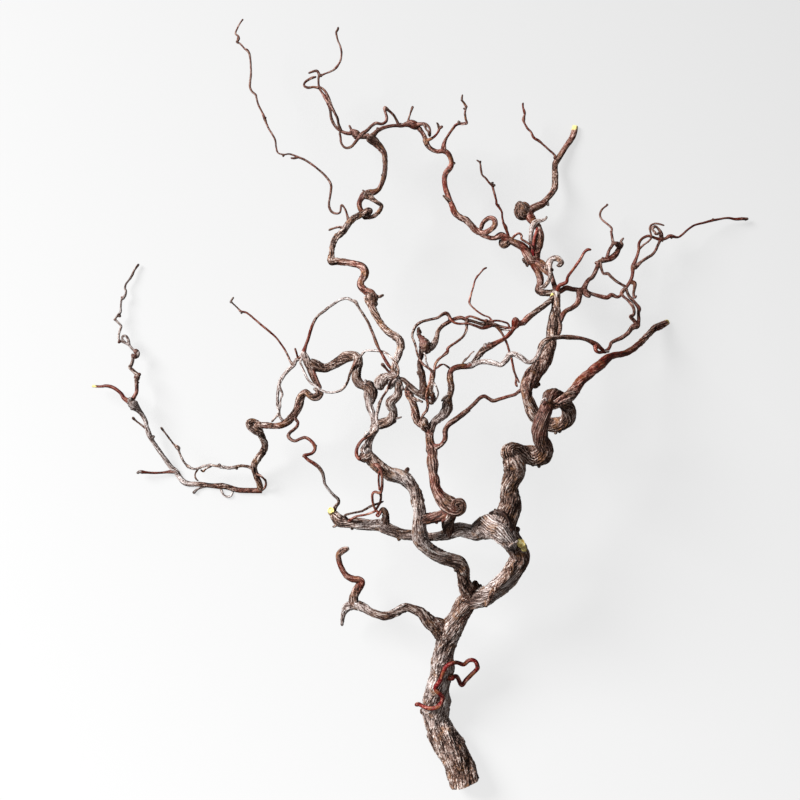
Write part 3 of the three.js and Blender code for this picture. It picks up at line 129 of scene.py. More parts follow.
def noise(tree, where, scale, detail=2.0, roughness=0.5, distortion=0.0):
    """A soft random value around 0.5."""
    return add(tree, "ShaderNodeTexNoise", {"Vector": where, "Scale": scale, "Detail": detail,
               "Roughness": roughness, "Distortion": distortion})


def off_middle(tree, value):
    """A random value from 0 to 1, moved so that it lies around zero."""
    return reckon(tree, "SUBTRACT", value, 0.5)


def new_finish(name, **plain):
    """A material with its tree and its shader. Plain values go on the shader's own sockets."""
    material = bpy.data.materials.new(name)
    material.use_nodes = True
    tree = material.node_tree
    skin = tree.nodes["Principled BSDF"]
    for label, value in plain.items():
        skin.inputs[label.replace("_", " ")].default_value = value
    return material, tree, skin


HELPERS = (add, reckon, vector, scaled, ramp, noise, off_middle)
print("helpers that add nodes:", ", ".join(helper.__name__ for helper in HELPERS))

# %% [markdown]
# ## Table and light
# The branch lies on a table like the ones for product pictures: a pale sheet that is lit from below,
# so that it stays bright around the branch and the shadows on it are faint. The sheet glows for the
# eye only, because its glow on the undersides of the limbs would take away their depth. A broad soft
# box far off at the upper left gives the limbs a light and a dark side, a weak one at the right lifts
# the dark sides, and a pale sky fills in the rest. Behind the table the sky looks brighter than it
# shines, so that the branch has a pale ground from the side as well. The picture is shown with the
# plain view transform, because a filmic one would grey the white table.

# %% Table
TABLE_SIZE = 8.0
SHEET_COLOUR, SHEET_GLOW = 0.14, 0.72       # how much the sheet reflects, and shines of itself
GLOW_SLOPE = (-0.09, -0.12, 0)              # the glow falls off to the right and upwards, per m
GLOW_RANGE = 0.58, 0.86                     # far from the branch it stays within these


def sheet_finish():
    """A pale sheet that reflects some light and glows for the eye."""
    material, tree, skin = new_finish("table_sheet", Roughness=0.9, Specular_IOR_Level=0.0,
                                      Base_Color=(SHEET_COLOUR,) * 3 + (1,),
                                      Emission_Color=(1, 1, 1, 1))
    place = add(tree, "ShaderNodeTexCoord", out="Object")
    slope = add(tree, "ShaderNodeVectorMath", {0: place, 1: GLOW_SLOPE}, out="Value",
                operation="DOT_PRODUCT")
    glow = add(tree, "ShaderNodeClamp", {"Value": reckon(tree, "ADD", slope, SHEET_GLOW),
               "Min": GLOW_RANGE[0], "Max": GLOW_RANGE[1]})
    seen = add(tree, "ShaderNodeLightPath", out="Is Camera Ray")
    tree.links.new(reckon(tree, "MULTIPLY", glow, seen), skin.inputs["Emission Strength"])
    return material


half = TABLE_SIZE / 2
table_mesh = bpy.data.meshes.new("table")
table_mesh.from_pydata([(-half, -half, 0), (half, -half, 0), (half, half, 0), (-half, half, 0)],
                       [], [(0, 1, 2, 3)])
table_mesh.materials.append(sheet_finish())
table = bpy.data.objects.new("table", table_mesh)
bpy.context.scene.collection.objects.link(table)
print(f"the table is {TABLE_SIZE} m wide")

# %% Soft boxes and sky
SKY_STRENGTH = 0.18           # how much the sky lights the branch
BACKDROP = 0.72               # how bright it looks behind the table's edge
SOFT_BOXES = {
    "soft_box_left": {"place": (-3.8, 2.4, 3.0), "size": 2.6, "power": 600},
    "soft_box_right": {"place": (3.4, -1.8, 3.2), "size": 3.0, "power": 8},
}

for name, box in SOFT_BOXES.items():
    lamp = bpy.data.lights.new(name, "AREA")
    lamp.shape = "DISK"
    lamp.size = box["size"]
    lamp.energy = box["power"]
    stand = bpy.data.objects.new(name, lamp)
    stand.location = box["place"]
    stand.rotation_euler = (-stand.location).to_track_quat("-Z", "Y").to_euler()
    bpy.context.scene.collection.objects.link(stand)

sky = bpy.data.worlds.new("sky")
sky.use_nodes = True
shine = sky.node_tree.nodes["Background"]
shine.inputs["Color"].default_value = (1, 1, 1, 1)
seen = add(sky.node_tree, "ShaderNodeLightPath", out="Is Camera Ray")
sky.node_tree.links.new(ramp(sky.node_tree, seen, 0.0, 1.0, SKY_STRENGTH, BACKDROP),
                        shine.inputs["Strength"])
bpy.context.scene.world = sky
bpy.context.scene.view_settings.view_transform = "Standard"
print(f"{len(SOFT_BOXES)} soft boxes and a sky of strength {SKY_STRENGTH}")

# %% [markdown]
# ## How a limb is written down
# Each part of the branch has its notes, which hold one or more limbs that grew as one. A limb has a
# line with its name and what is known of it, and below that its course from the root to the tip, with
# commas between the points. Each point has its place across, its place down and the radius there, in
# squares. A limb's line can hold these words:
# - rise: height of the middle line at even steps from root to tip, in steps of LIFT squares
# - over: the same, but counted from the height of the limb that it grows out of
# - from: the limb that it grows out of, which gives the place and height of the root
# - to: the limb that its far end meets
# - on: the limbs that it lies on, so that its height follows from the highest of them
# - end, foot: how the far end or the root looks, if it is sawn or broken
#
# Notes like these take longer to make than a random tree, but this branch is known by its loops, and
# no random tree would have them.

# %% Reading the notes
HEIGHTS = ("rise", "over")    # the words that have numbers after them
PARTS = {}                    # the limbs of each part, by name


def drawn(text):
    """The points of a written line: across, down and radius of each, in squares."""
    return [tuple(map(float, point.split())) for point in text.split(",")]


def limbs_of(notes):
    """The limbs that a part's notes hold. A line with a colon starts a limb."""
    limbs = {}
    for line in notes.strip().splitlines():
        if ":" in line:
            name, known = line.split(":")
            limbs[name] = limb = {"points": []}
            for habit in filter(None, known.split(";")):
                word, *rest = habit.split()
                limb[word] = list(map(float, rest)) if word in HEIGHTS else " ".join(rest)
        else:
            limb["points"] += drawn(line.rstrip(","))
    return limbs


def note_down(group):
    """Reads the notes of some parts and adds their limbs to PARTS."""
    before = sum(map(len, PARTS.values()))
    for part, notes in group.items():
        PARTS.setdefault(part, {}).update(limbs_of(notes))
    print(sum(map(len, PARTS.values())) - before, "more limbs, in", len(group), "parts")


def values_of(notes):
    """Numbers by limb, from notes with commas between the limbs."""
    return {name: list(map(float, rest)) for name, *rest in map(str.split, notes.split(","))}


print("an example:", limbs_of("stub: from trunk; over 2 3\n  450 640 3, 455 638 2"))

# %% [markdown]
# ## The stem and its thick limbs
# The stem leans to the right and forks. The right limb swells, bends back and ties a loop, and the
# left limb runs up in a long bow. The limbs that cross between them carry a coil like a spiral bun.

# %% Stem, main limbs and the loops on the right
STEM = {
"trunk": """
trunk: foot old; rise 0 0 7 19 31 39
  466 783 14, 461 770 14.3, 456 758 14.5, 449 746 14.5, 442.5 735 14, 439 727 12.2, 436 719 12,
  436 710 13.5, 436.5 700 13.3, 437.5 690 12, 440 680 11.2, 442.3 670 11.3, 442.5 660 10.8,
  444.5 650 9.8, 447 640 10.2, 450.5 630 11.5, 456 621 9.8, 461 612 9.3, 467 603 10, 472 597 10
tendril: from trunk; on trunk
  450 679 1.7, 456.5 676.5 1.9, 461.5 685 2, 466 680 2, 472 674 2, 477 669 2, 477.5 666 2,
  475.5 661.5 1.9, 472 660 1.9, 468 661 1.9, 463.5 664.5 1.9, 456 662.5 1.9, 447.5 665.5 2, 444 670.5 2,
  442 675.5 2, 440 681 2, 435.5 688.5 2, 442 696 2, 442.5 699.5 2, 440.5 704 2, 437 707 2,
  433 708.5 1.9, 428 708 1.9, 423 706.5 1.8, 419 704.3 1.9, 414.8 705.2 2.1""",
"right_limb": """
right_limb: from trunk; rise 44 50 57 62 68 76
  467 604 9.3, 475 599 9.3, 484 596.5 9.4, 495 590 9, 506 580 9.2, 515 568 9.5, 520.5 558 9.5,
  518 550 9.2, 511 541 10, 504 531 11, 506 521 11, 508 513 11, 510.5 503 10.5, 510 495 9.7,
  509.3 488 8.8, 511.5 480 9.5, 514.5 473 10.2, 514.5 465 11, 510 457 9.5, 507 452 7.5""",
"left_limb_lower": """
left_limb_lower: from trunk; rise 48 53 56 58
  469 598 8, 465.5 585 6.5, 463.5 577 6.2, 462.5 569 7, 457 562.5 7, 447 559 6.4, 438 555 6.5,
  430 550 6.5, 423 543 7, 420 536 7.2, 419.5 527 6.8, 420 518 6.4""",
"left_limb_upper": """
left_limb_upper: from left_limb_lower; rise 60 61 62 62 60
  420 520 6.2, 419.5 510 6, 418 502 6.3, 416.5 495 6, 413.5 488 5.8, 409 482 6.4, 403.5 477.5 6.8,
  397 475.5 7, 391 474 6.3, 385 471 6.2, 380 467.5 6.3, 375 463 6.3, 371 459 6, 368 453.5 5,
  367.8 447.5 3.9, 369 441.5 3.7, 371.5 436 3.4, 374 430 4, 375.5 424.5 4.2
crook_lump: from left_limb_upper; rise 64 66
  369 456 4, 364 457.5 4, 359.5 459.5 2.5""",
"crossing_branch": """
crossing_branch: from right_limb; rise 50 45 42 42 39 36
  500 527 9.5, 490 526.5 9, 482 529 9, 475 532.5 7, 468 531 6.3, 461 529.5 6.5, 454 531 6.5,
  447 534.5 5.5, 440 536 4.5, 432 537 4, 425 537 4.3, 417 536 4.6, 410 535 5, 400 533.7 4.9,
  390 530 5.4, 385 527.5 6.2, 380 525.3 5.7, 370 525 5, 360 523.3 5.6, 352 523 4.7, 345 522.8 4.8,
  340 521 6, 335.5 516.5 4.8, 332.3 512 3.4, 330.6 509.8 2.8
crossing_cut: from crossing_branch; over 0 2.2; end fresh
  334 514.8 2.7, 332 512 2.5, 330.8 510 2.4
crossing_stub: from crossing_branch; rise 43 44
  385 525 3.8, 385.7 518 3, 385.4 512.8 2.6, 383.4 509.6 2.3, 381 510.6 1.8, 379.8 513.5 1.3,
  378.6 515.5 0.9""",
"low_left_branch": """
low_left_branch: from trunk; rise 33 28 24 19 14
  449 634 8.6, 439.5 627.5 7, 430.5 622.5 5.7, 424 616 5, 420 612 4.5, 410 608.3 3.9, 405 608 4.3,
  400 610 4, 390 615 3.6, 385 616 4, 380 615.2 3.8, 370 611.7 3.8, 360 606 4.5, 352 605 4.5,
  347 607 4.2, 344 613 2.4, 342.5 620 1.5, 342 626 1.2
low_left_shoot: from low_left_branch; end hollow; rise 22 26 28
  354 604 3.6, 354 597 3.6, 357 590 4, 361 583 4, 359 580 3.7, 352 578.5 3.3, 346 575 3, 341.5 568 2.6,
  339 561 2.6, 338.5 555 2.7, 341.3 551.5 3.1, 345.2 549.5 2.8, 348.8 548.2 1.5""",
"coil_limb": """
coil_core: rise 62 65 68
  451 510.5 5.2, 456.5 507.5 7.4, 459.5 506 6
coil_root: from left_limb_lower; to coil_core; rise 59 61
  422 519.5 6.2, 430.5 518.5 5.4, 440 516.5 5, 448 514 5.8, 453 511 6
coil_foot: from crossing_branch; to coil_core; rise 53
  449 529 4.6, 447.5 523 5.2, 450 516 6
coil_limb: rise 71 69.5 68 67 66 65 64 63 62
  458.5 507 2.5, 456 508.3 2.8, 454 505.6 3.2, 456 502.7 3.6, 460.5 502.5 4, 462.3 506.5 4.2,
  460 510.3 4.8, 454.5 511.3 5.6, 447.5 506.5 6.8, 442.5 500 6.4, 438.5 493.5 5.5, 435.5 487.5 5,
  434.5 480 5, 433 474 4.2, 433 469 4.8, 432.7 464 5.7, 432 459 5, 432.5 454 4.6, 431.5 449 5.6,
  430.3 444 4.5, 429.5 438 4, 429.5 432 4.2""",
"fork_left_limb": """
fork_left_limb: from coil_limb; rise 63 65 66 67
  429.5 434 3.6, 425.5 428 3.2, 418 422.5 3, 416 417 4, 415 410 3.5, 413.3 404 3.4, 411.5 399.5 3.4,
  409 394.5 3.8, 407.3 389.5 2.6, 407.3 385 1.5
fork_bulb: from fork_left_limb; rise 65 66
  425.5 428.5 3, 424 424 3.2, 423.7 420.5 3, 423 416.5 1.2""",
"fork_right_limb": """
fork_right_limb: from coil_limb; rise 62 61 59 57 56
  430 431 3.8, 434 422.5 3.4, 438.5 418.5 3.8, 443 415 4.3, 446.5 409.5 5.3, 447.5 403.5 4.8,
  448.8 398 3, 450.7 392 2.8, 451 385 2.9, 449.8 377.5 2.9, 450.5 371.5 2.8, 454.5 368 2.6,
  460.5 366.7 2.7, 467 366.3 2.7, 473.5 364 3.6""",
"s_bend": """
s_bend: from right_limb; rise 65 61 65 72 76 78 77 75
  507.5 451 6.5, 514 449 7, 522 453.5 9, 532 455.5 9.7, 541 455.5 10, 545 448 8.5, 541 440 7.6,
  540 432 8, 541 425 7.5, 543.5 417 7, 546 409 6.5, 548 401 7""",
"top_loop": """
top_loop: from s_bend; rise 68 60 55 51 50 52 54 55
  547.5 403 6.6, 552 396.5 8, 560 399 7.5, 567 406 7, 569 415 7, 564.5 422 7, 556 424.5 7, 547 424 6.5,
  538 418.5 6.5, 532 411 6.3, 528 400 5.5, 526.5 393 5.4""",
"upper_right_limb": """
upper_right_limb: from top_loop; rise 50 45 40 36 32
  526.5 395 5.2, 526.5 386.5 6.4, 532 377 8, 538 369 7.6, 543.5 360 7.8, 547 354 7, 549.5 349 5.8,
  551 343 5.5, 551.5 335 5, 552.5 327 5.2, 553.5 318 4.6, 555.5 308 4.2, 556 300 4, 556.5 292 3.8
red_strand: from upper_right_limb; to upper_right_limb; rise 36 39
  556 299 2, 558.5 310 1.9, 559.5 320 1.9, 560 330 1.8, 556 337 2""",
"red_right_branch": """
red_right_branch: from s_bend; end fresh; rise 76 66 57 47 33 21 10 0
  547 406 4, 556 404 4, 561 401 4.5, 567 397 5, 572 394 5.5, 576 388.5 5, 580 382 4.6, 585 377 4.4,
  590 373.5 4.4, 596 368 4.8, 602 363.5 4.7, 606 359.5 4, 612 356 3.2, 620 354.3 3, 628 352 3,
  633 349 2.8, 639 344 2.8, 645 338 2.6, 651 331.5 2.8, 655 328 3.2, 660 326 3, 665 323.5 2.6,
  668 321.5 1.8
red_right_spur: from red_right_branch; rise 68 68
  575 391 3, 572 396.5 2.6, 569 399.8 2""",
}
note_down(STEM)

# %% [markdown]
# ## The right side
# Here the wood is thinner. A pale silvery branch runs out of the fork and passes in front of the
# thick limb, and its end breaks up in a tangle of twigs.

# %% Pale and red twigs on the right
RIGHT = {
"rising_branch": """
rising_branch: from fork_right_limb; to upper_right_limb; rise 55 53 50 46 41
  473 364.5 3.2, 477 358 2.6, 481 352.5 3, 485.5 348.5 3.2, 491 345.8 3, 497 342.5 2.2, 503 339.5 1.8,
  507 336.5 1.9, 511 332 2.1, 514 327.5 2.6, 518.5 324 2.6, 523.5 322.3 2.7, 528 317.7 3, 535 312.5 2.6,
  543 306.5 2.6, 550 301 2.6, 555 296.5 2.5
rising_ball: from rising_branch; rise 53
  514.5 326 2.4, 515.5 320.5 3.2, 516 317.5 1.6""",
"pale_branch": """
pale_branch: from fork_right_limb; rise 59 62 62 62 57 50 44 38
  472 364 3, 481 361.8 2.3, 489 362 2.5, 495 363.3 2.4, 501 365 2.2, 506 360.5 2.8, 509.5 355.2 2.8,
  514.5 354.3 2.5, 520.5 357.2 2.7, 526 361.3 2.2, 530.5 362.3 1.9, 535 359.5 2, 538.5 354 2.2,
  540.8 347 2.8, 544.5 341.8 2.6, 550 338.7 2.3, 560 337.2 2, 570 337.3 2.3, 580 338.2 1.8,
  588 340.3 1.8, 595 344 2.6, 600.5 348 1.8, 604 351.5 1.8
pale_branch_strand: from pale_branch; to pale_branch; rise 44
  595 345 2, 596 350.5 1.5, 599.5 352.5 1.3, 604 351.8 1.3""",
"right_tangle": """
right_tangle: from pale_branch; rise 36 33 30 28 27 26 25 24
  603 351.3 1.5, 607.5 350 1.6, 610 346.3 1.5, 611.5 342.8 1.6, 616.5 340 1.8, 622 337.5 1.9,
  627.5 333.5 1.9, 631 329 2.2, 634 326.5 3, 637.5 326 2.4, 638.7 320 1.6, 638.5 313 1.5, 639 308.5 1.8,
  636 304 1.5, 632.5 300 1.6, 629 296 1.4, 627 291.5 1.3, 626 287.5 1.5
tangle_left_strand: from right_tangle; to right_tangle; rise 30 29 27
  637 325 1.6, 634 320.5 1.6, 630.5 316.5 1.5, 633.5 315 1.3, 634.2 311 1.4, 633 306.5 1.5,
  630 302.5 1.4, 626.5 299 1.2, 623.3 296.5 1.2, 622.3 293 1.2, 626 288.5 1.4""",
"far_right_twig": """
far_right_twig: from right_tangle; rise 23 22 20 19 17 14 11 8 5 3
  626 288 1.4, 630 281.8 1.6, 631.8 277.5 1.5, 632.7 272.5 1.6, 632.8 267 2, 634.8 262 1.7,
  637 256.5 1.3, 638.8 250 1.3, 639 243.5 1.2, 642 238.8 1.2, 647.5 236 1.2, 652 236.8 1.2,
  656.5 238.5 1.3, 661 239.3 1.6, 666 238.3 1.4, 670 236 1.7, 677.5 237.3 0.9, 682 234.8 0.9,
  688.5 229 0.9, 695 225 0.9, 703 223 0.9, 711 220.8 1.1, 720 219 0.9, 728 218 0.9, 735.5 219.2 1.2,
  742 218.8 1.4, 748 218.8 0.9
right_loop_twig: from far_right_twig; to far_right_twig; rise 24 22
  633 267.5 2, 636.5 266 1.8, 641 262 1.4, 646 258.5 1.3, 652 254.8 1.3, 655.5 250.5 1.2, 658 245 1.2,
  660.5 239.5 1.3
tangle_up_strand: from far_right_twig; rise 25 27
  630.5 282 1.5, 634.5 283.5 1.8, 634.3 289 1.4, 633.5 294 1.3, 634.5 297.5 1.2, 636.8 295.5 0.9
right_curl: from far_right_twig; rise 19 20
  661 239 1.6, 660.8 233 1.7, 658 228.5 1.1, 654.8 226.3 1, 650 228.5 0.9, 651 225.3 0.8, 655 223.6 0.8,
  660 224.2 0.8, 664.5 225.6 0.6""",
"right_side_branch": """
right_side_branch: from upper_right_limb; to right_tangle; rise 31 30 28 27 26
  556.5 294 2.6, 561.5 290.5 2.3, 566 288 2.5, 572 289 2.3, 578 290 2.3, 583 290.5 3, 588 292.5 1.8,
  594 294.5 1.6, 600 296.3 1.9, 607 297.5 2, 611.5 295 2.1, 617 297 1.4, 620.5 295.5 1.3, 622 291 1.3,
  626 287.5 1.5
side_stub: from right_side_branch; rise 31
  584 291 2.6, 587.5 294.5 2.4, 590 297.5 2
down_strand: from right_side_branch; to upper_right_limb; rise 33 37
  579.5 290 2.4, 579.3 296 2.3, 577.5 303 2.4, 572 308 2.2, 566 311 2.2, 562.5 315.5 2.5, 560 321 2.4,
  556 325 2""",
"gall_branch": """
gall_branch: from right_side_branch; rise 27 24 21 19 17 16
  583.5 290 2.4, 585.5 284.5 2, 588.5 280 1.8, 592.5 277 2, 595.5 271.5 1.9, 598 265.5 2, 599 262.5 2,
  603 260.5 2.4, 608 259.3 2.8, 612.5 257.3 3, 616.5 253.3 2.6, 619 248.5 2.2, 621.5 245 2,
  621 241.5 1.2, 623.8 237.7 0.8
gall_high_twig: from gall_branch; rise 21 19 17 15 13
  606.5 259 1.4, 609 250.5 1.3, 612.8 244 1.4, 612.3 238.5 1.2, 611.5 233 1.1, 611.5 228 0.9,
  606 223 0.8, 601.5 219 0.8, 600 214.5 0.9, 602 209.5 0.8, 606 206 0.8, 608 204 1.4
gall_low_twig: from gall_branch; to right_side_branch; rise 25 26
  600 263 1.3, 601.5 269 1.2, 603.5 273.5 1.2, 608 273.7 1.4, 611.5 277.2 1.3, 616 281 1.2, 621 284 1.2,
  626 287 1.4""",
"red_twig": """
red_twig: from upper_right_limb; rise 36 39 42 44
  556 294 2.2, 559 286 1.8, 563 284 1.7, 566.5 282 1.6, 567.8 277 1.3, 570.5 273 1.2, 575 267 1.2,
  580 260 1.2, 584 252.8 1.2, 587.5 249.8 1.4, 591.5 249.8 0.9""",
}
note_down(RIGHT)

# %% [markdown]
# ## The top
# Strands part and meet again at a burl, and a chain of loops and knots runs to the left of it.

# %% Chains of loops at the top
TOP = {
"burl_strands": """
burl: rise 26 26
  538 264 3.4, 532 260.5 5.2, 526 261.5 4
left_strand: from upper_right_limb; to burl; rise 31 29 27
  556 293 3.4, 549 293 3, 542 292.5 3.3, 538 290 3, 540 284 3.2, 540 278 3.3, 538 272 3.2, 534 264 4.2
right_strand: from upper_right_limb; to burl; rise 32 31 29
  556 293 3, 554 284 2.3, 551.5 277 2.3, 547 270.5 3.8, 543 266 4.2, 536 261 4
burl_hook: from right_strand; rise 33 35
  547 269 2.4, 549.3 262 2.4, 552.8 258.8 2.7, 557.5 258.7 2.7, 560.8 261.7 2.5, 560 265 2.1,
  556.5 265.5 1.2""",
"lens_strands": """
lens_right: from burl; rise 25 24 22
  537 260 2.8, 537 252 3, 538.6 246 3.9, 539.6 240 4, 540 234 3.6, 539.3 229 2.6, 536.8 224.5 2.4
lens_left: from burl; to lens_right; rise 25 24 23
  533 259 2.4, 531.5 249 1.9, 530.7 241 2, 531.3 233 2.1, 532.5 227 2.5, 536 224.5 2.3""",
"knob_cluster": """
knob_cluster: from lens_right; rise 20 18 17
  536.5 226 2.8, 534.5 223 3.2, 531 219 4.3, 528.5 214 4.5, 526 209 4.4, 523.5 205 4, 521.5 203 3
knob_lobe: from knob_cluster; rise 19 20 20 20
  523.5 216.5 3, 521.8 213.5 5.4, 520.6 208 6, 519.6 203.5 4.6, 519.4 201 2.8""",
"yellow_tip_branch": """
yellow_tip_branch: from knob_cluster; end fresh; rise 12 6 3 0
  528 212 3.2, 533 208.5 3.2, 538 206 3.4, 543 203.5 3.4, 547 199 2.8, 552 193 2.7, 554.8 187 3,
  555 179 2.9, 555 170 2.8, 555.3 164 3, 558 159 3, 563 151.5 2.7, 567 145 2.6, 571 139.5 2.8,
  573.7 134 2.9, 575 126 2.4
yellow_side_twig: from yellow_tip_branch; rise 8 11 14 17
  556.5 161 1.4, 554.5 155 0.9, 548 149 0.9, 542 143.5 0.9, 539 141 1.3, 533.8 137.7 1.2, 531 132 0.9,
  527.5 128.5 0.9, 524.5 123 0.9, 523.5 119.3 1.5, 524.5 115 0.9, 524.5 112.5 1.2, 523 107 0.8,
  523 102.5 0.9""",
"chain_left": """
chain_left: from burl; rise 27 28 28
  530 258 4.6, 525 249 4.2, 519 244.5 3.8, 512 241.5 3.2, 506 238.5 3.6, 501 235.5 3.4, 495 238 2.2,
  489 237.5 2, 483 235 2, 479 232 2.8
chain_ball: from chain_left; rise 25
  508 241.5 2.6, 504 244.5 3.4, 499.5 240 2
chain_ring: from chain_left; rise 30 32 31 29
  480 232.5 2.6, 485 232.8 2.5, 490.5 230 2.6, 494.5 225.5 2.6, 494.5 220 2.5, 490.5 217.8 2.2,
  486 219.8 2.1, 482.5 224 2, 480.5 230 2
chain_twig: from chain_left; rise 31 33 36 39 42
  509 239.5 1.6, 508 235 1.1, 506.8 231 1.2, 505.5 227 1.7, 503.5 223 1, 502.3 217.5 0.9, 501.8 212 0.9,
  499.3 207.5 1.1, 496.6 204 1.1, 496 199 0.9, 493.5 190 1, 492.3 185.8 1.1, 489 182.5 0.8,
  486 178.5 0.8, 482.3 175 0.8, 481 170 0.9, 480 162.8 0.7, 476.5 160 0.6""",
"chain_limb": """
chain_limb: from chain_left; rise 29 30 30 30 31 31 32
  479 232 2.8, 474.5 229 2.8, 470.5 224.5 2.9, 466 220 3, 460.5 217.5 3, 455.5 213.5 3.3,
  452.5 206.5 2.7, 449.8 200 2.3, 447 193 2.4, 445 186 2.4, 444.5 179 2.4, 446 173 2.5, 449.5 168.5 2.7,
  451.5 163.5 2.3, 450.5 158 2.4, 447.5 153 2.5, 443 151 2.4, 437.5 151.5 1.9, 432 149.5 2, 428 146 2.4,
  426 141.5 2.8, 424.5 136.5 2, 421.5 131.5 1.9, 418 127 3
chain_end_twig: from chain_limb; rise 33 36 38
  444.5 150 2, 443.8 145 1.8, 446 139 1.1, 449.5 133.5 1.1, 453 128.5 1.1, 456 124.8 1.2, 460 123.8 1.1,
  467.5 123.3 1.3
chain_high_twig: from chain_end_twig; rise 40 43
  466.5 123.5 1.1, 466 119.5 0.9, 465 114.5 0.8, 465.5 109.5 0.9, 466 106.5 1.2, 464 103 0.8,
  462 100 0.9, 462.5 94.3 0.6
chain_mid_twig: from chain_limb; rise 35 38
  427.5 140.5 1.5, 432 138.2 1.1, 435.5 135.5 1, 438.3 131.5 1, 439.5 128.5 1.2, 442.8 126 1.4""",
"top_arm": """
top_arm: rise 34 33 32 32
  371 137 3, 374 134.5 2.3, 378 130.5 1.8, 384 127.5 1.6, 390 126.2 1.5, 396 125.6 1.5, 401 125.8 1.7,
  406 124.5 2.4, 411 124 4, 416 126 4.2, 419.5 128 3
top_knot_loop: from top_arm; rise 35 36 34
  415 124 2, 424 123.7 1.2, 428 126 1.1, 430 130 1, 430 134.5 1.1, 429.3 137 1.2
top_triangle: from top_arm; rise 35 37
  399 126 1.3, 396.5 120 1.1, 393.5 115 1.1, 389 110.8 1.2, 385 108 1.8
top_loop_strand: from top_triangle; rise 38 40 41 40 38 36
  385 108 1.8, 385.3 112 1.2, 386.7 117 1.3, 386 121.5 1.3, 382 124 1.3, 376 123.3 1.4, 371.5 126 1.4,
  367 130.5 1.5, 362 134 1.9, 358.5 138 1.6, 355 142.5 1.3, 351.5 146.5 1.3, 347 148 1.1, 343.5 146.5 1,
  341 142 1, 340.5 137 1, 339.5 132 1""",
"bulb_limb": """
bulb_limb: rise 34 35 36 37 38 39 40
  369 136 3.6, 371 138.5 4.8, 375.5 142.5 4, 380.3 147.5 3, 384 153 2.5, 385 160 2.3, 385 168 2.2,
  383.8 177.5 2.2, 381.5 184.5 2.2, 378.5 189.5 2.3, 374.5 192 2.8, 369.5 193 3.2, 364.5 195 3.2,
  361 199 2.4, 359.3 203.5 2.3, 360 208 2.3, 363 213 2.2
ring_knot_strap: from bulb_limb; rise 41 41 39 37
  367 195.5 3.4, 372.5 199 2, 376.5 202 1.8, 381.3 205.8 1.8, 379 211.5 1.9, 374.5 215.5 1.9,
  369 217.3 1.8, 362.5 217.8 1.6""",
"double_strand_twig": """
double_strand_twig: from bulb_limb; rise 35 34 33 32 31 30 29 28
  368 136.5 2, 361 136.5 2.2, 356.5 134.5 4, 352.5 132 3, 350 133.5 1.8, 345 132.8 1.5, 340 130.5 1.4,
  336 127 1.3, 333 122.5 1.4, 331 117 1.3, 330.5 112 1.2, 329.8 107 1.7, 328 102 1.8, 325.3 97.5 1.7,
  322 92.5 1, 319.5 88.5 1, 318.5 84 0.9, 318.5 79 0.9, 319 74.5 1.2, 317 71 1.2, 313 71.5 1,
  308.3 73.3 0.8
strand_hook: from double_strand_twig; rise 29 27
  320 88 1, 313.5 87 0.9, 308 87.7 1.2, 304 85.5 0.9, 305.5 81.8 1, 309.5 79 1.2
topmost_twig: from double_strand_twig; rise 30 31 33 34
  318.5 76.5 0.9, 325 73.7 0.7, 329.5 72 0.7, 333.5 70 0.8, 336.3 67.3 1.2, 338.5 64.5 0.8,
  340.3 61 0.8, 341.3 56.5 0.8, 341.5 51.5 0.8, 340.2 46 0.7, 338 40.8 0.7, 336.8 36 0.8, 336.2 32.3 1,
  337.8 29.5 1, 338.2 26.8 0.9""",
}
note_down(TOP)

# %% [markdown]
# ## The long limb to the upper left
# It climbs in steps out of the curl above the left limb, and one very long thin twig leaves its end.

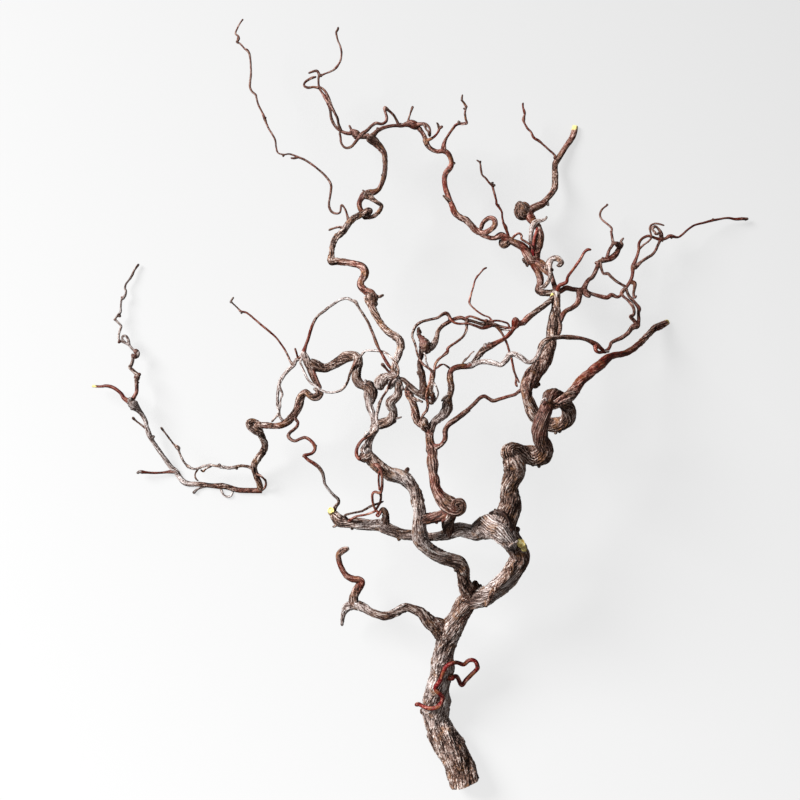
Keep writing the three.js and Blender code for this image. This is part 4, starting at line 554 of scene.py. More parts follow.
# %% Long limb to the top left
MIDDLE = {
"curl_limb": """
curl_limb: from left_limb_upper; rise 62 64 66 66 66
  375.5 426 4, 383 423.5 5, 389 421.5 4.8, 392.5 417 4.8, 393.3 411 3.8, 391 406 4.5, 390.5 402 4.8,
  394.5 398.5 4.3, 397.8 394.5 4, 398.5 389 3.8, 398.5 383.5 4.4, 398 379 3.4
curl_horn: from curl_limb; rise 66 67
  397 382 3.6, 393.5 383 3.3, 391 386.5 2.2, 389.8 389.5 1.2
curl_spur: from curl_limb; rise 67
  399.5 384 3, 402.5 388.5 2, 404.8 389.3 1.1""",
"top_limb_lower": """
top_limb_lower: from curl_limb; rise 64 62 60 57 53 50
  398 381 3.2, 394.3 373 2.9, 393.8 367 2.8, 396 361 2.8, 398.5 355 3.5, 400 350 3.3, 400.7 345 3.7,
  399 340 3.8, 394.5 335.8 3.7, 388 331.5 3.4, 382 325 3, 377.5 318 3, 374 312 3.2, 372.3 306.5 4,
  371.3 301 6.5, 371.5 297 7.5, 370 292.5 5.2
gall_twig: from top_limb_lower; rise 63 63
  394 376 2.4, 390 376 2.6, 386.5 377 4, 382.5 380 6, 380.8 383.5 6.6, 381 387 5.4, 382.3 390 2.8""",
"top_limb_upper": """
top_limb_upper: from top_limb_lower; rise 48 46 44 43 42 41 40
  370.5 294 4.6, 365.5 290.5 3.5, 361 286.5 3.2, 361 281.5 3.3, 363.5 277 3.6, 364.8 272 3.9,
  362.5 267 3.5, 357 264.5 3.2, 350 263 3, 343 262 3.2, 336 261.5 3.2, 331.3 261 3.7, 331.5 255.5 2.8,
  332.2 249.5 2.6, 333 244 2.6, 335.5 238.5 2.8, 340 234 3, 343.5 230.5 3.3, 346.5 226 3.2,
  350 221.5 2.8, 355 217.5 3.2, 361 214.7 3.4, 367 212 4, 372.3 209.5 4.4""",
"long_twig": """
long_twig: from top_limb_upper; rise 40 39 38 37 36 35 34 33 32 31
  349 222 1.6, 347.5 216.5 1, 345.3 209.5 0.9, 341.5 205 0.8, 340 212.3 0.9, 336 213.5 0.9, 332 212 1.1,
  329.5 208 1.1, 329 203 1, 330 197 1, 331 190 1.1, 331 185 1.1, 329 180.5 1.1, 324.5 175 1,
  319 170 0.9, 312 164.5 0.9, 305 160 1, 299 157.5 1, 294 155.3 0.8, 289 154 0.7, 284 154.5 0.6,
  279 153.5 0.6, 277 151 0.7, 276 146 0.7, 275.3 140.5 0.8, 273 135.5 0.8, 269 129 0.8, 266.5 123.5 0.9,
  264.5 118 1.4, 262 112 0.8, 258.5 105 0.8, 256.5 98 0.8, 255.7 94.8 0.9, 252 91.5 0.9, 250 87 0.9,
  250.2 81 0.9, 251 74 0.9, 250.8 66 0.8, 250.3 59 0.8, 249.3 53.5 0.9, 247.3 50.3 1.2, 244.5 48.5 0.7,
  241 44.5 0.7, 237.8 42 0.8, 238.5 38.5 1.4, 238 36 0.9, 235.5 33.5 0.7, 237.5 28 0.6, 240.5 22.5 0.6,
  243.2 19 0.7""",
}
note_down(MIDDLE)

# %% [markdown]
# ## The left side and the middle
# A strap-like coil hooks into the pale limb. An arm hangs from it, turns a corner and ends in a
# bow of its own, while fine twigs arch over the middle.

# %% Left side and the middle
LEFT = {
"strap_coil": """
strap_coil: rise 42 41 40 39 38 37
  303.5 350.5 1.8, 304 354.5 3.2, 306.3 359.5 3.6, 308.8 365 3.7, 311 370.5 3.6, 313 375.5 3.3,
  315 380.5 2.7, 316.8 385 2, 318.8 389 2, 321 393 2.3, 318.5 397.5 2.4, 313.5 398.3 2.4, 308 394.5 2.6
strap_side_branch: from strap_coil; rise 41 40 39 38 36 34
  304 355.5 2, 296.5 360 1.6, 294 365 1.8, 290.5 368 1.8, 287 371.5 1.8, 283 376.5 1.7, 280 382 1.6,
  278.5 388 1.5, 277.8 394 1.3, 277.5 400 1.3, 278.5 406 2, 279 411 1.4, 278.5 414 1.2, 275 418 0.9,
  271.5 422 0.9
left_thin_twig: from strap_side_branch; rise 42 44 46 48 50
  294 366 1.4, 290.5 361.5 1, 288.5 357 0.9, 285 350 0.8, 281 344 0.8, 276 337.5 0.8, 270 332 0.9,
  262 325.5 0.9, 255 319.5 0.8, 247 313 0.8, 241 311.5 1, 238.5 309 0.7, 235 305.5 0.6, 231.5 301.5 0.7,
  233.7 297 0.9""",
"pale_limb": """
pale_limb: from left_limb_upper; to strap_coil; rise 58 55 51 48 44 40
  375.5 426 3.6, 373.5 418 2.9, 372 412.5 3.2, 369.5 407 3.4, 368.7 401 3.4, 367.5 395 3.8, 367 389 3,
  364 386.3 3.8, 360 384 4.5, 357 379.5 4.6, 356.3 374 4.5, 356.7 368.5 4.6, 358 363 4.7, 358 358.5 4.2,
  355 356 4.2, 350 356.3 5, 345 357.7 5.3, 340 360.5 5, 335 363.5 4.6, 330 366.5 4.1, 325 368.3 4.1,
  320 367.3 4.8, 315 365.3 5.3, 309.5 362.5 4.4
pale_side_strand: from pale_limb; to pale_limb; rise 52 54 55
  364.5 382.5 2.6, 369 385 3.4, 372.5 389 4, 373.8 394 3.8, 373 398.5 3, 371 403 2.6
pale_spur: from pale_limb; over 2.5 3
  366.5 385 1.8, 365.8 381.5 1.3, 365 379.3 0.9""",
"left_arm": """
left_arm: from strap_coil; end hollow; rise 35 33 30 28 26 24
  311 396.5 2.8, 305.5 392.5 3.2, 302 395.5 3.8, 300 400 4, 299 405 3.8, 296.8 410.5 3.6, 293 416 3.5,
  288 421.3 3.6, 282 424.8 3.3, 275.5 426 2.9, 268 425.5 3, 262 425.5 3.1, 257 426.5 3, 254 426 2.6""",
"corner_limb": """
corner_limb: from left_arm; rise 19 13 6 0
  258 426 4, 260.5 433.5 3.2, 263.3 440 3.1, 264.8 446 3.1, 262.5 452.5 3.3, 258.5 458 3.4, 255 463.5 3,
  254.3 469 2.7, 256 475 2.7, 258.3 481 2.8, 260 486.5 2.8, 260.5 492 2.5
corner_long_twig: from corner_limb; rise 11 12 13 14 15 16
  255 468.5 1.6, 247 466.5 1.3, 241 465.8 1.3, 235 467 1.5, 228 468 1.4, 221 466.5 1.5, 216 466 1.1,
  210 465 1, 204 466 0.9, 199 468 0.9, 194 469 0.9, 189.5 467.5 1.2, 185 463.5 0.9, 181.5 457.5 0.8,
  179 451 1, 178 448 2, 174 444.5 0.7, 169 438 0.7, 164 431.5 0.7, 162 428.8 1.3""",
"lower_left_limb": """
lower_left_limb: rise 0 0 0 1 6 10 14
  262 490.5 2.6, 250 490.5 2.5, 240 490.3 2.5, 234 489 2.5, 229 487.5 2.6, 223 486 2.8, 218 486 2.6,
  211 485.5 2.3, 203 484.7 2.3, 196 484.2 2.3, 190 484 2.4, 185 482.5 2.5, 181 479 2.4, 178.3 475 2.5,
  176 471.3 2.7, 172 468 2.3, 168 463 2.2, 163 456 2, 158 449 1.9, 153 441.5 1.9, 149.3 434.8 2.4,
  147 428 2, 145.5 421 1.9, 142.3 415 2, 138.5 410.3 2.7, 135 406.5 4, 131.5 402.5 4.2, 129.5 399.5 3
lower_left_side: from lower_left_limb; rise 3 5
  175 471.5 1.8, 165 472.3 1.1, 156 473 1, 147 472.5 1.1, 140 471.8 1.9
left_red_twig: from lower_left_limb; end fresh; rise 12 10 8
  132 403 2.8, 128 401 2.5, 124 398 2, 121.5 394 1.6, 117 390 1.5, 112 387 1.5, 106 385.8 1.4,
  100 386.5 1.1, 92.5 386 1""",
"left_chain": """
left_chain: from lower_left_limb; rise 12 11 9 8 7 6 5 4 3 2
  132 402 2.4, 134 397 1.8, 136.3 393 1.8, 136.8 388 1.7, 136.5 383 1.8, 136.5 379 2, 137.5 375.5 2.2,
  134 371.5 1.6, 130 367.5 1.6, 131.3 365 1.5, 132.7 361 1.4, 133.5 357 1.7, 137 356 2, 138 352.5 1.5,
  133 349.5 1.2, 128.5 344.5 1.1, 121.5 341.5 0.9, 119 339 0.9, 119 334 0.9, 120.5 329 0.9,
  121 325.5 0.9, 116 320.5 1, 115.5 318.5 0.9, 118 315 1, 120.5 312 1, 120.8 306 0.8, 121.5 300 0.9,
  123 298 1.6, 125.5 294.8 0.9, 126 291 0.9, 125 288 0.9, 126 284 0.8, 129 280 0.8, 132 275.5 1,
  134.5 270 0.9, 139 263.8 1.1
left_chain_spur: from left_chain; rise 7
  129 345 1.1, 128.3 340 1.2, 126 336.2 1.1, 122.8 336.3 1, 122.3 339 0.9, 125 342 1, 127.5 345 1""",
"arch_twig": """
arch_twig: from strap_coil; to top_limb_lower; rise 44 47 50 53 56 59 62
  303.8 352 1.6, 306 345 1.4, 308.5 338 1.4, 310.5 331 1.4, 312.5 325 1.3, 315.5 319 1.2, 319 315 1.1,
  325 310.5 1.3, 328.5 307.5 1.3, 335 303 1.1, 341 299.5 1.2, 347.5 298.5 1.3, 352 300.5 1.3,
  355.5 302 1.8, 358.5 307 1.1, 363 314 1.1, 367.5 321 1.1, 370.5 328 1.2, 373.5 335 1.3, 376 342 1.5,
  379 349 1.2, 382 354 1.2, 385 359.5 1.4, 388 364.5 1.5, 391 368.5 1.3, 394 373 1.4""",
"squiggle_twig": """
squiggle_twig: from left_arm; to crossing_branch; rise 35 39 42 43 43 42 40
  294 414.5 1.4, 296 419.5 1.2, 298 422.5 1.3, 297 426.5 1.4, 294 429.5 1.4, 290 432.5 1.5,
  288.3 436 1.6, 291 439.5 1.5, 295 441 1.4, 300 439 1.4, 305 437.5 1.4, 310 440 1.5, 314 444.5 1.6,
  315 449 1.5, 312.5 453 1.5, 308.5 454.5 1.5, 304.5 455.5 1.4, 308.5 460 1.6, 314 463.5 1.7,
  319 467.5 1.7, 322.5 473 1.6, 324 479 1.4, 325 484 1.2, 329 490 1.2, 333.5 495 1.3, 338 499 1.4,
  338.5 503 1.4, 336 506 1.8, 334 511 1.8""",
"red_loop_twig": """
red_loop_twig: from left_limb_upper; to crossing_branch; rise 70 71 70 68 66 65 63 60 58 56 54 52 50 47
  372 466.5 1.3, 374.5 464.8 1.4, 377.8 465.7 1.5, 380.3 469 1.5, 381.7 473.5 1.4, 382.2 480 1.3,
  382 487 1.3, 380.3 492.8 1.3, 375 491.8 1.2, 372.5 494.3 1.1, 372.5 500 1.1, 373.7 506 1,
  375.5 510.3 1.1, 371 513 0.9, 364 515 0.9, 357 516.3 1, 352 519 1.3, 348 521.5 1.5
red_loop_strand: from red_loop_twig; to red_loop_twig; rise 59 56
  380.5 492.5 1.1, 381 498 1, 379.8 503 1, 377.3 507.5 1, 375.5 510.3 1""",
"middle_limb": """
middle_arm: from curl_limb; rise 68 69 69
  399 380 1.8, 403 379.5 1.7, 407 383 2, 410 386 2.5, 414 390 3, 419 393.5 3.4, 424 395.5 3.8,
  428.5 400 2.2
middle_limb: from middle_arm; rise 67 66 65 64 63
  425 396 3.5, 424 390 3.4, 423 384 3, 422.5 378 2.9, 421.5 372.5 3.2, 419.8 367 2.8, 419.3 362 2.1,
  420.8 357.5 2.2, 421.5 353 3, 425 348.3 6.2, 424 342.5 4.5, 421.7 338.5 2.5, 419.4 335.5 1.8,
  418.3 331.5 1.5, 419 327 1.1
middle_ball: from middle_arm; rise 68
  428 399.5 2.4, 431.5 402.3 3, 433.5 404 2""",
"double_arch": """
double_arch: from rising_branch; to middle_limb; rise 50 52 54 56 58 60 62
  512.5 330 1.6, 505 327.5 1.1, 500 326.5 1.3, 494 325 2, 487 324.8 2.5, 480 323.5 1.5, 472 321 1.3,
  467 320 1.6, 461 317.8 1.8, 455 319 1.8, 448.5 322 1.9, 442 326.5 1.9, 438 331.5 2, 437 337 2.3,
  434.5 343 3, 430 347.5 4, 425 347.5 4.5
arc_loop: from double_arch; rise 61 63 65 68 71 72 72
  450.5 320.5 1.4, 449 315.8 1.5, 446 313.3 1.8, 442 314.8 1.5, 437.5 317.8 1.2, 430 319.5 1.2,
  422 321.7 1.2, 417 324.8 1.3, 413.8 330 1.2, 412.3 336 1, 414 341 0.9, 416 347 0.9, 417 353 0.9,
  420 360 1, 424 365 1, 429 368.5 1.2, 432 371.5 1.5, 433 377 1.6, 432.3 383 1.7, 431.3 389 1.7,
  432 394 1.8
arch_long_twig: from double_arch; rise 51 49 46 43
  494 324 1.2, 489.5 317.8 0.7, 483 315 0.7, 477 311 0.7, 471.5 306 0.7, 469.5 302.5 1, 470 299 1,
  471.5 293 0.7, 473.3 287 0.7, 475 280.5 0.7, 477 276.8 0.9, 479.5 274 0.6, 483.5 269.3 0.7,
  487 267.5 0.8
arch_low_twig: from double_arch; rise 51 51 51 51
  496 326 1.3, 501 332 1.1, 504.5 338 1, 507.5 345 1, 509.3 351.5 1, 511.5 358 1, 512.7 364 1,
  514 371 1, 516.3 377.5 1, 515.8 383 1.1, 517.5 387 0.8""",
"cross_twig": """
cross_twig: from coil_limb; to upper_right_limb; rise 67 65 62 59 56 55
  430.5 448.5 1.6, 435 446.2 1.5, 440 445.3 1.7, 443.8 441.5 1.9, 445 436.5 1.9, 444.5 431 1.9,
  446.5 427 2.1, 449.5 423.5 2.4, 454 420 2.1, 460.5 415 1.9, 468 409.5 1.9, 475 403 1.8, 480 398 1.8,
  484.5 396.3 1.8, 489 398.8 1.7, 493.5 400.7 1.8, 500 399 1.6, 508 396.5 1.5, 515 394.5 1.5,
  519 391.5 1.7, 526 388 2.2""",
}
note_down(LEFT)

# %% [markdown]
# ## Thin strands that go with the limbs
# Besides its limbs the branch has strands that run beside them, cling to them or tie them together.
# A strand can name the limb that it lies on, and then its height follows that limb's surface. The
# longest one is a pale vine-like twig that winds from the strap on the left over the curl in the
# middle and down to the crook of the left limb.

# %% Strands on the thick limbs
STEM_STRANDS = {
"trunk": """
stem_splinter: on trunk
  427 705 0.8, 431 699 1.2, 434 695 1.2, 436.5 692 0.8""",
"right_limb": """
swelling: from right_limb; over 2.5 3 3.5 3 1
  486 524.5 6, 492.5 524 9, 498.5 528 10.6, 505 536 9.8, 510 543.5 7.6, 513.5 550 5.4
saw_stub: from right_limb; over 4.5 7.6; end fresh
  517 547 3.3, 519.8 544.3 3, 521 543.2 3
torn_stub: from right_limb; over 4.5 6.9; end fresh
  518 550.8 2.8, 522.3 548.4 2.6, 523.8 547.6 2.6
torn_bark: on swelling
  509 547 0.8, 512 544 0.8, 515 543 0.8, 517.5 540.5 0.7
crust_collar: on swelling right_limb
  490.5 514 1.2, 495 512 1.7, 500 511.8 1.9, 504.5 514.5 2, 508 519.5 2, 510.5 526 1.7, 512.5 532 1.2
fork_ridge: on right_limb
  486 606 1.5, 492 594 3, 499 584 3, 508 576 2.6, 514 562 1.6""",
"s_bend": """
torn_patch: on s_bend top_loop
  541 403.5 0.8, 542.5 400.5 1.1, 545.5 398.5 1, 546.5 401.5 0.8""",
"bulb_limb": """
ring_thorn: on bulb_limb
  362.8 190.2 0.7, 366 194 0.9, 369.5 198.5 0.7""",
"low_left_branch": """
low_strip: on low_left_branch
  393 610.5 0.7, 399 607.5 0.8, 405 604.5 0.7""",
"left_limb_upper": """
pale_lump: from left_limb_upper; over 2 3 2
  369 454 3, 366 452 3, 363.5 449.5 2.4, 366 443.5 1.6
crook_strand: from left_limb_upper; over 3 4
  371 438 1, 367.5 432.5 1, 364 437.5 1""",
"crossing_branch": """
crossing_spur: from crossing_branch; over 1 0
  337 521 2, 336 525.4 0.9, 332.5 527 0.9""",
"coil_limb": """
coil_top: from coil_limb; rise 66
  443 497.5 4.6, 449 501 4.2, 454 502 4.2, 458 502.5 3.8
coil_ear: from coil_core; over 1
  455 512 4, 447 520 2.4, 443 521 1.2
coil_pale_bud: from coil_root; over 2.5
  444.5 516 1.2, 446 514 1.5""",
"fork_left_limb": """
fork_spur: from fork_left_limb; over 2 2
  412 397 1.8, 417 400 1.2, 420 400.8 0.9, 423 402.5 1.3""",
"fork_right_limb": """
pale_stitch: from fork_right_limb; over 2 2
  449 397 1.2, 445.5 396.7 1, 441.5 401.5 0.9""",
"cross_twig": """
cross_strand: from coil_limb; to cross_twig; rise 68 66 63 61
  431 450 1.1, 437 448.2 1.1, 442.5 444.5 1.2, 446.5 438.5 1.2, 446.6 431 1.2, 449 426 1.3,
  454.5 422 1.3, 462 416.5 1.2, 470 410 1""",
}
note_down(STEM_STRANDS)

# %% Strands on the right and at the top
RIGHT_STRANDS = {
"rising_branch": """
hair_twig: from rising_branch; over 2 4 5
  464 366 1, 463 364 0.7, 465.3 359.8 1, 468.5 357 0.5, 471 353.5 0.4, 474.5 351 0.4""",
"far_right_twig": """
inner_loop: from far_right_twig; to right_curl; rise 21 21
  639 249.5 0.8, 643.5 245 0.8, 648.5 241.3 0.8, 651.3 237.5 0.8, 650.5 232 0.8, 649.5 228.5 0.8
inner_curl: from right_curl; over 2 3 2
  654.8 226.3 1, 652.3 229 1, 654.5 231.8 1, 656 234 1.2, 660 233 1.1""",
"gall_branch": """
gall_bridge: from gall_high_twig; to gall_branch; rise 22
  612.7 243 1.3, 616 243.6 1.6, 620.5 245.5 1.6""",
"burl_strands": """
torn_bud: from left_strand; over 2.6; end fresh
  552.3 294.3 1.3, 552.8 296.3 1.3
pale_curl: from left_strand; rise 33 36 38 37 35
  539.5 289.3 1.5, 544 286.5 1.7, 548 282 1.8, 550.3 276.5 1.8, 550.5 270 1.8, 550.5 264 1.8,
  552.5 259.5 1.8""",
"lens_strands": """
lens_middle: from lens_right; to burl; rise 26 27.5 28
  538.5 226 1, 537 230 1.2, 534.6 238 1.3, 533.2 246 1.4, 533 253 1.4, 535 259.5 1.4
lens_link: from lens_right; over 3 2
  537.5 245 1, 534.8 248 0.9, 536 253 1, 540.5 251 1.2
lens_top_twig: from lens_left; over 2.5 3 4
  532.7 228 2.2, 534.2 223.8 2.3, 537 221.4 2, 540.5 220.8 1.5, 544 219.8 1.1, 546 218.3 1,
  546.8 216 1.1""",
"yellow_tip_branch": """
yellow_pale_spur: from yellow_tip_branch; over 1
  546 200.5 1.8, 548.8 206 0.8""",
"chain_left": """
chain_loop: from chain_left; to burl; rise 31 31 30 29
  511 239 1, 515 235.5 0.9, 519 233.4 0.9, 521.5 236 1, 521.5 239 1, 525 241.3 1, 530 244.8 1.1,
  532.5 247.5 1.2, 533 254 1.2""",
"chain_limb": """
chain_spur: from chain_limb; over 2 3
  449.8 202 1.8, 446 198 1.1, 443 195 0.5
chain_bud_twig: from chain_mid_twig; over 1 2
  439 128.5 1, 438 124.5 0.9, 436.5 122.5 0.6""",
"top_arm": """
arm_spur: from top_arm; over 2 4
  408 124 1.4, 408.7 119 0.8, 410.5 113 0.7, 413 106 1.3
arm_curl: from top_knot_loop; over 1 1
  424 124.5 1.2, 426 129 0.8, 428.5 132 0.9, 429 136 1.4""",
"double_strand_twig": """
second_strand: from double_strand_twig; to double_strand_twig; rise 36 35 34 32
  341 131 1.2, 338.5 124 1.2, 337.5 118.5 1.2, 334.5 112.5 1.2, 331.7 107 1.4, 329.6 101 1.4,
  327 94.5 1.2, 323.8 89.7 1, 319.5 87 0.9
hook_end: from strand_hook; over 1 1
  309.5 79 1.1, 312.5 77.7 1.2, 316.5 76.7 0.8""",
}
note_down(RIGHT_STRANDS)

# %% Strands on the left and in the middle
LEFT_STRANDS = {
"pale_limb": """
pale_knot: from pale_limb; over 1.5 2.5 2
  364.5 384 3, 368 386.5 4.2, 371 391 4.8, 372 395.5 4.4, 371 400 3
winding_vine: from strap_coil; rise 43.5 44 45 50 53.5 56 61 67.5 69.5 64 62 63.5 65 66.5
  299 357 1, 300.3 361.5 0.9, 301.8 366 0.9, 304.2 372 1, 307.3 378.5 1, 311 383 1.1, 315.5 385.5 1.1,
  319 388.5 1.1, 324 391.5 1, 330 392.5 1, 338 391.5 1, 344 387.5 1.1, 348 381 1.1, 350.3 373 1.2,
  354.5 364 1.3, 358 358.5 1.3, 361 355.5 1.2, 365.5 351 1, 372 350.5 1, 379 351 1, 385 352.5 1.1,
  390 356.5 1.1, 395 361.5 1.1, 398 368 1.1, 398.5 372 1.1, 397.5 375.5 1.1, 394 378 1.1,
  390.5 381.5 1.1, 388.5 387 1.1, 386 392 1.1, 382 398 1.1, 379.5 404 1.5, 378 410 1.5, 376.5 416 1.5,
  377 425 1.6, 375.8 431 1.6, 371 434.5 1.5, 366 437.5 1.4, 361.5 441 1.4, 358 446 1.5, 356.5 451 1.6,
  357 456 1.6, 361 460.5 1.7""",
"curl_limb": """
curl_thorn: from curl_limb; over 3 3.5
  383 421 1, 390 419.8 1.1, 396 418.7 0.9, 402 416.8 0.6""",
"strap_coil": """
strap_eye: from strap_coil; over 1 2 2 1.5
  307 392 1.8, 310 394.8 2, 314 396 2.2, 317.3 394 2.1, 317 390.5 1.8, 313.5 388.5 1.3
strap_edge: on strap_coil
  313.5 370 1.2, 317.3 380 1.3, 321.3 388.5 1
strap_top_twig: from strap_coil; over 1 2
  303 356 1.4, 298.5 358 0.9, 296.5 353 0.9, 294.8 348 1
strap_low_twig: from strap_side_branch; over 1 1
  279.5 386 0.9, 282.5 394 0.9, 281 398 0.7, 280.3 403 0.7, 280.5 408 0.9
strap_fork: from strap_side_branch; over 1
  279 413 1.1, 280.5 418 1.1, 283.5 421 1.2""",
"corner_limb": """
corner_heel: from corner_limb; over 1.5 2 2 1.5
  260 432 3.4, 254.5 429.2 3.5, 250.3 426 3.4, 249.3 422.8 3, 252 421 2.6, 256 421.6 2.2, 259 423.2 1.8
corner_loop: from corner_limb; to corner_limb; rise 10 6
  256 472 0.9, 262 477 0.9, 265.5 481 0.9, 266 484.5 1, 264.5 488 1, 261.5 490.5 1
corner_strand: from corner_long_twig; over 1 1
  212 466 0.7, 206 469 0.6, 203 471.3 0.7, 200.5 469.6 0.6
corner_curl: from corner_long_twig; over -1 -2 -2
  199 468.6 0.7, 196 472 0.6, 195 475.5 0.6, 196 479 0.6, 198.5 480.8 0.7""",
"lower_left_limb": """
upper_left_twig: from lower_left_limb; over 1 2
  147.5 430 0.9, 140 424 0.7, 135 420 0.9, 132.3 417 2
under_twig: from lower_left_limb; over 1 1
  209 485.5 1, 200 488 0.9, 196 490.5 1, 193 493.5 2
under_loop: from lower_left_limb; to lower_left_limb; rise 1 1
  220 486 1, 223 494 0.9, 226.5 496.8 0.9, 230.5 496 0.9, 232.5 493 0.8, 232.5 489 0.9""",
"red_loop_twig": """
second_tip: from red_loop_strand; over 1
  378.3 504.5 0.8, 381 502.5 0.7, 383.7 501.2 0.6
inner_red: on red_loop_twig
  379 472 0.9, 378.7 481 0.9, 379.5 490.5 0.9
second_loop: from red_loop_strand; to crossing_branch; rise 56 53 49 45
  381 499 0.8, 379.5 502.8 0.9, 373.5 505 1, 368 507.7 1, 362 511 0.9, 353 513 0.9, 345 515.3 1,
  346.5 518.5 1.3, 348 522.5 1.4
red_hook: from red_loop_twig; over 1 2 1
  375.5 510.3 0.9, 378.3 512.5 0.8, 376.3 515 0.7, 378.3 516.4 0.7, 380.2 513.5 0.7, 381.5 510.5 1""",
"arch_twig": """
arch_knot_twig: from arch_twig; over 1 2 2.5
  392.5 371.5 1.3, 389 371.5 1.1, 386 368.5 1.1, 383.3 365.3 1.6, 381.3 363.3 2.2""",
"middle_limb": """
middle_vine: from double_arch; rise 60 63 66 69 71 71 70
  466.5 320 1.4, 466.7 325 1.1, 466 331 1.1, 463 336.5 1.1, 458 341 1.1, 452 345 1.1, 448 348.3 1.2,
  447.3 352 1.6, 443 355.8 1.2, 438.5 359.5 1.2, 435.5 364 1.2, 434.5 369 1.2, 434 375 1.3,
  432.5 382 1.3, 430 390 1.3, 428 397 1.3
down_vine: from arc_loop; to fork_right_limb; rise 72 71 70 68 66
  431.5 372 1, 431 376 1.1, 430 383 1.3, 427.5 390 1.3, 426.5 396 1.3, 427.5 401 1.3, 427.7 406.5 1.4,
  426.3 411 1.3, 423.5 414.5 1.2, 421.3 419 1, 420.5 425 0.9, 424 429 0.9
eye_buds: from middle_ball; over 2 3 3
  431.5 401.5 2, 433.3 398.5 2.2, 432.6 395 2.3, 434.5 392.7 1.4
inside_twig: from middle_limb; rise 69 71 72
  423.5 351 0.8, 425.5 356 0.6, 426 361 0.6, 428.5 367 0.7
eye_loop: from arc_loop; to middle_arm; rise 73 73 71
  432.5 381 0.6, 436.5 387 0.6, 438 392 0.7, 437.5 397 0.7, 434 402 0.8
mid_hair: from middle_vine; over 1 0 -1 -3
  435 369 0.8, 437.5 367.3 0.8, 440 365.3 1.1, 443.5 364.3 0.5, 447 366.2 0.9, 450 368.5 0.6""",
"double_arch": """
arch_top_strand: from double_arch; to double_arch; rise 53 55 57 59
  510 328 1, 508 323.8 0.8, 503 321.7 0.8, 497 320.6 0.9, 490 321.3 1.1, 483 320.6 1, 477 318.4 1,
  470 316.3 1, 465 318.5 1.4
arch_low_strand: from double_arch; to arc_loop; rise 54 56 58 60
  492 326 1.4, 483 328 1.5, 476 326 1.2, 468 323.5 1, 459 323.8 1, 453 321.7 1.1, 449.5 317 1.2
arch_pale_strand: on double_arch
  511 330 0.9, 504 329.8 0.8, 497 328.8 0.9
low_twig_fork: from arch_low_twig; over 1
  516.3 377.5 0.9, 519.5 383 0.6""",
"top_limb_upper": """
step_twig: from top_limb_upper; over 1 2
  345 228.5 1.2, 339 227 0.9, 334 228.3 0.8, 328.5 230.3 0.9""",
"top_limb_lower": """
gall_spur: from top_limb_lower; over 1 1
  373 297.5 2, 379.5 296.5 1, 384 294.8 1.1""",
"long_twig": """
long_twig_bud: from long_twig; over 0.5
  298 157 0.9, 294 158.3 0.9, 290.5 157.8 0.8""",
}
note_down(LEFT_STRANDS)

# %% [markdown]
# ## Knots
# Short knots stand where buds and side twigs have died back. Only the tip of each is written down:
# the knot grows out of the nearest limb of its part, towards that tip.

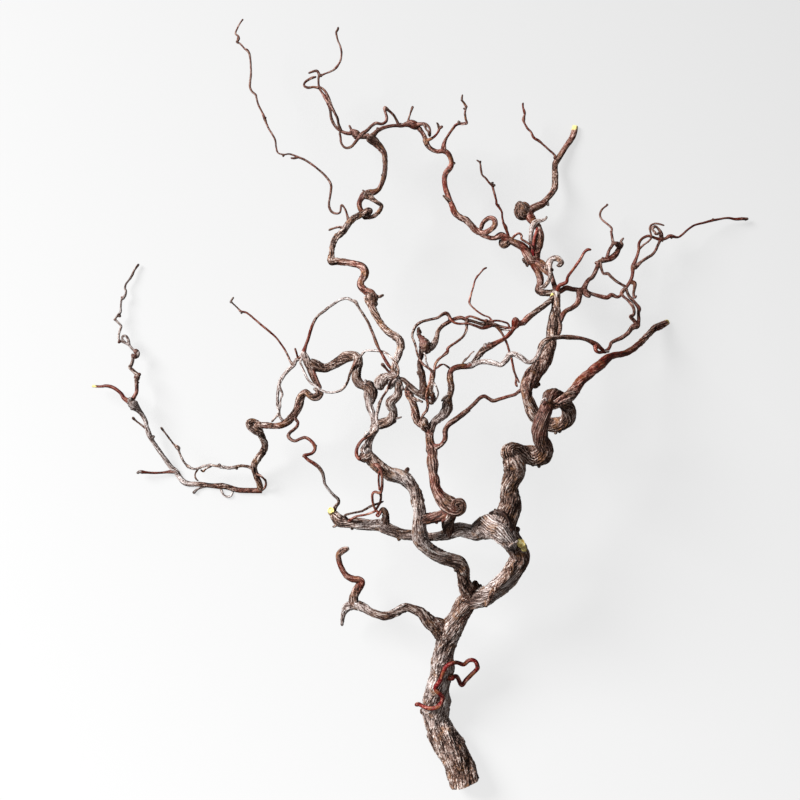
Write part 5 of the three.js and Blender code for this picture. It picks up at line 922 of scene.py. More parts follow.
# %% Knots
KNOTS = {
"trunk": """
  476 580.5 3.4, 481.5 584.5 2, 420 711 3, 427 737 2.6, 460 600 1.6, 447.5 624 1.8, 456.5 638.5 1.6,
  431 662.5 1.8, 449.5 703 2.4, 450 709.5 2""",
"right_limb": """
  518.5 532 3, 519.7 528 2.8, 503.5 470 1.8, 493 512 1.5, 496.5 511 1.6, 500 512 1.8, 503.5 513.5 1.8,
  506.5 516.5 1.8, 509 520.5 1.8, 511 525 1.7, 512.5 530 1.6, 495 508.5 1, 502 596.5 2.4, 512 548.5 1.8,
  516 551 1.6, 507.5 484 1.8, 516.5 489 1.4, 502 500 1.5""",
"left_limb_lower": "417.5 545 2.6, 454.5 571 2.2, 433 545 1.6",
"left_limb_upper": "408.3 467.3 1.8, 424.5 500 2",
"low_left_branch": "361 601.5 1.6, 416 615 1.6",
"s_bend": "533 466.5 1.8, 539 468 1.4",
"top_loop": "560 433 1.8, 555.5 434.5 1.3, 571 404 1.6, 550 389 1.6, 554.5 388.3 1.3",
"crossing_branch": """
  388.3 513.5 1.5, 384 507.8 1.4, 388.5 519.5 1.5, 377 519.5 1.4, 398.5 541 1.6, 352 530 1.4,
  415 543 1.4""",
"coil_limb": "437 524 1.6, 430 512.5 1.5, 443 521 1.4",
"upper_right_limb": "538.5 386.8 2.8, 540.3 385.5 1.8, 536 383 1.8, 523 391 1.8, 546 341 1.6",
"red_right_branch": "598 362 1.4",
"rising_branch": "484.5 343.3 1.9, 488.5 342 1.3, 482.7 356 1.6, 524.8 325 1.6",
"pale_branch": "609.5 351.5 1.3, 543 347 1.4",
"far_right_twig": """
  636 268.5 2.2, 662.5 242 0.9, 671.3 239 0.9, 712.7 218.3 1.2, 741.5 217.3 1.1, 745.5 220.7 1.2,
  747 217.8 1.1""",
"gall_branch": "618 243.5 2.1, 594.6 262.3 1.2, 602.5 256.8 1.3, 610 231.5 1.1",
"burl_strands": "553.7 270 1.6, 527.5 267 2, 522.5 258.5 2",
"knob_cluster": "518.5 216.5 2.2, 522.5 217.5 1.6, 530 208 2.4",
"yellow_tip_branch": "554.3 158 1.5, 569.5 138 1.6, 552 178 1.3",
"chain_left": "495.5 185 1.1, 493.5 182 1.1, 499.3 204.5 1.1, 481 160.8 0.9",
"chain_limb": """
  458.5 120.5 1.3, 467.6 106.8 1, 463 108.2 0.9, 460.6 100.2 1.1, 448 170.6 1.4, 455.5 163 1.2""",
"top_arm": "377 127.3 1.2, 400.5 122.8 1.3",
"bulb_limb": "388 161 1.2, 381 175 1.3",
"double_strand_twig": "349 125 0.9, 354.5 139 1.4, 320.8 75 1.1, 328 104 1.3",
"curl_limb": "386.5 404 1.6, 396 422.5 1.6",
"top_limb_lower": "393 340 1.6, 404.5 346 1.3, 377.8 303.5 2.4, 365.5 299 2.2",
"top_limb_upper": "332.3 265.5 1.2, 359.5 277 1.3, 352 219.5 1.3",
"long_twig": "235.8 41.3 1.2, 283 157 0.9, 266.5 117.5 1, 343.5 205.5 1",
"strap_coil": "314.8 387.8 1, 229.8 302.7 1, 241.3 314 1, 276 405 1.2",
"lower_left_limb": """
  154.7 436 1.3, 130.5 409.5 1.8, 136.5 473.2 1.2, 150.5 433 1.4, 133 409 2.6, 137.3 401.5 2.2,
  131.5 398.5 1.8, 127.5 404 1.8, 103 387.7 0.9""",
"corner_limb": "219.5 463.4 1.5, 237 469.8 1.3, 160.8 427 1, 267.5 447 1.2",
"left_chain": """
  118 343 1.2, 120.8 317 1.4, 140.6 373.3 1.4, 113.6 320 0.9, 135.3 355 2, 136.5 351.5 1.8, 136 377.5 2,
  139.3 382.5 0.9, 132.3 353.5 1.2, 121 296.7 1""",
"middle_limb": """
  429.5 343.5 3, 421.8 331.8 1.4, 416.5 372.5 1.2, 434.8 398.5 1.2, 417 334.5 1.5, 421.2 331 1.5,
  417 329 1.2, 419.7 344 1.6, 430.5 352 2, 427 340.5 1.8, 422 351.5 2, 419 341 1.7, 433.5 344.5 1.8,
  424.5 336.5 1.6, 417 374 1.5, 419.5 386 1.2""",
"double_arch": "486 322 1.5, 469 301 0.8, 512 353 0.9",
"squiggle_twig": "286.6 435 1, 317 445.5 1, 302.5 457 1",
}
print("knots on", len(KNOTS), "parts")

# %% [markdown]
# ## Where the bark is red and where it is silver
# The bark changes along a limb: it is grey-brown where it is old, dark red where it is young and
# smooth, and silver where sun and rain have bleached it. On a few limbs, such as the middle of the
# stem, part of the right limb and the swelling, the silver is also painted light that lifts parts
# which turn away from the lamp. A tone of 0 is grey-brown, 1 is dark red and -1 is silver, and above 1
# comes the bright red of the newest growth. Some limbs are also darker than others: partly stained or
# crusted, and partly with painted shade where they lie in shade under or behind other limbs, and a
# second list says how much. The values of a limb are spread evenly from its root to its tip, and a
# limb that has none takes those of its kind of wood.

# %% Tone of the bark along each limb
WOOD_TONE = {"old_wood": 0.1, "young_wood": 0.65, "pale_wood": -0.6, "twig_wood": 0.5}
# Painted light in part: the silver values in the middle of the trunk, on part of right_limb and on the
# swelling also lift parts that turn away from the lamp.
TONES = values_of("""
  trunk 0 -0.2 -0.5 -0.5 -0.3 0, tendril 1.2 1.3 1.4 1.4 1.2,
  right_limb 0.3 0.2 -0.8 -0.4 0.2 0.2 0.2 0 -0.1 -0.1, left_limb_lower 0.5 0.3 0 -0.3 -0.5 -0.5,
  left_limb_upper -0.5 -0.5 -0.4 -0.4 -0.5 -0.1 -0.1 -0.6 -0.7,
  crossing_branch 0.1 -0.4 -0.6 -0.5 -0.3 -0.3 -0.5 -0.6 -0.3 0.3,
  low_left_branch 0 0.1 0 -0.1 -0.9 -0.2, low_left_shoot 0.1 0.6 0.7 0.2, coil_core 0.5,
  coil_root -0.5 0.3 0.5 0.6, coil_foot 0.3, coil_limb 0.35 0.35 0.35 0.5 0.4 0.45 0.3,
  fork_left_limb 0.5 0.4 0.3, fork_right_limb 0.1 -0.5 -0.1 0.6 0.6, s_bend 0 0 0.1 0.45 0.5,
  top_loop 0.5 0.35 0.1 0.1 0.3, upper_right_limb 0.3 0.4 0.2 0 0.2, red_strand 0.8 -0.2 0.6,
  red_right_branch 0.1 0.4 0.8 0.9 0.6 0.4 0.5, rising_branch -0.7 0.3 0.8 0.7 -0.1 0.1,
  rising_ball 0.8, pale_branch -1 -1.4 -1.1 -1.2 -0.3 0.3 0.5 0.6 0.8, pale_branch_strand 0.7,
  far_right_twig 0.8, red_twig 0.9 1 0.9, burl 0.4, left_strand -0.4 -0.4 0.3 0.5 0.5 0.6,
  right_strand 0.5, burl_hook 0.4 -0.6 -0.6 0, lens_right 0.4 0.3, lens_left 0.5 -0.3 -0.6 -0.6,
  knob_cluster 0.5, knob_lobe 0.35 0.2 0, yellow_tip_branch 0.5 0.4 0.2 0.5 0.5, chain_left 0.5,
  chain_ring 0.6 0.4, chain_twig 0.8 0.8 0.6, chain_limb 0.6 0.4 0.7 0.7 0.6 0.4 0.5,
  chain_end_twig 0.5 0.7 0.6, chain_high_twig 0.5, chain_mid_twig 0.6, bulb_limb 0.4 0.4 0.6,
  curl_limb -0.5 -0.2 -0.4 0.2, top_limb_lower -0.6 -0.4 0.2 0.3, gall_twig -0.2 -0.5,
  top_limb_upper 0.5 0.5 0.5 -0.1 -0.2 0.1, strap_coil -0.6 -0.1 0.4 0.5 0.1 -0.4,
  strap_side_branch -0.5 -0.6 -0.9 -0.9 -0.1, left_thin_twig 0.2 0.7 0.8 0.8 -0.3,
  pale_limb -0.9 -0.7 -0.2 0 0.1 -0.1 0, pale_side_strand 0.2 0.1 -0.4, left_arm -0.1 0.3 0.4 0.3,
  corner_limb -0.1 0 0.1 0.3 0, corner_long_twig 0.2 -0.7 -0.5 -0.5 -0.2 0.2,
  lower_left_limb 0.5 0.4 0.1 -1.3 -1.5 -1.3 -0.3, lower_left_side 0.4 0.8 0.7,
  left_red_twig 0.6 1.2 1.2 1, left_chain 0.9 0.3 -0.4 -1 -0.6 -0.8 -0.4 0.2, left_chain_spur -1,
  arch_twig 0.9 0.7 -0.9 -0.9 0.3 0.6 0.9, squiggle_twig 0.4 0.5 0.8 0.7 -1.2 0.5,
  middle_limb 0.3 0.3 0.5 1, middle_ball -0.4, double_arch 0.7 0.2 0.6 0.3 -0.5,
  arc_loop 0.5 0.4 0.2 0.4 0, cross_twig 0.7 0.4 0.5 0.5, stem_splinter -0.3,
  swelling 0 -0.4 -0.6 -0.6 -0.4, torn_bark -1.4, crust_collar 0.2, torn_patch -1.3, ring_thorn 0.2,
  low_strip -1, pale_lump -0.8, crook_strand -0.8, coil_top 0.3, coil_ear 0.3 -0.6,
  coil_pale_bud -1.2, pale_stitch -0.8, cross_strand 0.2, hair_twig 0.3, inner_curl 0.4,
  pale_curl -0.5 -0.3 -0.5, lens_middle 1.4, lens_link 0.6, lens_top_twig -0.6, yellow_pale_spur -0.8,
  chain_loop 0.5, arm_curl 0.4, second_strand 0.4, pale_knot 0.1,
  winding_vine -1.4 -1.3 -1.2 -0.3 0.5 -1.3 -0.5 0.3 0.4 -1 0.7 0.7, curl_thorn -1,
  strap_eye 0.2 -0.1, strap_edge 0.6, strap_top_twig 0.5, corner_heel -0.3 0, corner_loop 0.4,
  corner_curl 0.4, upper_left_twig 0.3, second_tip 0.8, inner_red 0.8, second_loop 0.6 -0.5,
  red_hook 0.8, middle_vine 0.2 0.6 0.3, down_vine 0.5 0.3, eye_buds -0.9 0.6 0.7, inside_twig -0.6,
  eye_loop -0.5, mid_hair 0.5, arch_top_strand 0.6, arch_low_strand 0.7, arch_pale_strand -0.7,
  step_twig 0.4""")
print(len(TONES), "limbs with a tone of their own")

# %% Stain and painted shade along each limb
# Painted shade as well as stain: some of these values darken limbs that lie in shade under or behind
# others, such as the middle limb, the lower left limb and the end of the left arm.
WOOD_STAIN_AND_SHADE = {"old_wood": 0.0, "young_wood": 0.1, "pale_wood": 0.0, "twig_wood": 0.36}
STAIN_AND_SHADE = values_of("""
  trunk 0 0 0 0 0.15 0.25, right_limb 0.2 0.4 0 0 0.3 0.45 0.3 0.2 0, left_limb_lower 0.1 0.5 0.35,
  crossing_branch 0.15, crossing_stub 0.3 0.7 0.85, low_left_branch 0.6 0.6 0.55 0.1 0.4,
  coil_root 0.2 0.3 0.4, coil_foot 0.4, coil_limb 0.25 0.25 0.2, s_bend 0 0 0.1 0.5 0.6,
  top_loop 0.6 0.5 0.1 0.2 0.2, upper_right_limb 0.25 0.1 0, far_right_twig 0.45, burl 0.5,
  left_strand 0.35, right_strand 0.3, lens_right 0.3, knob_cluster 0.15, chain_twig 0.45,
  chain_limb 0.1 0 0.1, chain_end_twig 0.3, chain_high_twig 0.35, bulb_limb 0.5 0.5 0.35,
  curl_limb 0.25, gall_twig 0.2, strap_coil 0 0 0.1 0.15 0.3,
  pale_limb 0 0.1 0.2 0.45 0.5 0.35 0.2 0.1 0.2 0.3, pale_side_strand 0.4 0.5 0.3,
  left_arm 0.1 0.1 0.1 0.15 0.85, lower_left_limb 0 0 0 0 0 0 0.65, lower_left_side 0.3 0.3 0.65,
  left_red_twig 0.4 0.55 0.35, arch_twig 0.3, red_loop_strand 0.4, middle_arm 0.5 0.6,
  middle_limb 0.75 0.7 0.5 0.55, cross_twig 0.3, crust_collar 0.92, ring_thorn 0.6,
  pale_knot 0.3 0.5 0.3, strap_eye 0.3, upper_left_twig 0.2 0.2 0.7, under_twig 0.3 0.3 0.75,
  second_loop 0.8 0.7 0.3, arch_knot_twig 0.2 0.4, eye_buds 0.4 0.88 0.88 0.8""")
print(len(STAIN_AND_SHADE), "limbs that are darker or lighter than their wood")

# %% [markdown]
# ## From the drawing to the real branch
# The notes follow a limb closely as it is seen from above, but they give its height only here and
# there. So the heights come first: they are spread evenly along the limb, and its root is as high as
# the middle of the limb that it grows out of.

# %% Lengths and nearest places along a drawn limb
LIMBS = {name: limb for part in PARTS.values() for name, limb in part.items()}


def stations(points):
    """Length of the drawn line up to each of its points, in squares."""
    steps = [math.dist(a[:2], b[:2]) for a, b in zip(points, points[1:])]
    return [0, *np.cumsum(steps)]


@functools.lru_cache(maxsize=None)
def nearest_place(name, across, down):
    """The place on a limb's middle line nearest to a square: across, down, height and segment."""
    points, heights = LIMBS[name]["points"], rise_of(name)
    best = None
    for i, (a, b) in enumerate(zip(points, points[1:])):
        run, drop = b[0] - a[0], b[1] - a[1]
        t = ((across - a[0]) * run + (down - a[1]) * drop) / (run * run + drop * drop)
        t = min(max(t, 0), 1)
        spot = (a[0] + run * t, a[1] + drop * t)
        apart = math.dist(spot, (across, down))
        if best is None or apart < best[0]:
            best = (apart, *spot, heights[i] + (heights[i + 1] - heights[i]) * t, i + t)
    return best[1:]


def girth(name, place):
    """Radius of a limb at a place on it, in squares."""
    radii = [point[2] for point in LIMBS[name]["points"]]
    return float(np.interp(place, range(len(radii)), radii))


print(len(LIMBS), "limbs and strands in", len(PARTS), "parts")
print(f"the stem is drawn {stations(LIMBS['trunk']['points'])[-1] * GRID:.3f} m long")

# %% [markdown]
# A strand that lies on another limb takes its height from that limb's round surface: over the middle
# line it is one radius up, and towards the edge it comes down as a circle does. Where the limb climbs,
# and where the eye looks at it from the side, its surface is met a little higher. The strand is first
# given more points, because a straight piece between two of them would cut through the wood.

# %% Strands that lie on a limb
PRESSED = 0.9        # how much of its own radius a strand stands out from the limb's surface
RIDGES = 1.15        # how far the ridges of the bark reach out, in radii of the limb


def finer(points, parts=4):
    """The same drawn line with more points, rounded between the old ones."""
    rows = np.array([points[0], *points, points[-1]], float)
    made = []
    for a, b, c, d in zip(rows, rows[1:], rows[2:], rows[3:]):
        for t in np.arange(parts) / parts:
            bend = (2 * a - 5 * b + 4 * c - d) * t ** 2 + (3 * b - a - 3 * c + d) * t ** 3
            made.append(b + 0.5 * ((c - a) * t + bend))
    return [*(tuple(map(float, row)) for row in made), tuple(points[-1])]


def on_surface(name, across, down, radius):
    """Height at which a strand of this radius lies on a limb, in steps."""
    middle_across, middle_down, height, place = nearest_place(name, across, down)
    reach = girth(name, place) * RIDGES + PRESSED * radius
    off = math.dist((middle_across, middle_down), (across, down))
    points, heights = LIMBS[name]["points"], rise_of(name)
    i = min(int(place), len(points) - 2)
    run, drop = points[i + 1][0] - points[i][0], points[i + 1][1] - points[i][1]
    length = math.hypot(run, drop)
    climb = (heights[i + 1] - heights[i]) * LIFT / length
    lean = ((CENTRE[0] - across) * run + (CENTRE[1] - down) * drop) / length * GRID / (EYE - PLANE)
    above = math.sqrt(max(reach ** 2 - off ** 2, 0) * (1 + climb ** 2)) / (1 - climb * lean)
    return height + above / LIFT


for limb in LIMBS.values():
    if "on" in limb:
        limb["points"] = finer(limb["points"])
print("lying on a limb:", ", ".join(name for name, limb in LIMBS.items() if "on" in limb))

# %% Heights along a limb


@functools.lru_cache(maxsize=None)
def rise_of(limb_name):
    """Height of the middle line at each point of a limb, in steps."""
    limb = LIMBS[limb_name]
    points = limb["points"]
    if "on" in limb:
        heights = [max(on_surface(name, *point) for name in limb["on"].split())
                   for point in points]
        if "from" in limb:
            heights[0] = nearest_place(limb["from"], *points[0][:2])[2]
        return heights
    ends = list(limb.get("rise", []))
    if "from" in limb:
        root = nearest_place(limb["from"], *points[0][:2])[2]
        ends = [root, *ends, *(root + more for more in limb.get("over", []))]
    if "to" in limb:
        ends.append(nearest_place(limb["to"], *points[-1][:2])[2])
    along = stations(points)
    return list(np.interp(np.array(along) / along[-1] * (len(ends) - 1), range(len(ends)), ends))


highest = max(LIMBS, key=lambda name: max(rise_of(name)))
print(f"the highest limb is {highest}, {max(rise_of(highest)) * LIFT * GRID:.3f} m up")

# %% [markdown]
# A knot starts at the middle of the nearest limb of its part. One that is drawn beside the limb
# points sideways, and one that is drawn on it stands up towards the eye.

# %% Knots become short limbs
KNOT_ROOT, KNOT_WAIST = 1.2, 0.9     # radius at a knot's root and halfway out, against its tip's
KNOT_OUT = 0.5       # how much of its radius a knot on top of a limb stands out
ASIDE = 0.5          # a knot right on the middle line is moved this far, in squares


def knot_limb(part, across, down, radius):
    """A knot as a short limb out of the nearest limb of its part."""
    def clear_of(name):
        """How far the knot's tip is outside a limb, in squares."""
        place = nearest_place(name, across, down)
        return math.dist(place[:2], (across, down)) - girth(name, place[3])

    parent = min(PARTS[part], key=clear_of)
    root_across, root_down, height, place = nearest_place(parent, across, down)
    off = math.dist((root_across, root_down), (across, down))
    if off < ASIDE:
        across += ASIDE
    up = math.sqrt(max((girth(parent, place) + KNOT_OUT * radius) ** 2 - off ** 2, 0)) / LIFT
    halfway = ((root_across + across) / 2, (root_down + down) / 2, KNOT_WAIST * radius)
    return {"from": parent, "rise": [height + up], "knot": True, "points": [
            (root_across, root_down, KNOT_ROOT * radius), halfway, (across, down, radius)]}


for part, tips in KNOTS.items():
    knots = {f"{part}_knot_{i}": knot_limb(part, *tip) for i, tip in enumerate(drawn(tips))}
    LIMBS.update(knots)
    PARTS[part] = {**PARTS[part], **knots}
print(sum(len(drawn(tips)) for tips in KNOTS.values()), "knots")

# %% [markdown]
# A limb that is nearer to the eye looks larger and stands further from the centre of the drawing, so
# each point moves along its sight line until it has its height. No limb can reach below the table,
# and where the branch rests on it, the wood is worn a little flat.

# %% Where every point lies in space
SETTLE = 1.0 * MM    # how deep a limb that lies on the table is worn flat
OUTER_BARK = 0.2     # the loose bark outside the drawn radius, in squares


def in_space(across, down, height, radius):
    """A drawn point as x, y, z and radius in metres."""
    wanted = max(height * LIFT * GRID, radius * GRID - SETTLE)
    nearer = (EYE - wanted) / (EYE - PLANE)
    lowest = radius * GRID * nearer - SETTLE
    return ((across - CENTRE[0]) * GRID * nearer - ORIGIN[0],
            (CENTRE[1] - down) * GRID * nearer - ORIGIN[1],
            max(height * LIFT * GRID, lowest), (radius + OUTER_BARK) * GRID * nearer)


foot = [round(number, 4) for number in in_space(*LIMBS["trunk"]["points"][0][:2], 0, 0)[:2]]
print("the stem's foot is at", foot)

# %% [markdown]
# Where a limb simply goes on from another one's end, it borrows the last points of that one, so that
# the two run into each other inside the wood, and no step shows. Any other limb starts on the middle
# line of the one that it grows out of, and widens in a collar where it comes out of the wood.

# %% Limbs that go on from another one's end
GOES_ON = 1.8        # a limb goes on from another if it starts this many radii from its end
AS_THICK = 0.55      # and if it is at least this thick against it
HIDDEN = 0.4, 1.6    # it borrows points this far before its start, in its own radii
SLIMMER = 0.94       # and is this much thinner there, so that no borrowed part shows


def borrowed(name):
    """The points that a limb takes over from the one that it goes on from, or none."""
    limb = LIMBS[name]
    parent = LIMBS.get(limb.get("from"))
    if parent is None:
        return []
    across, down, radius = limb["points"][0]
    last = parent["points"][-1]
    far_off = math.dist((across, down), last[:2]) > GOES_ON * last[2]
    if far_off or radius < AS_THICK * last[2]:
        return []
    place = nearest_place(limb["from"], across, down)[3]
    heights = rise_of(limb["from"])
    kept = []
    for i in range(int(place), -1, -1):
        point = parent["points"][i]
        apart = math.dist(point[:2], (across, down))
        if apart > HIDDEN[0] * radius:
            kept.insert(0, (*point[:2], heights[i], min(point[2], radius) * SLIMMER))
        if apart > HIDDEN[1] * radius:
            break
    return kept


going_on = [name for name in LIMBS if borrowed(name)]
print(len(going_on), "limbs go on from another one's end, such as", going_on[0])

# %% Where every limb lies
COLLAR = 0.4         # how much wider a limb is where it leaves the one that it grows out of
COLLAR_LENGTH = 1.5  # how soon that is over, in radii


def route(name):
    """Rows of x, y, z and radius along a limb's middle line."""
    limb = LIMBS[name]
    heights = rise_of(name)
    rows = [(*point[:2], height, point[2]) for point, height in zip(limb["points"], heights)]
    lead_in = borrowed(name)
    if "from" in limb:
        across, down, _, place = nearest_place(limb["from"], *rows[0][:2])
        rows[0] = (across, down, *rows[0][2:])
        if not lead_in:
            beyond = np.maximum(np.array(stations(rows)) - girth(limb["from"], place), 0)
            wider = 1 + COLLAR * np.exp(-beyond / (COLLAR_LENGTH * rows[0][3]))
            rows = [(*row[:3], row[3] * more) for row, more in zip(rows, wider)]
    return np.array([in_space(*row) for row in lead_in + rows])


def lengths(rows):
    """Length from one row to the next, in metres."""
    return np.linalg.norm(np.diff(rows[:, :3], axis=0), axis=1)


print(f"{len(LIMBS)} limbs with {sum(lengths(route(name)).sum() for name in LIMBS):.2f} m of wood")

# %% [markdown]
# ## The tree that grows a limb
# A limb is a tube around its line, and old jujube bark is folded along it like twisted cloth. The
# tree smooths the line, sweeps a ring along it, and pushes each point in or out from the middle of
# the limb. Pushing away from the middle line is safer than along the normal, which points the wrong
# way inside a tight bend. The tree is long, so it is built in six steps, each in a cell of its own.

# %% Helpers for a group and for values on points
GEOMETRY, NUMBER, WHOLE = "NodeSocketGeometry", "NodeSocketFloat", "NodeSocketInt"
COLOUR, MATERIAL = "NodeSocketColor", "NodeSocketMaterial"


def new_group(name, kind, inputs, outputs):
    """An empty node group with named sockets: (name, socket kind, value) and (name, socket kind)."""
    tree = bpy.data.node_groups.new(name, kind)
    for label, socket_kind, value in inputs:
        socket = tree.interface.new_socket(label, in_out="INPUT", socket_type=socket_kind)
        if value is not None:
            socket.default_value = value
    for label, socket_kind in outputs:
        tree.interface.new_socket(label, in_out="OUTPUT", socket_type=socket_kind)
    return tree, tree.nodes.new("NodeGroupInput").outputs, tree.nodes.new("NodeGroupOutput").inputs


def read(tree, name, kind="FLOAT"):
    """A value that each point carries."""
    return add(tree, "GeometryNodeInputNamedAttribute", {"Name": name}, data_type=kind)


def store(tree, geometry, name, value, kind="FLOAT"):
    """The geometry with one more value on its points."""
    return add(tree, "GeometryNodeStoreNamedAttribute",
               {"Geometry": geometry, "Name": name, "Value": value}, data_type=kind, domain="POINT")


grow_limb, given, result = new_group("grow_limb", "GeometryNodeTree", [
    ("Line", GEOMETRY, None), ("Sides", WHOLE, 24), ("Step", NUMBER, 1.0 * MM),
    ("Furrow", NUMBER, 3.0 * MM), ("Stretch", NUMBER, 0.1), ("Fluting", NUMBER, 0.2),
    ("Relief", NUMBER, 0.5), ("Ribs", WHOLE, 12), ("Ribbing", NUMBER, 0.3),
    ("Lumps", NUMBER, 0.1), ("Crust", NUMBER, 0.3 * MM),
    ("Twist", NUMBER, 20.0), ("Hollow", NUMBER, 0.1), ("Seed", WHOLE, 0),
    ("Bark", MATERIAL, None), ("Cut", MATERIAL, None)],
    [("Limb", GEOMETRY)])
tree = grow_limb             # the tree that the next cells build
print("a limb is grown from:", ", ".join(socket.name for socket in given if socket.name))

# %% Step 1: a tube around the line, with a round end where the tip is free
THINNEST = 0.2 * MM          # radius that no twig goes below
TIP_LENGTH = 1.3             # a free tip is rounded off over this many radii
TIP_END = 0.04               # share of that length at which it is closed

position = add(tree, "GeometryNodeInputPosition")
line = add(tree, "GeometryNodeMeshToCurve", {"Mesh": given["Line"]})
line = add(tree, "GeometryNodeCurveSplineType", {"Curve": line}, spline_type="CATMULL_ROM")
line = add(tree, "GeometryNodeResampleCurve", {"Curve": line, "Length": given["Step"]},
           mode="LENGTH")
line = store(tree, line, "middle", position, "FLOAT_VECTOR")
thick = reckon(tree, "MAXIMUM", read(tree, "thickness"), THINNEST)
share = reckon(tree, "DIVIDE", read(tree, "from_tip"), reckon(tree, "MULTIPLY", thick, TIP_LENGTH))
missing = reckon(tree, "SUBTRACT", 1.0, add(tree, "ShaderNodeClamp",
                 {"Value": share, "Min": TIP_END, "Max": 1.0}))
rounded = reckon(tree, "SQRT", reckon(tree, "SUBTRACT", 1.0,
                 reckon(tree, "MULTIPLY", missing, missing)))
ring = add(tree, "GeometryNodeCurvePrimitiveCircle", {"Resolution": given["Sides"], "Radius": 1.0})
ring = store(tree, ring, "ring", position, "FLOAT_VECTOR")
tube = add(tree, "GeometryNodeCurveToMesh", {"Curve": line, "Profile Curve": ring,
           "Scale": reckon(tree, "MULTIPLY", thick, rounded), "Fill Caps": True})
print("nodes so far:", len(tree.nodes))

# %% [markdown]
# A point's place on the bark is where it stands around the limb and how far along it. The places turn
# slowly around the limb, as the grain of a contorted tree does, so that all furrows and ribs turn
# with them. Broad flutes come first: soft noise around the limb that changes slowly along it.

# %% Step 2: places on the bark, and broad flutes
FLUTE_PACE = 28.0            # how fast the flutes change along the limb, per m
FLUTE_SCALE = 1.35           # the larger, the more of them around the limb
SEED_STEP = (1.37, 0.61, 0)  # how far apart in the noise two seeds lie

along = read(tree, "along")
turned = add(tree, "ShaderNodeVectorRotate", {"Vector": read(tree, "ring", "FLOAT_VECTOR"),
             "Angle": reckon(tree, "MULTIPLY", along, given["Twist"])}, rotation_type="Z_AXIS")
bark = vector(tree, "ADD", scaled(tree, turned, thick),
              add(tree, "ShaderNodeCombineXYZ", {"Z": along}))
away = vector(tree, "MULTIPLY", SEED_STEP,
              add(tree, "ShaderNodeCombineXYZ", {"X": given["Seed"], "Y": given["Seed"]}))
onwards = add(tree, "ShaderNodeCombineXYZ", {"Z": reckon(tree, "MULTIPLY", along, FLUTE_PACE)})
where = vector(tree, "ADD", away, vector(tree, "ADD", turned, onwards))
flute = off_middle(tree, noise(tree, where, FLUTE_SCALE, 1.0))
print("nodes so far:", len(tree.nodes))

# %% [markdown]
# Furrows are much longer than they are wide. They lie where a noise that is stretched along the limb
# passes through its middle value, which leaves round ridges between them. Cracks run around the cells
# of a second pattern, and cut the ridges in plates. On some limbs ribs run side by side instead, as
# in twisted cloth, and wander a little around the limb.

# %% Step 3: ridges, from 0 at the bottom of a furrow to 1 at the top
FURROW_SCALE, FURROW_WALL = 0.8, 0.085    # pattern of the furrows, and where their walls end
CRACK_SCALE, CRACK_WALL = 0.55, 0.14      # the same for the cracks
CRACK_SHARE = 0.4                         # how much of the depth is cracks
RIB_WANDER = 17.0                         # how far the ribs wander, as an angle
RIB_PACE = 2.0                            # how fast along the limb, as a multiple of FLUTE_PACE
RIB_WAVE = 0.49, 0.5                      # half height and middle of the wave, which stays above 0
RIB_ROUND = 0.6                           # below 1 the ribs are round and the folds between are sharp

squeezed = add(tree, "ShaderNodeCombineXYZ", {"X": 1.0, "Y": 1.0, "Z": given["Stretch"]})
fine = scaled(tree, vector(tree, "MULTIPLY", bark, squeezed),
              reckon(tree, "DIVIDE", 1.0, given["Furrow"]))
fine = vector(tree, "ADD", fine, away)
furrow = off_middle(tree, noise(tree, fine, FURROW_SCALE, 3.0, 0.5, 0.25))
furrow = ramp(tree, reckon(tree, "ABSOLUTE", furrow), 0.0, FURROW_WALL)
crack = add(tree, "ShaderNodeTexVoronoi", {"Vector": fine, "Scale": CRACK_SCALE,
            "Randomness": 1.0}, feature="DISTANCE_TO_EDGE")
crack = ramp(tree, crack, 0.0, CRACK_WALL)
ridges = reckon(tree, "ADD", reckon(tree, "MULTIPLY", furrow, 1 - CRACK_SHARE),
                reckon(tree, "MULTIPLY", crack, CRACK_SHARE))
around = tree.nodes.new("ShaderNodeSeparateXYZ")
tree.links.new(turned, around.inputs[0])
angle = reckon(tree, "ARCTAN2", around.outputs["Y"], around.outputs["X"])
where = vector(tree, "ADD", away, vector(tree, "ADD", turned, scaled(tree, onwards, RIB_PACE)))
wander = reckon(tree, "MULTIPLY", noise(tree, where, 1.0, 1.0), RIB_WANDER)
rib = reckon(tree, "SINE", reckon(tree, "MULTIPLY_ADD", angle, given["Ribs"], wander))
rib = reckon(tree, "POWER", reckon(tree, "MULTIPLY_ADD", rib, *RIB_WAVE), RIB_ROUND)
ridges = add(tree, "ShaderNodeMix", {0: given["Ribbing"], 2: ridges, 3: rib}, data_type="FLOAT")
print("nodes so far:", len(tree.nodes))

# %% [markdown]
# Old wood is lumpy between its furrows, and flakes of dead bark lie on it like a crust, in some places
# and not in others. The lumps are soft noise in space. The plates are the cells of a pattern that is
# laid around the bark, so that they follow a limb through all its bends.

# %% Step 4: lumps, and a crust of plates that lies on the bark in patches
LUMP_SCALE = 110.0           # about 9 mm from lump to lump
PLATE_SCALE = 330.0          # about 3 mm from plate to plate
PLATE_LONG = (1, 1, 0.5)     # plates are twice as long as they are wide
PLATE_EDGE = 0.1, 0.62       # where a plate's top ends, and its foot
PATCH_SCALE = 42.0           # about 24 mm from patch to patch
PATCH_EDGE = 0.42, 0.6       # a patch comes in over these values of its noise

lump = off_middle(tree, noise(tree, vector(tree, "ADD", away, position), LUMP_SCALE, 3.0, 0.6))
where = vector(tree, "MULTIPLY", vector(tree, "ADD", bark, away), PLATE_LONG)
plate = add(tree, "ShaderNodeTexVoronoi", {"Vector": where, "Scale": PLATE_SCALE,
            "Randomness": 1.0}, feature="F1")
patch = ramp(tree, noise(tree, position, PATCH_SCALE), *PATCH_EDGE)
plate = reckon(tree, "MULTIPLY", ramp(tree, plate, *PLATE_EDGE, 1.0, 0.0), patch)
print("nodes so far:", len(tree.nodes))
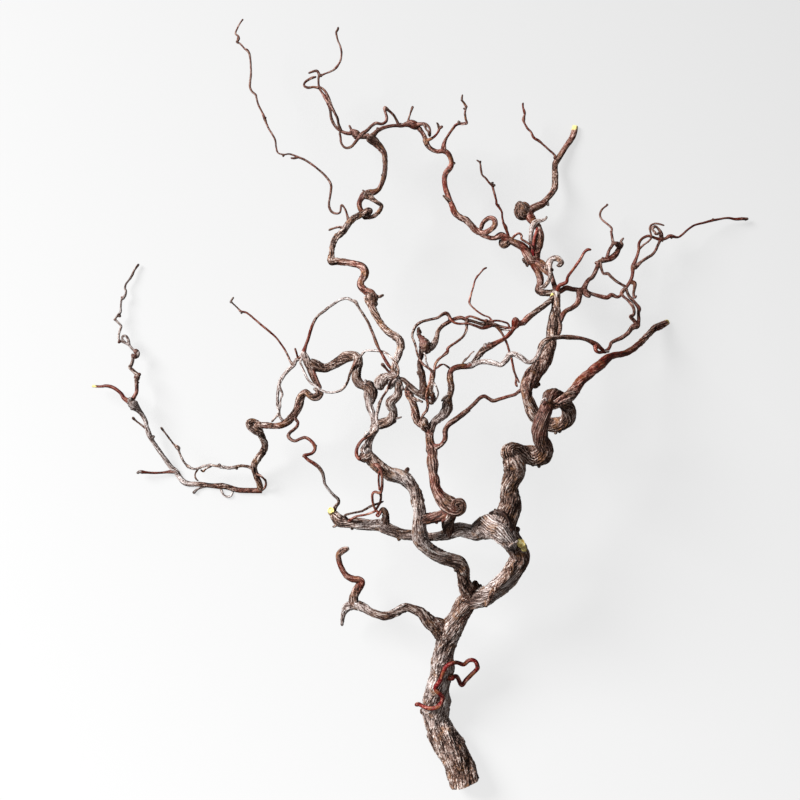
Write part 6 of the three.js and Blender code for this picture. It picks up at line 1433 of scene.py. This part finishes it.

# %% [markdown]
# Now the point moves in or out by all of these together. Furrows and crust have a depth in
# millimetres, and flutes and lumps a share of the limb's radius. Young red bark is smoother. How high
# each point lies is kept, and so is its place on the bark, so that the finish can paint shade into the
# low places and highlights onto the high ones, besides the bark's own darker furrows and paler crests.

# %% Step 5: push the points out, and nothing below the table
SMOOTH_TONE, SMOOTH = (0.15, 0.8), 0.25   # over these tones the relief goes down to this share
DRAWN_HEIGHT = 0.75          # height on a ridge at which the bark has its drawn radius
EVEN_HEIGHT = 0.85           # smooth bark looks as if it were mostly this high
SMOOTH_RIDGES = 0.3          # and shows this much of its ridges
FLUTES_SEEN, LUMPS_SEEN, PLATES_SEEN = 0.9, 0.8, 0.3    # how much each adds to the painted highlight on high places and the painted shade on low ones
PLATE_LEVEL = 0.3            # height on a plate's edge that counts as plain bark
FLOOR = (-1, -1, 0.1 * MM)   # no point lies lower, and none is as far out as 1 m

young = ramp(tree, read(tree, "tone"), *SMOOTH_TONE, 1.0, SMOOTH)
relief = reckon(tree, "MULTIPLY", reckon(tree, "MULTIPLY", given["Relief"], given["Furrow"]), young)
push = reckon(tree, "MULTIPLY", flute, given["Fluting"])
push = reckon(tree, "MULTIPLY_ADD", lump, given["Lumps"], push)
crust = reckon(tree, "MULTIPLY", reckon(tree, "MULTIPLY", plate, given["Crust"]), young)
crust = reckon(tree, "MULTIPLY_ADD", reckon(tree, "SUBTRACT", ridges, DRAWN_HEIGHT), relief, crust)
moved = reckon(tree, "MULTIPLY_ADD", push, thick, crust)
outwards = add(tree, "ShaderNodeVectorMath",
               {0: vector(tree, "SUBTRACT", position, read(tree, "middle", "FLOAT_VECTOR"))},
               operation="NORMALIZE")
hills_for_shading = reckon(tree, "MULTIPLY_ADD", flute, FLUTES_SEEN, reckon(tree, "MULTIPLY", lump, LUMPS_SEEN))
hills_for_shading = reckon(tree, "MULTIPLY_ADD", reckon(tree, "SUBTRACT", plate, PLATE_LEVEL), PLATES_SEEN,
               hills_for_shading)
height = add(tree, "ShaderNodeMix", {0: ramp(tree, young, SMOOTH, 1.0, SMOOTH_RIDGES),
             2: EVEN_HEIGHT, 3: ridges}, data_type="FLOAT")
# painted shade and highlight: this height tells the finish to darken low places and lighten high ones
tube = store(tree, tube, "relief", reckon(tree, "ADD", height, hills_for_shading))
tube = store(tree, tube, "bark", bark, "FLOAT_VECTOR")
tube = add(tree, "GeometryNodeSetPosition",
           {"Geometry": tube, "Offset": scaled(tree, outwards, moved)})
tube = add(tree, "GeometryNodeSetPosition",
           {"Geometry": tube, "Position": vector(tree, "MAXIMUM", position, FLOOR)})
tube = add(tree, "GeometryNodeSetMaterial", {"Geometry": tube, "Material": given["Bark"]})
print("nodes so far:", len(tree.nodes))

# %% [markdown]
# Where a limb was sawn or torn off, the flat cap of the tube becomes bare wood. A cap is the only face
# with more than four corners, so the tree finds it by that. It is drawn in once, which leaves a ring
# of bark around the wood, and is then pushed inwards: a little at a cut, and deep at a hollow end.

# %% Step 6: a cut end keeps a ring of bark, and its wood lies a little deeper
BARK_RING = 0.84             # the bare wood's radius, against the limb's
CUT_FROM = 0.98              # the value "cut" is 1 at a cut end and soon falls to 0

corners = add(tree, "GeometryNodeInputMeshFaceNeighbors")
is_cap = add(tree, "FunctionNodeCompare", {2: corners, 3: 4}, data_type="INT",
             operation="GREATER_THAN")
is_cut = add(tree, "FunctionNodeCompare", {0: read(tree, "cut"), 1: CUT_FROM}, data_type="FLOAT",
             operation="GREATER_THAN")
both = add(tree, "FunctionNodeBooleanMath", {0: is_cap, 1: is_cut}, operation="AND")
rim = tree.nodes.new("GeometryNodeExtrudeMesh")
rim.inputs["Offset Scale"].default_value = 0
tree.links.new(tube, rim.inputs["Mesh"])
tree.links.new(both, rim.inputs["Selection"])
face = add(tree, "GeometryNodeScaleElements", {"Geometry": rim.outputs["Mesh"],
           "Selection": rim.outputs["Top"], "Scale": BARK_RING})
sunk = tree.nodes.new("GeometryNodeExtrudeMesh")
tree.links.new(face, sunk.inputs["Mesh"])
tree.links.new(rim.outputs["Top"], sunk.inputs["Selection"])
inwards = reckon(tree, "MULTIPLY", given["Hollow"], -1.0)
tree.links.new(reckon(tree, "MULTIPLY", read(tree, "thickness"), inwards),
               sunk.inputs["Offset Scale"])
bare_wood = add(tree, "FunctionNodeBooleanMath",
                {0: sunk.outputs["Top"], 1: sunk.outputs["Side"]}, operation="OR")
grown = add(tree, "GeometryNodeRealizeInstances", {"Geometry": sunk.outputs["Mesh"]})
grown = add(tree, "GeometryNodeSetMaterial", {"Geometry": grown, "Selection": bare_wood,
            "Material": given["Cut"]})
tree.links.new(grown, result["Limb"])
print(f"grow_limb has {len(grow_limb.nodes)} nodes")

# %% [markdown]
# ## Bark
# Old jujube bark is grey where the weather has reached it, dark brown at the bottom of its furrows
# and ochre where a flake has come off. Young bark is dark red and smoother, and bleached bark is
# silver. One node group holds all three and mixes them by the tone that each point carries. It also
# reads how high a point lies on its ridge and where it lies on the bark, and puts out a colour, a
# roughness and a height for the bump. The colour is partly painted light: low places get painted
# shade besides the brown of the furrows, and high ones a painted highlight besides the pale crests.

# %% Colours of the bark, as they look in daylight
# the furrow colours hold painted shade and the crest colours a painted highlight, besides the bark's
# own colours
BARK_COLOURS = {
    "grey": {"furrow": (30, 18, 14), "wood": (132, 100, 86), "crest": (236, 222, 213)},
    "red": {"furrow": (34, 10, 8), "wood": (114, 41, 28), "crest": (206, 146, 128)},
    "silver": {"furrow": (84, 65, 59), "wood": (200, 183, 177), "crest": (255, 252, 251)},
}
YOUNG_RED = (122, 26, 31)
# the last of these is the dark of dead buds and stains, and also serves as painted shade
OCHRE, FRESH_WOOD, DEAD_BUD_AND_SHADE = (162, 112, 68), (240, 220, 140), (34, 20, 17)


def daylight(colour):
    """A colour from 0 to 255 as the linear value that a shader uses."""
    return (*((c / 255) ** 2.2 for c in colour), 1.0)


def mixed(tree, share, a, b):
    """Two colours mixed by a share. Each is written as in daylight, or comes from the tree."""
    a, b = (daylight(c) if isinstance(c, tuple) else c for c in (a, b))
    return add(tree, "ShaderNodeMix", {0: share, 6: a, 7: b}, out=2, data_type="RGBA")


print(len(BARK_COLOURS), "kinds of bark")

# %% Bark group: what a point carries, and the patterns
GRAIN_LONG = (1, 1, 0.07)       # the fine grain is about 14 times as long as it is wide
PATCHES, SPECKS, FLAKES = 60.0, 520.0, 95.0    # scales of the noise: about 17, 2 and 11 mm

bark_skin, given, result = new_group("bark_skin", "ShaderNodeTree", [
    ("Ochre Amount", NUMBER, 0.5), ("Grain", NUMBER, 1.0 * MM)],
    [("Color", COLOUR), ("Roughness", NUMBER), ("Height", NUMBER)])
tree = bark_skin                # the tree that the next cells build
bark = add(tree, "ShaderNodeAttribute", attribute_name="bark", out="Vector")
relief, tone, bare, stain_and_shade = (add(tree, "ShaderNodeAttribute", attribute_name=name, out="Fac")
                            for name in ("relief", "tone", "bare", "stain_and_shade"))
place = add(tree, "ShaderNodeTexCoord", out="Object")
grain = noise(tree, vector(tree, "MULTIPLY", bark, GRAIN_LONG),
              reckon(tree, "DIVIDE", 1.0, given["Grain"]), 3.0, 0.65)
patches, specks, flakes = (noise(tree, place, scale, detail)
                           for scale, detail in ((PATCHES, 4.0), (SPECKS, 2.0), (FLAKES, 4.0)))
print("nodes so far:", len(tree.nodes))

# %% [markdown]
# The tone wanders a little with the patches and specks, so that no limb has one even colour. Then it
# chooses between grey, red and silver for the bottom of a furrow, the plain wood and the crest of a
# ridge alike. Red bark is also smoother, so fine grain shows less on it.

# %% Bark group: furrow, wood and crest in the colours of this tone
PATCHY, SPECKLED = 1.1, 0.5     # how far patches and specks move the tone
RED = 0.1, 0.9                  # over these tones grey turns to red
SILVER = 0.05, 0.8              # and over these, below zero, to silver
NEWEST = 1.0, 1.4               # over these the plain wood turns bright red
RED_ROUGH = 0.6                 # how rough red bark is against grey bark

here = reckon(tree, "MULTIPLY_ADD", off_middle(tree, patches), PATCHY, tone)
here = reckon(tree, "MULTIPLY_ADD", off_middle(tree, specks), SPECKLED, here)
redness = ramp(tree, here, *RED)
silver = ramp(tree, reckon(tree, "MULTIPLY", here, -1.0), *SILVER)
coat = {}
for label in ("furrow", "wood", "crest"):
    grey = mixed(tree, redness, BARK_COLOURS["grey"][label], BARK_COLOURS["red"][label])
    coat[label] = mixed(tree, silver, grey, BARK_COLOURS["silver"][label])
coat["wood"] = mixed(tree, ramp(tree, tone, *NEWEST), coat["wood"], YOUNG_RED)
rough = reckon(tree, "MULTIPLY_ADD", redness, RED_ROUGH - 1, 1.0)
print("nodes so far:", len(tree.nodes))

# %% [markdown]
# How high a point lies, with the fine grain added, says how much of each colour it has, so the low
# places carry painted shade and the high ones a painted highlight, besides the bark's own colours. The
# rest lies on top: pale crests in patches, partly weathered bark and partly painted highlight, ochre
# where a flake is gone, darkness on dead buds and stained limbs that is also painted shade on limbs
# lying in shade, and yellow wood at a torn tip.

# %% Bark group: colour, roughness and height
GRAINY, SPECKY = 2.3, 1.5       # how far grain and specks move the level that the colours follow
WOOD_LEVEL = 0.2, 0.78          # from furrow to wood, partly painted shade in the low places
CREST_LEVEL = 0.7, 1.12         # from wood to crest, partly painted highlight on the high places
CREST_PATCHES = 0.34, 0.6, 0.45    # crests are weaker between the patches
FLAKED, FLAKED_LEVEL = (0.54, 0.66), (0.15, 0.5)    # ochre comes in over these, but not in furrows
STAIN_AND_SHADE_SPECKS = 0.3, 0.6, 0.7         # the stain and painted shade are a little weaker between the specks
TORN_EDGE, TORN_GRAIN = (0.35, 0.6), 0.8    # the edge of a torn tip, and how the grain frays it
ROUGHNESS, MOTTLED = (0.42, 0.8), 0.1       # of red and of grey bark, and how uneven it is
SPECK_BUMP = 0.3                # height of the specks against the grain

mottle = reckon(tree, "MULTIPLY_ADD", off_middle(tree, grain), GRAINY,
                reckon(tree, "MULTIPLY", off_middle(tree, specks), SPECKY))
level = reckon(tree, "MULTIPLY_ADD", mottle, rough, relief)
# painted shade and highlight: low levels take the furrow colour, high ones the crest colour
colour = mixed(tree, ramp(tree, level, *WOOD_LEVEL), coat["furrow"], coat["wood"])
lit = reckon(tree, "MULTIPLY", ramp(tree, level, *CREST_LEVEL), ramp(tree, patches, *CREST_PATCHES))
colour = mixed(tree, lit, colour, coat["crest"])
flaked = reckon(tree, "MULTIPLY", ramp(tree, flakes, *FLAKED), ramp(tree, level, *FLAKED_LEVEL))
colour = mixed(tree, reckon(tree, "MULTIPLY", flaked, given["Ochre Amount"]), colour, OCHRE)
# dead buds, stains and painted shade: the limb's darkness mixes in the dark colour
colour = mixed(tree, reckon(tree, "MULTIPLY", stain_and_shade, ramp(tree, specks, *STAIN_AND_SHADE_SPECKS)), colour, DEAD_BUD_AND_SHADE)
torn = reckon(tree, "MULTIPLY_ADD", off_middle(tree, grain), TORN_GRAIN, bare)
colour = mixed(tree, ramp(tree, torn, *TORN_EDGE), colour, FRESH_WOOD)
dull = reckon(tree, "MULTIPLY_ADD", mottle, MOTTLED, ramp(tree, rough, RED_ROUGH, 1.0, *ROUGHNESS))
tree.links.new(colour, result["Color"])
tree.links.new(dull, result["Roughness"])
tree.links.new(reckon(tree, "MULTIPLY_ADD", specks, SPECK_BUMP, grain), result["Height"])
print(f"bark_skin has {len(bark_skin.nodes)} nodes")

# %% [markdown]
# ## The finishes
# The four kinds of wood of this branch share the bark group. They differ in how fine their grain is
# and in how many flakes have come off. Each also paints shade into its colour towards the outline,
# where the limb turns away from the eye, in place of the furrows that hide their light sides there.

# %% Materials of the wood
EDGE_FROM = 0.3                 # where the painted shade starts: 0 faces the eye, 1 is the outline
OUTLINE_PAINTED_SHADE = 0.5                 # how dark the painted shade is at the outline
BARK_BUMP = {"Strength": 0.7, "Distance": 0.6 * MM}
WOODS = {"old_wood": {"Ochre Amount": 0.42, "Grain": 1.1 * MM},
         "young_wood": {"Ochre Amount": 0.25, "Grain": 0.9 * MM},
         "pale_wood": {"Ochre Amount": 0.12, "Grain": 0.9 * MM},
         "twig_wood": {"Ochre Amount": 0.2, "Grain": 0.7 * MM}}


def bark_finish(name):
    """The bark group with this wood's own values."""
    material, tree, skin = new_finish(name, Specular_IOR_Level=0.2)
    group = tree.nodes.new("ShaderNodeGroup")
    group.node_tree = bark_skin
    for label, value in WOODS[name].items():
        group.inputs[label].default_value = value
    # painted shade: the colour goes down towards the outline
    turned_away = add(tree, "ShaderNodeLayerWeight", {"Blend": 0.5}, out="Facing")
    shade = add(tree, "ShaderNodeMix", {0: ramp(tree, turned_away, EDGE_FROM, 1.0, 0.0, OUTLINE_PAINTED_SHADE),
                6: group.outputs["Color"], 7: (0.0, 0.0, 0.0, 1.0)}, out=2, data_type="RGBA")
    bump = add(tree, "ShaderNodeBump", {**BARK_BUMP, "Height": group.outputs["Height"]})
    tree.links.new(shade, skin.inputs["Base Color"])
    tree.links.new(group.outputs["Roughness"], skin.inputs["Roughness"])
    tree.links.new(bump, skin.inputs["Normal"])
    return material


FINISH = {name: bark_finish(name) for name in WOODS}
print("finishes:", ", ".join(FINISH))

# %% [markdown]
# Where a limb was sawn or broken, the wood inside shows. A fresh cut is yellow, the foot of the stem
# is grey-brown with its rings still to be seen, and a hollow end is dark. The rings are the distance
# from the pith, bent by a little noise, because no tree grows perfectly round.

# %% Materials of cut and broken ends
RING_WIDTH = 1.3 * MM
RING_WAVER = 2.0                # how far the pores bend a ring, as an angle
PORES, PORE_EDGE = 420.0, (0.35, 0.65)      # scale of the noise: about 2 mm
EARLY_WOOD = -0.6, 0.9          # where on a ring's wave the pale wood starts and is full
CUT_BUMP = {"Strength": 0.5, "Distance": 0.3 * MM}


def cut_finish(name, colours, pith=None):
    """Bare wood in two colours. With a pith it has growth rings around that point."""
    material, tree, skin = new_finish(name, Roughness=0.85)
    place = add(tree, "ShaderNodeTexCoord", out="Object")
    mottle = noise(tree, place, PORES, 3.0)
    share = ramp(tree, mottle, *PORE_EDGE)
    if pith is not None:
        apart = add(tree, "ShaderNodeVectorMath", {0: place, 1: pith}, out="Value",
                    operation="DISTANCE")
        rings = reckon(tree, "MULTIPLY_ADD", mottle, RING_WAVER,
                       reckon(tree, "MULTIPLY", apart, 2 * math.pi / RING_WIDTH))
        share = ramp(tree, reckon(tree, "SINE", rings), *EARLY_WOOD)
    bump = add(tree, "ShaderNodeBump", {**CUT_BUMP, "Height": share})
    tree.links.new(mixed(tree, share, *colours), skin.inputs["Base Color"])
    tree.links.new(bump, skin.inputs["Normal"])
    return material


pith = tuple(map(float, route("trunk")[0][:3]))
ENDS = {"fresh": (cut_finish("fresh_cut", [(222, 176, 84), (255, 244, 176)]), 0.08),
        "hollow": (cut_finish("hollow_end", [(30, 20, 17), (72, 50, 40)]), 1.1),
        "old": (cut_finish("old_cut", [(120, 96, 78), (176, 152, 128)], pith), 0.05)}
print("the pith of the stem's foot is at", [round(c, 4) for c in pith])

# %% [markdown]
# ## Growing the branch
# A limb becomes a chain of edges that carries its thickness, its length so far, the distance to its
# tip and the tone of its bark. Free tips and knots are darker, as dead buds are, and a torn tip shows
# bare wood.

# %% What each limb's line carries
FREE = 1.0               # distance given to an end that isn't free, m
BARE_TIP = 1.8 * MM      # length over which a torn tip loses 1 of its bareness
BARE_START = 1.4         # its bareness at the very end, before it is cut off at 1
BUD = 2.2 * MM           # length over which a free tip darkens
TIP_DUSK, KNOT_DUSK = 0.6, 0.55    # how dark a free tip and a knot are


def spread(values, along):
    """Values spread evenly from a limb's root to its tip, read at each of its points."""
    return np.interp(along / along[-1] * max(len(values) - 1, 1), range(len(values)), values)


def line_of(name, wood):
    """A limb's line as a mesh of edges that carries all this, and its radii."""
    limb, rows = LIMBS[name], route(name)
    along = np.concatenate([[0], np.cumsum(lengths(rows))])
    left = along[-1] - along
    free = "to" not in limb and "end" not in limb
    dead = KNOT_DUSK if limb.get("knot") else TIP_DUSK * np.exp(-left / BUD) * free
    values = {"thickness": rows[:, 3], "along": along, "from_tip": left + (0 if free else FREE),
              "cut": (left == 0) * float("end" in limb) + (along == 0) * float("foot" in limb),
              "tone": spread(TONES.get(name, [WOOD_TONE[wood]]), along),
              "stain_and_shade": np.maximum(spread(STAIN_AND_SHADE.get(name, [WOOD_STAIN_AND_SHADE[wood]]), along), dead),
              "bare": np.clip(BARE_START - left / BARE_TIP, 0, 1) * float(limb.get("end") == "fresh")}
    mesh = bpy.data.meshes.new(name)
    mesh.from_pydata(rows[:, :3].tolist(), [(i, i + 1) for i in range(len(rows) - 1)], [])
    for label, numbers in values.items():
        mesh.attributes.new(label, "FLOAT", "POINT").data.foreach_set(
            "value", np.asarray(numbers, np.float32))
    return mesh, rows[:, 3]


print("free tips:", sum("to" not in limb and "end" not in limb for limb in LIMBS.values()))

# %% [markdown]
# Each kind of wood has its own bark, and some limbs differ from their kind: the swelling is ribbed,
# the crust around a wound is lumpy, and the tendril is almost smooth.

# %% How each kind of wood grows
BARK = {"old_wood": {"Fluting": 0.5, "Relief": 0.7, "Ribbing": 0.35, "Lumps": 0.22,
                     "Crust": 0.8 * MM, "Stretch": 0.13},
        "young_wood": {"Fluting": 0.45, "Relief": 0.6, "Ribbing": 0.4, "Lumps": 0.22,
                       "Crust": 0.3 * MM, "Stretch": 0.08},
        "pale_wood": {"Fluting": 0.4, "Relief": 0.5, "Ribbing": 0.4, "Lumps": 0.2,
                      "Crust": 0.25 * MM, "Stretch": 0.08},
        "twig_wood": {"Fluting": 0.3, "Relief": 0.4, "Ribbing": 0.3, "Lumps": 0.25,
                      "Crust": 0.2 * MM, "Stretch": 0.1}}
OWN_BARK = {"trunk": {"Stretch": 0.14, "Crust": 1.1 * MM, "Furrow": 1.8 * MM, "Ribbing": 0.25},
            "tendril": {"Fluting": 0.2, "Relief": 0.2, "Lumps": 0.15},
            "right_limb": {"Stretch": 0.1, "Crust": 0.8 * MM, "Ribbing": 0.35},
            "swelling": {"Stretch": 0.05, "Ribbing": 0.75, "Relief": 1.0, "Crust": 0.3 * MM},
            "crust_collar": {"Crust": 1.4 * MM, "Lumps": 0.9, "Fluting": 0.8},
            "left_limb_lower": {"Stretch": 0.12, "Crust": 0.8 * MM, "Ribbing": 0.25},
            "crossing_branch": {"Stretch": 0.06, "Ribbing": 0.5, "Crust": 0.2 * MM},
            "crossing_stub": {"Crust": 0.9 * MM, "Lumps": 0.5},
            "low_left_branch": {"Lumps": 0.35},
            "coil_root": {"Crust": 1.3 * MM, "Lumps": 0.6},
            "coil_limb": {"Stretch": 0.04, "Ribbing": 0.75, "Relief": 0.9, "Crust": 0.1 * MM,
                          "Twist": 8.0},
            "fork_right_limb": {"Ribbing": 0.6, "Relief": 0.7},
            "s_bend": {"Stretch": 0.05, "Ribbing": 0.7, "Crust": 0.3 * MM},
            "top_loop": {"Stretch": 0.06, "Ribbing": 0.6, "Crust": 0.4 * MM},
            "upper_right_limb": {"Ribbing": 0.3, "Relief": 0.5, "Crust": 0.3 * MM},
            "red_right_branch": {"Relief": 2.2, "Ribbing": 0.75, "Lumps": 0.4, "Crust": 1.0 * MM,
                                 "Stretch": 0.07, "Fluting": 0.6},
            "gall_twig": {"Crust": 0.7 * MM, "Lumps": 0.5, "Relief": 1.0},
            "pale_knot": {"Crust": 0.8 * MM, "Lumps": 0.6, "Relief": 1.0},
            "corner_limb": {"Ribbing": 0.6, "Relief": 0.9, "Twist": 60.0},
            "middle_limb": {"Crust": 1.4 * MM, "Lumps": 0.7, "Stretch": 0.3}}
KNOT_BARK = {"Lumps": 0.5, "Fluting": 0.5, "Crust": 0.5 * MM}
print(len(OWN_BARK), "limbs with a bark of their own")

# %% [markdown]
# Thick limbs get more sides than thin ones, so that the facets are all about as small as a furrow
# needs. The seed comes from the limb's name, so that a limb keeps its furrows when others change.

# %% One limb
FACET = 0.75 * MM            # width of a facet around a limb
FEWEST, MOST = 10, 150       # sides of a limb
STEPS = 6                    # facets along a limb, over a length of one radius
SHORTEST, LONGEST = 0.7 * MM, 1.0 * MM    # but each is at least and at most this long
FURROW = 0.6 * MM            # width of a furrow where the radius is 1 mm
RIB_APART = 3.3 * MM         # from one rib to the next
FEWEST_RIBS = 3
GRAIN_TURN = 0.2             # how far the grain turns around the limb for each length along it
LEFT_TURNED = 3              # about one limb in this many turns the other way
TYPICAL = 80                 # a limb counts as thick as this percentile of its radii
SEEDS = 97                   # how many patterns of furrows there are
SOCKETS = {item.name: item.identifier for item in grow_limb.interface.items_tree
           if item.in_out == "INPUT"}


def grow(name, wood):
    """An object for one limb, with the tree on it."""
    mesh, radii = line_of(name, wood)
    limb = LIMBS[name]
    grown = bpy.data.objects.new(name, mesh)
    bpy.context.scene.collection.objects.link(grown)
    modifier = grown.modifiers.new("grow", "NODES")
    modifier.node_group = grow_limb
    thick = float(np.percentile(radii, TYPICAL))
    around = 2 * math.pi * thick
    seed = zlib.crc32(name.encode()) % SEEDS
    bare_wood, hollow = ENDS[limb.get("end", limb.get("foot", "fresh"))]
    inputs = {"Sides": int(min(max(around / FACET, FEWEST), MOST)),
              "Step": max(min(thick / STEPS, LONGEST), SHORTEST),
              "Furrow": FURROW * math.sqrt(thick / MM),
              "Ribs": max(round(around / RIB_APART), FEWEST_RIBS),
              "Twist": GRAIN_TURN / thick * (1 if seed % LEFT_TURNED else -1), "Seed": seed,
              "Bark": FINISH[wood], "Cut": bare_wood, "Hollow": hollow, **BARK[wood],
              **(KNOT_BARK if limb.get("knot") else {}), **OWN_BARK.get(name, {})}
    for label, value in inputs.items():
        modifier[SOCKETS[label]] = value
    return grown


print("the tree's inputs:", ", ".join(SOCKETS))

# %% [markdown]
# All limbs of one part are joined in one piece, as they grew. The piece keeps only the values that
# its finish reads. It then takes the place of the part's plain solid.

# %% One part
WOOD_OF = {row["node"]: row["material_slot"] for row in frame["record"]["subparts"]}
SHARP = math.radians(65)     # edges that are sharper than this aren't smoothed


def grow_part(part):
    """All limbs of a part, grown and joined in one plain mesh."""
    limbs = [grow(name, WOOD_OF[part]) for name in PARTS[part]]
    depsgraph = bpy.context.evaluated_depsgraph_get()
    for limb in limbs:
        mesh = bpy.data.meshes.new_from_object(limb.evaluated_get(depsgraph))
        limb.modifiers.clear()
        limb.data = mesh
    if len(limbs) > 1:
        with bpy.context.temp_override(active_object=limbs[0], selected_editable_objects=limbs):
            bpy.ops.object.join()
    piece = limbs[0]
    piece.name = piece.data.name = part + "_wood"
    for label in ("middle", "ring", "thickness", "along", "from_tip", "cut"):
        piece.data.attributes.remove(piece.data.attributes[label])
    piece.data.shade_smooth()
    piece.data.set_sharp_from_angle(angle=SHARP)
    return piece


triangles = {}
for part in PARTS:
    piece = grow_part(part)
    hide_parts(part)
    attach(piece, "root")
    piece.data.calc_loop_triangles()
    triangles[piece.name] = len(piece.data.loop_triangles)
print(f"{len(triangles)} pieces with {sum(triangles.values())} triangles in all")
print("most of them:", sorted(triangles.items(), key=lambda row: -row[1])[:2])
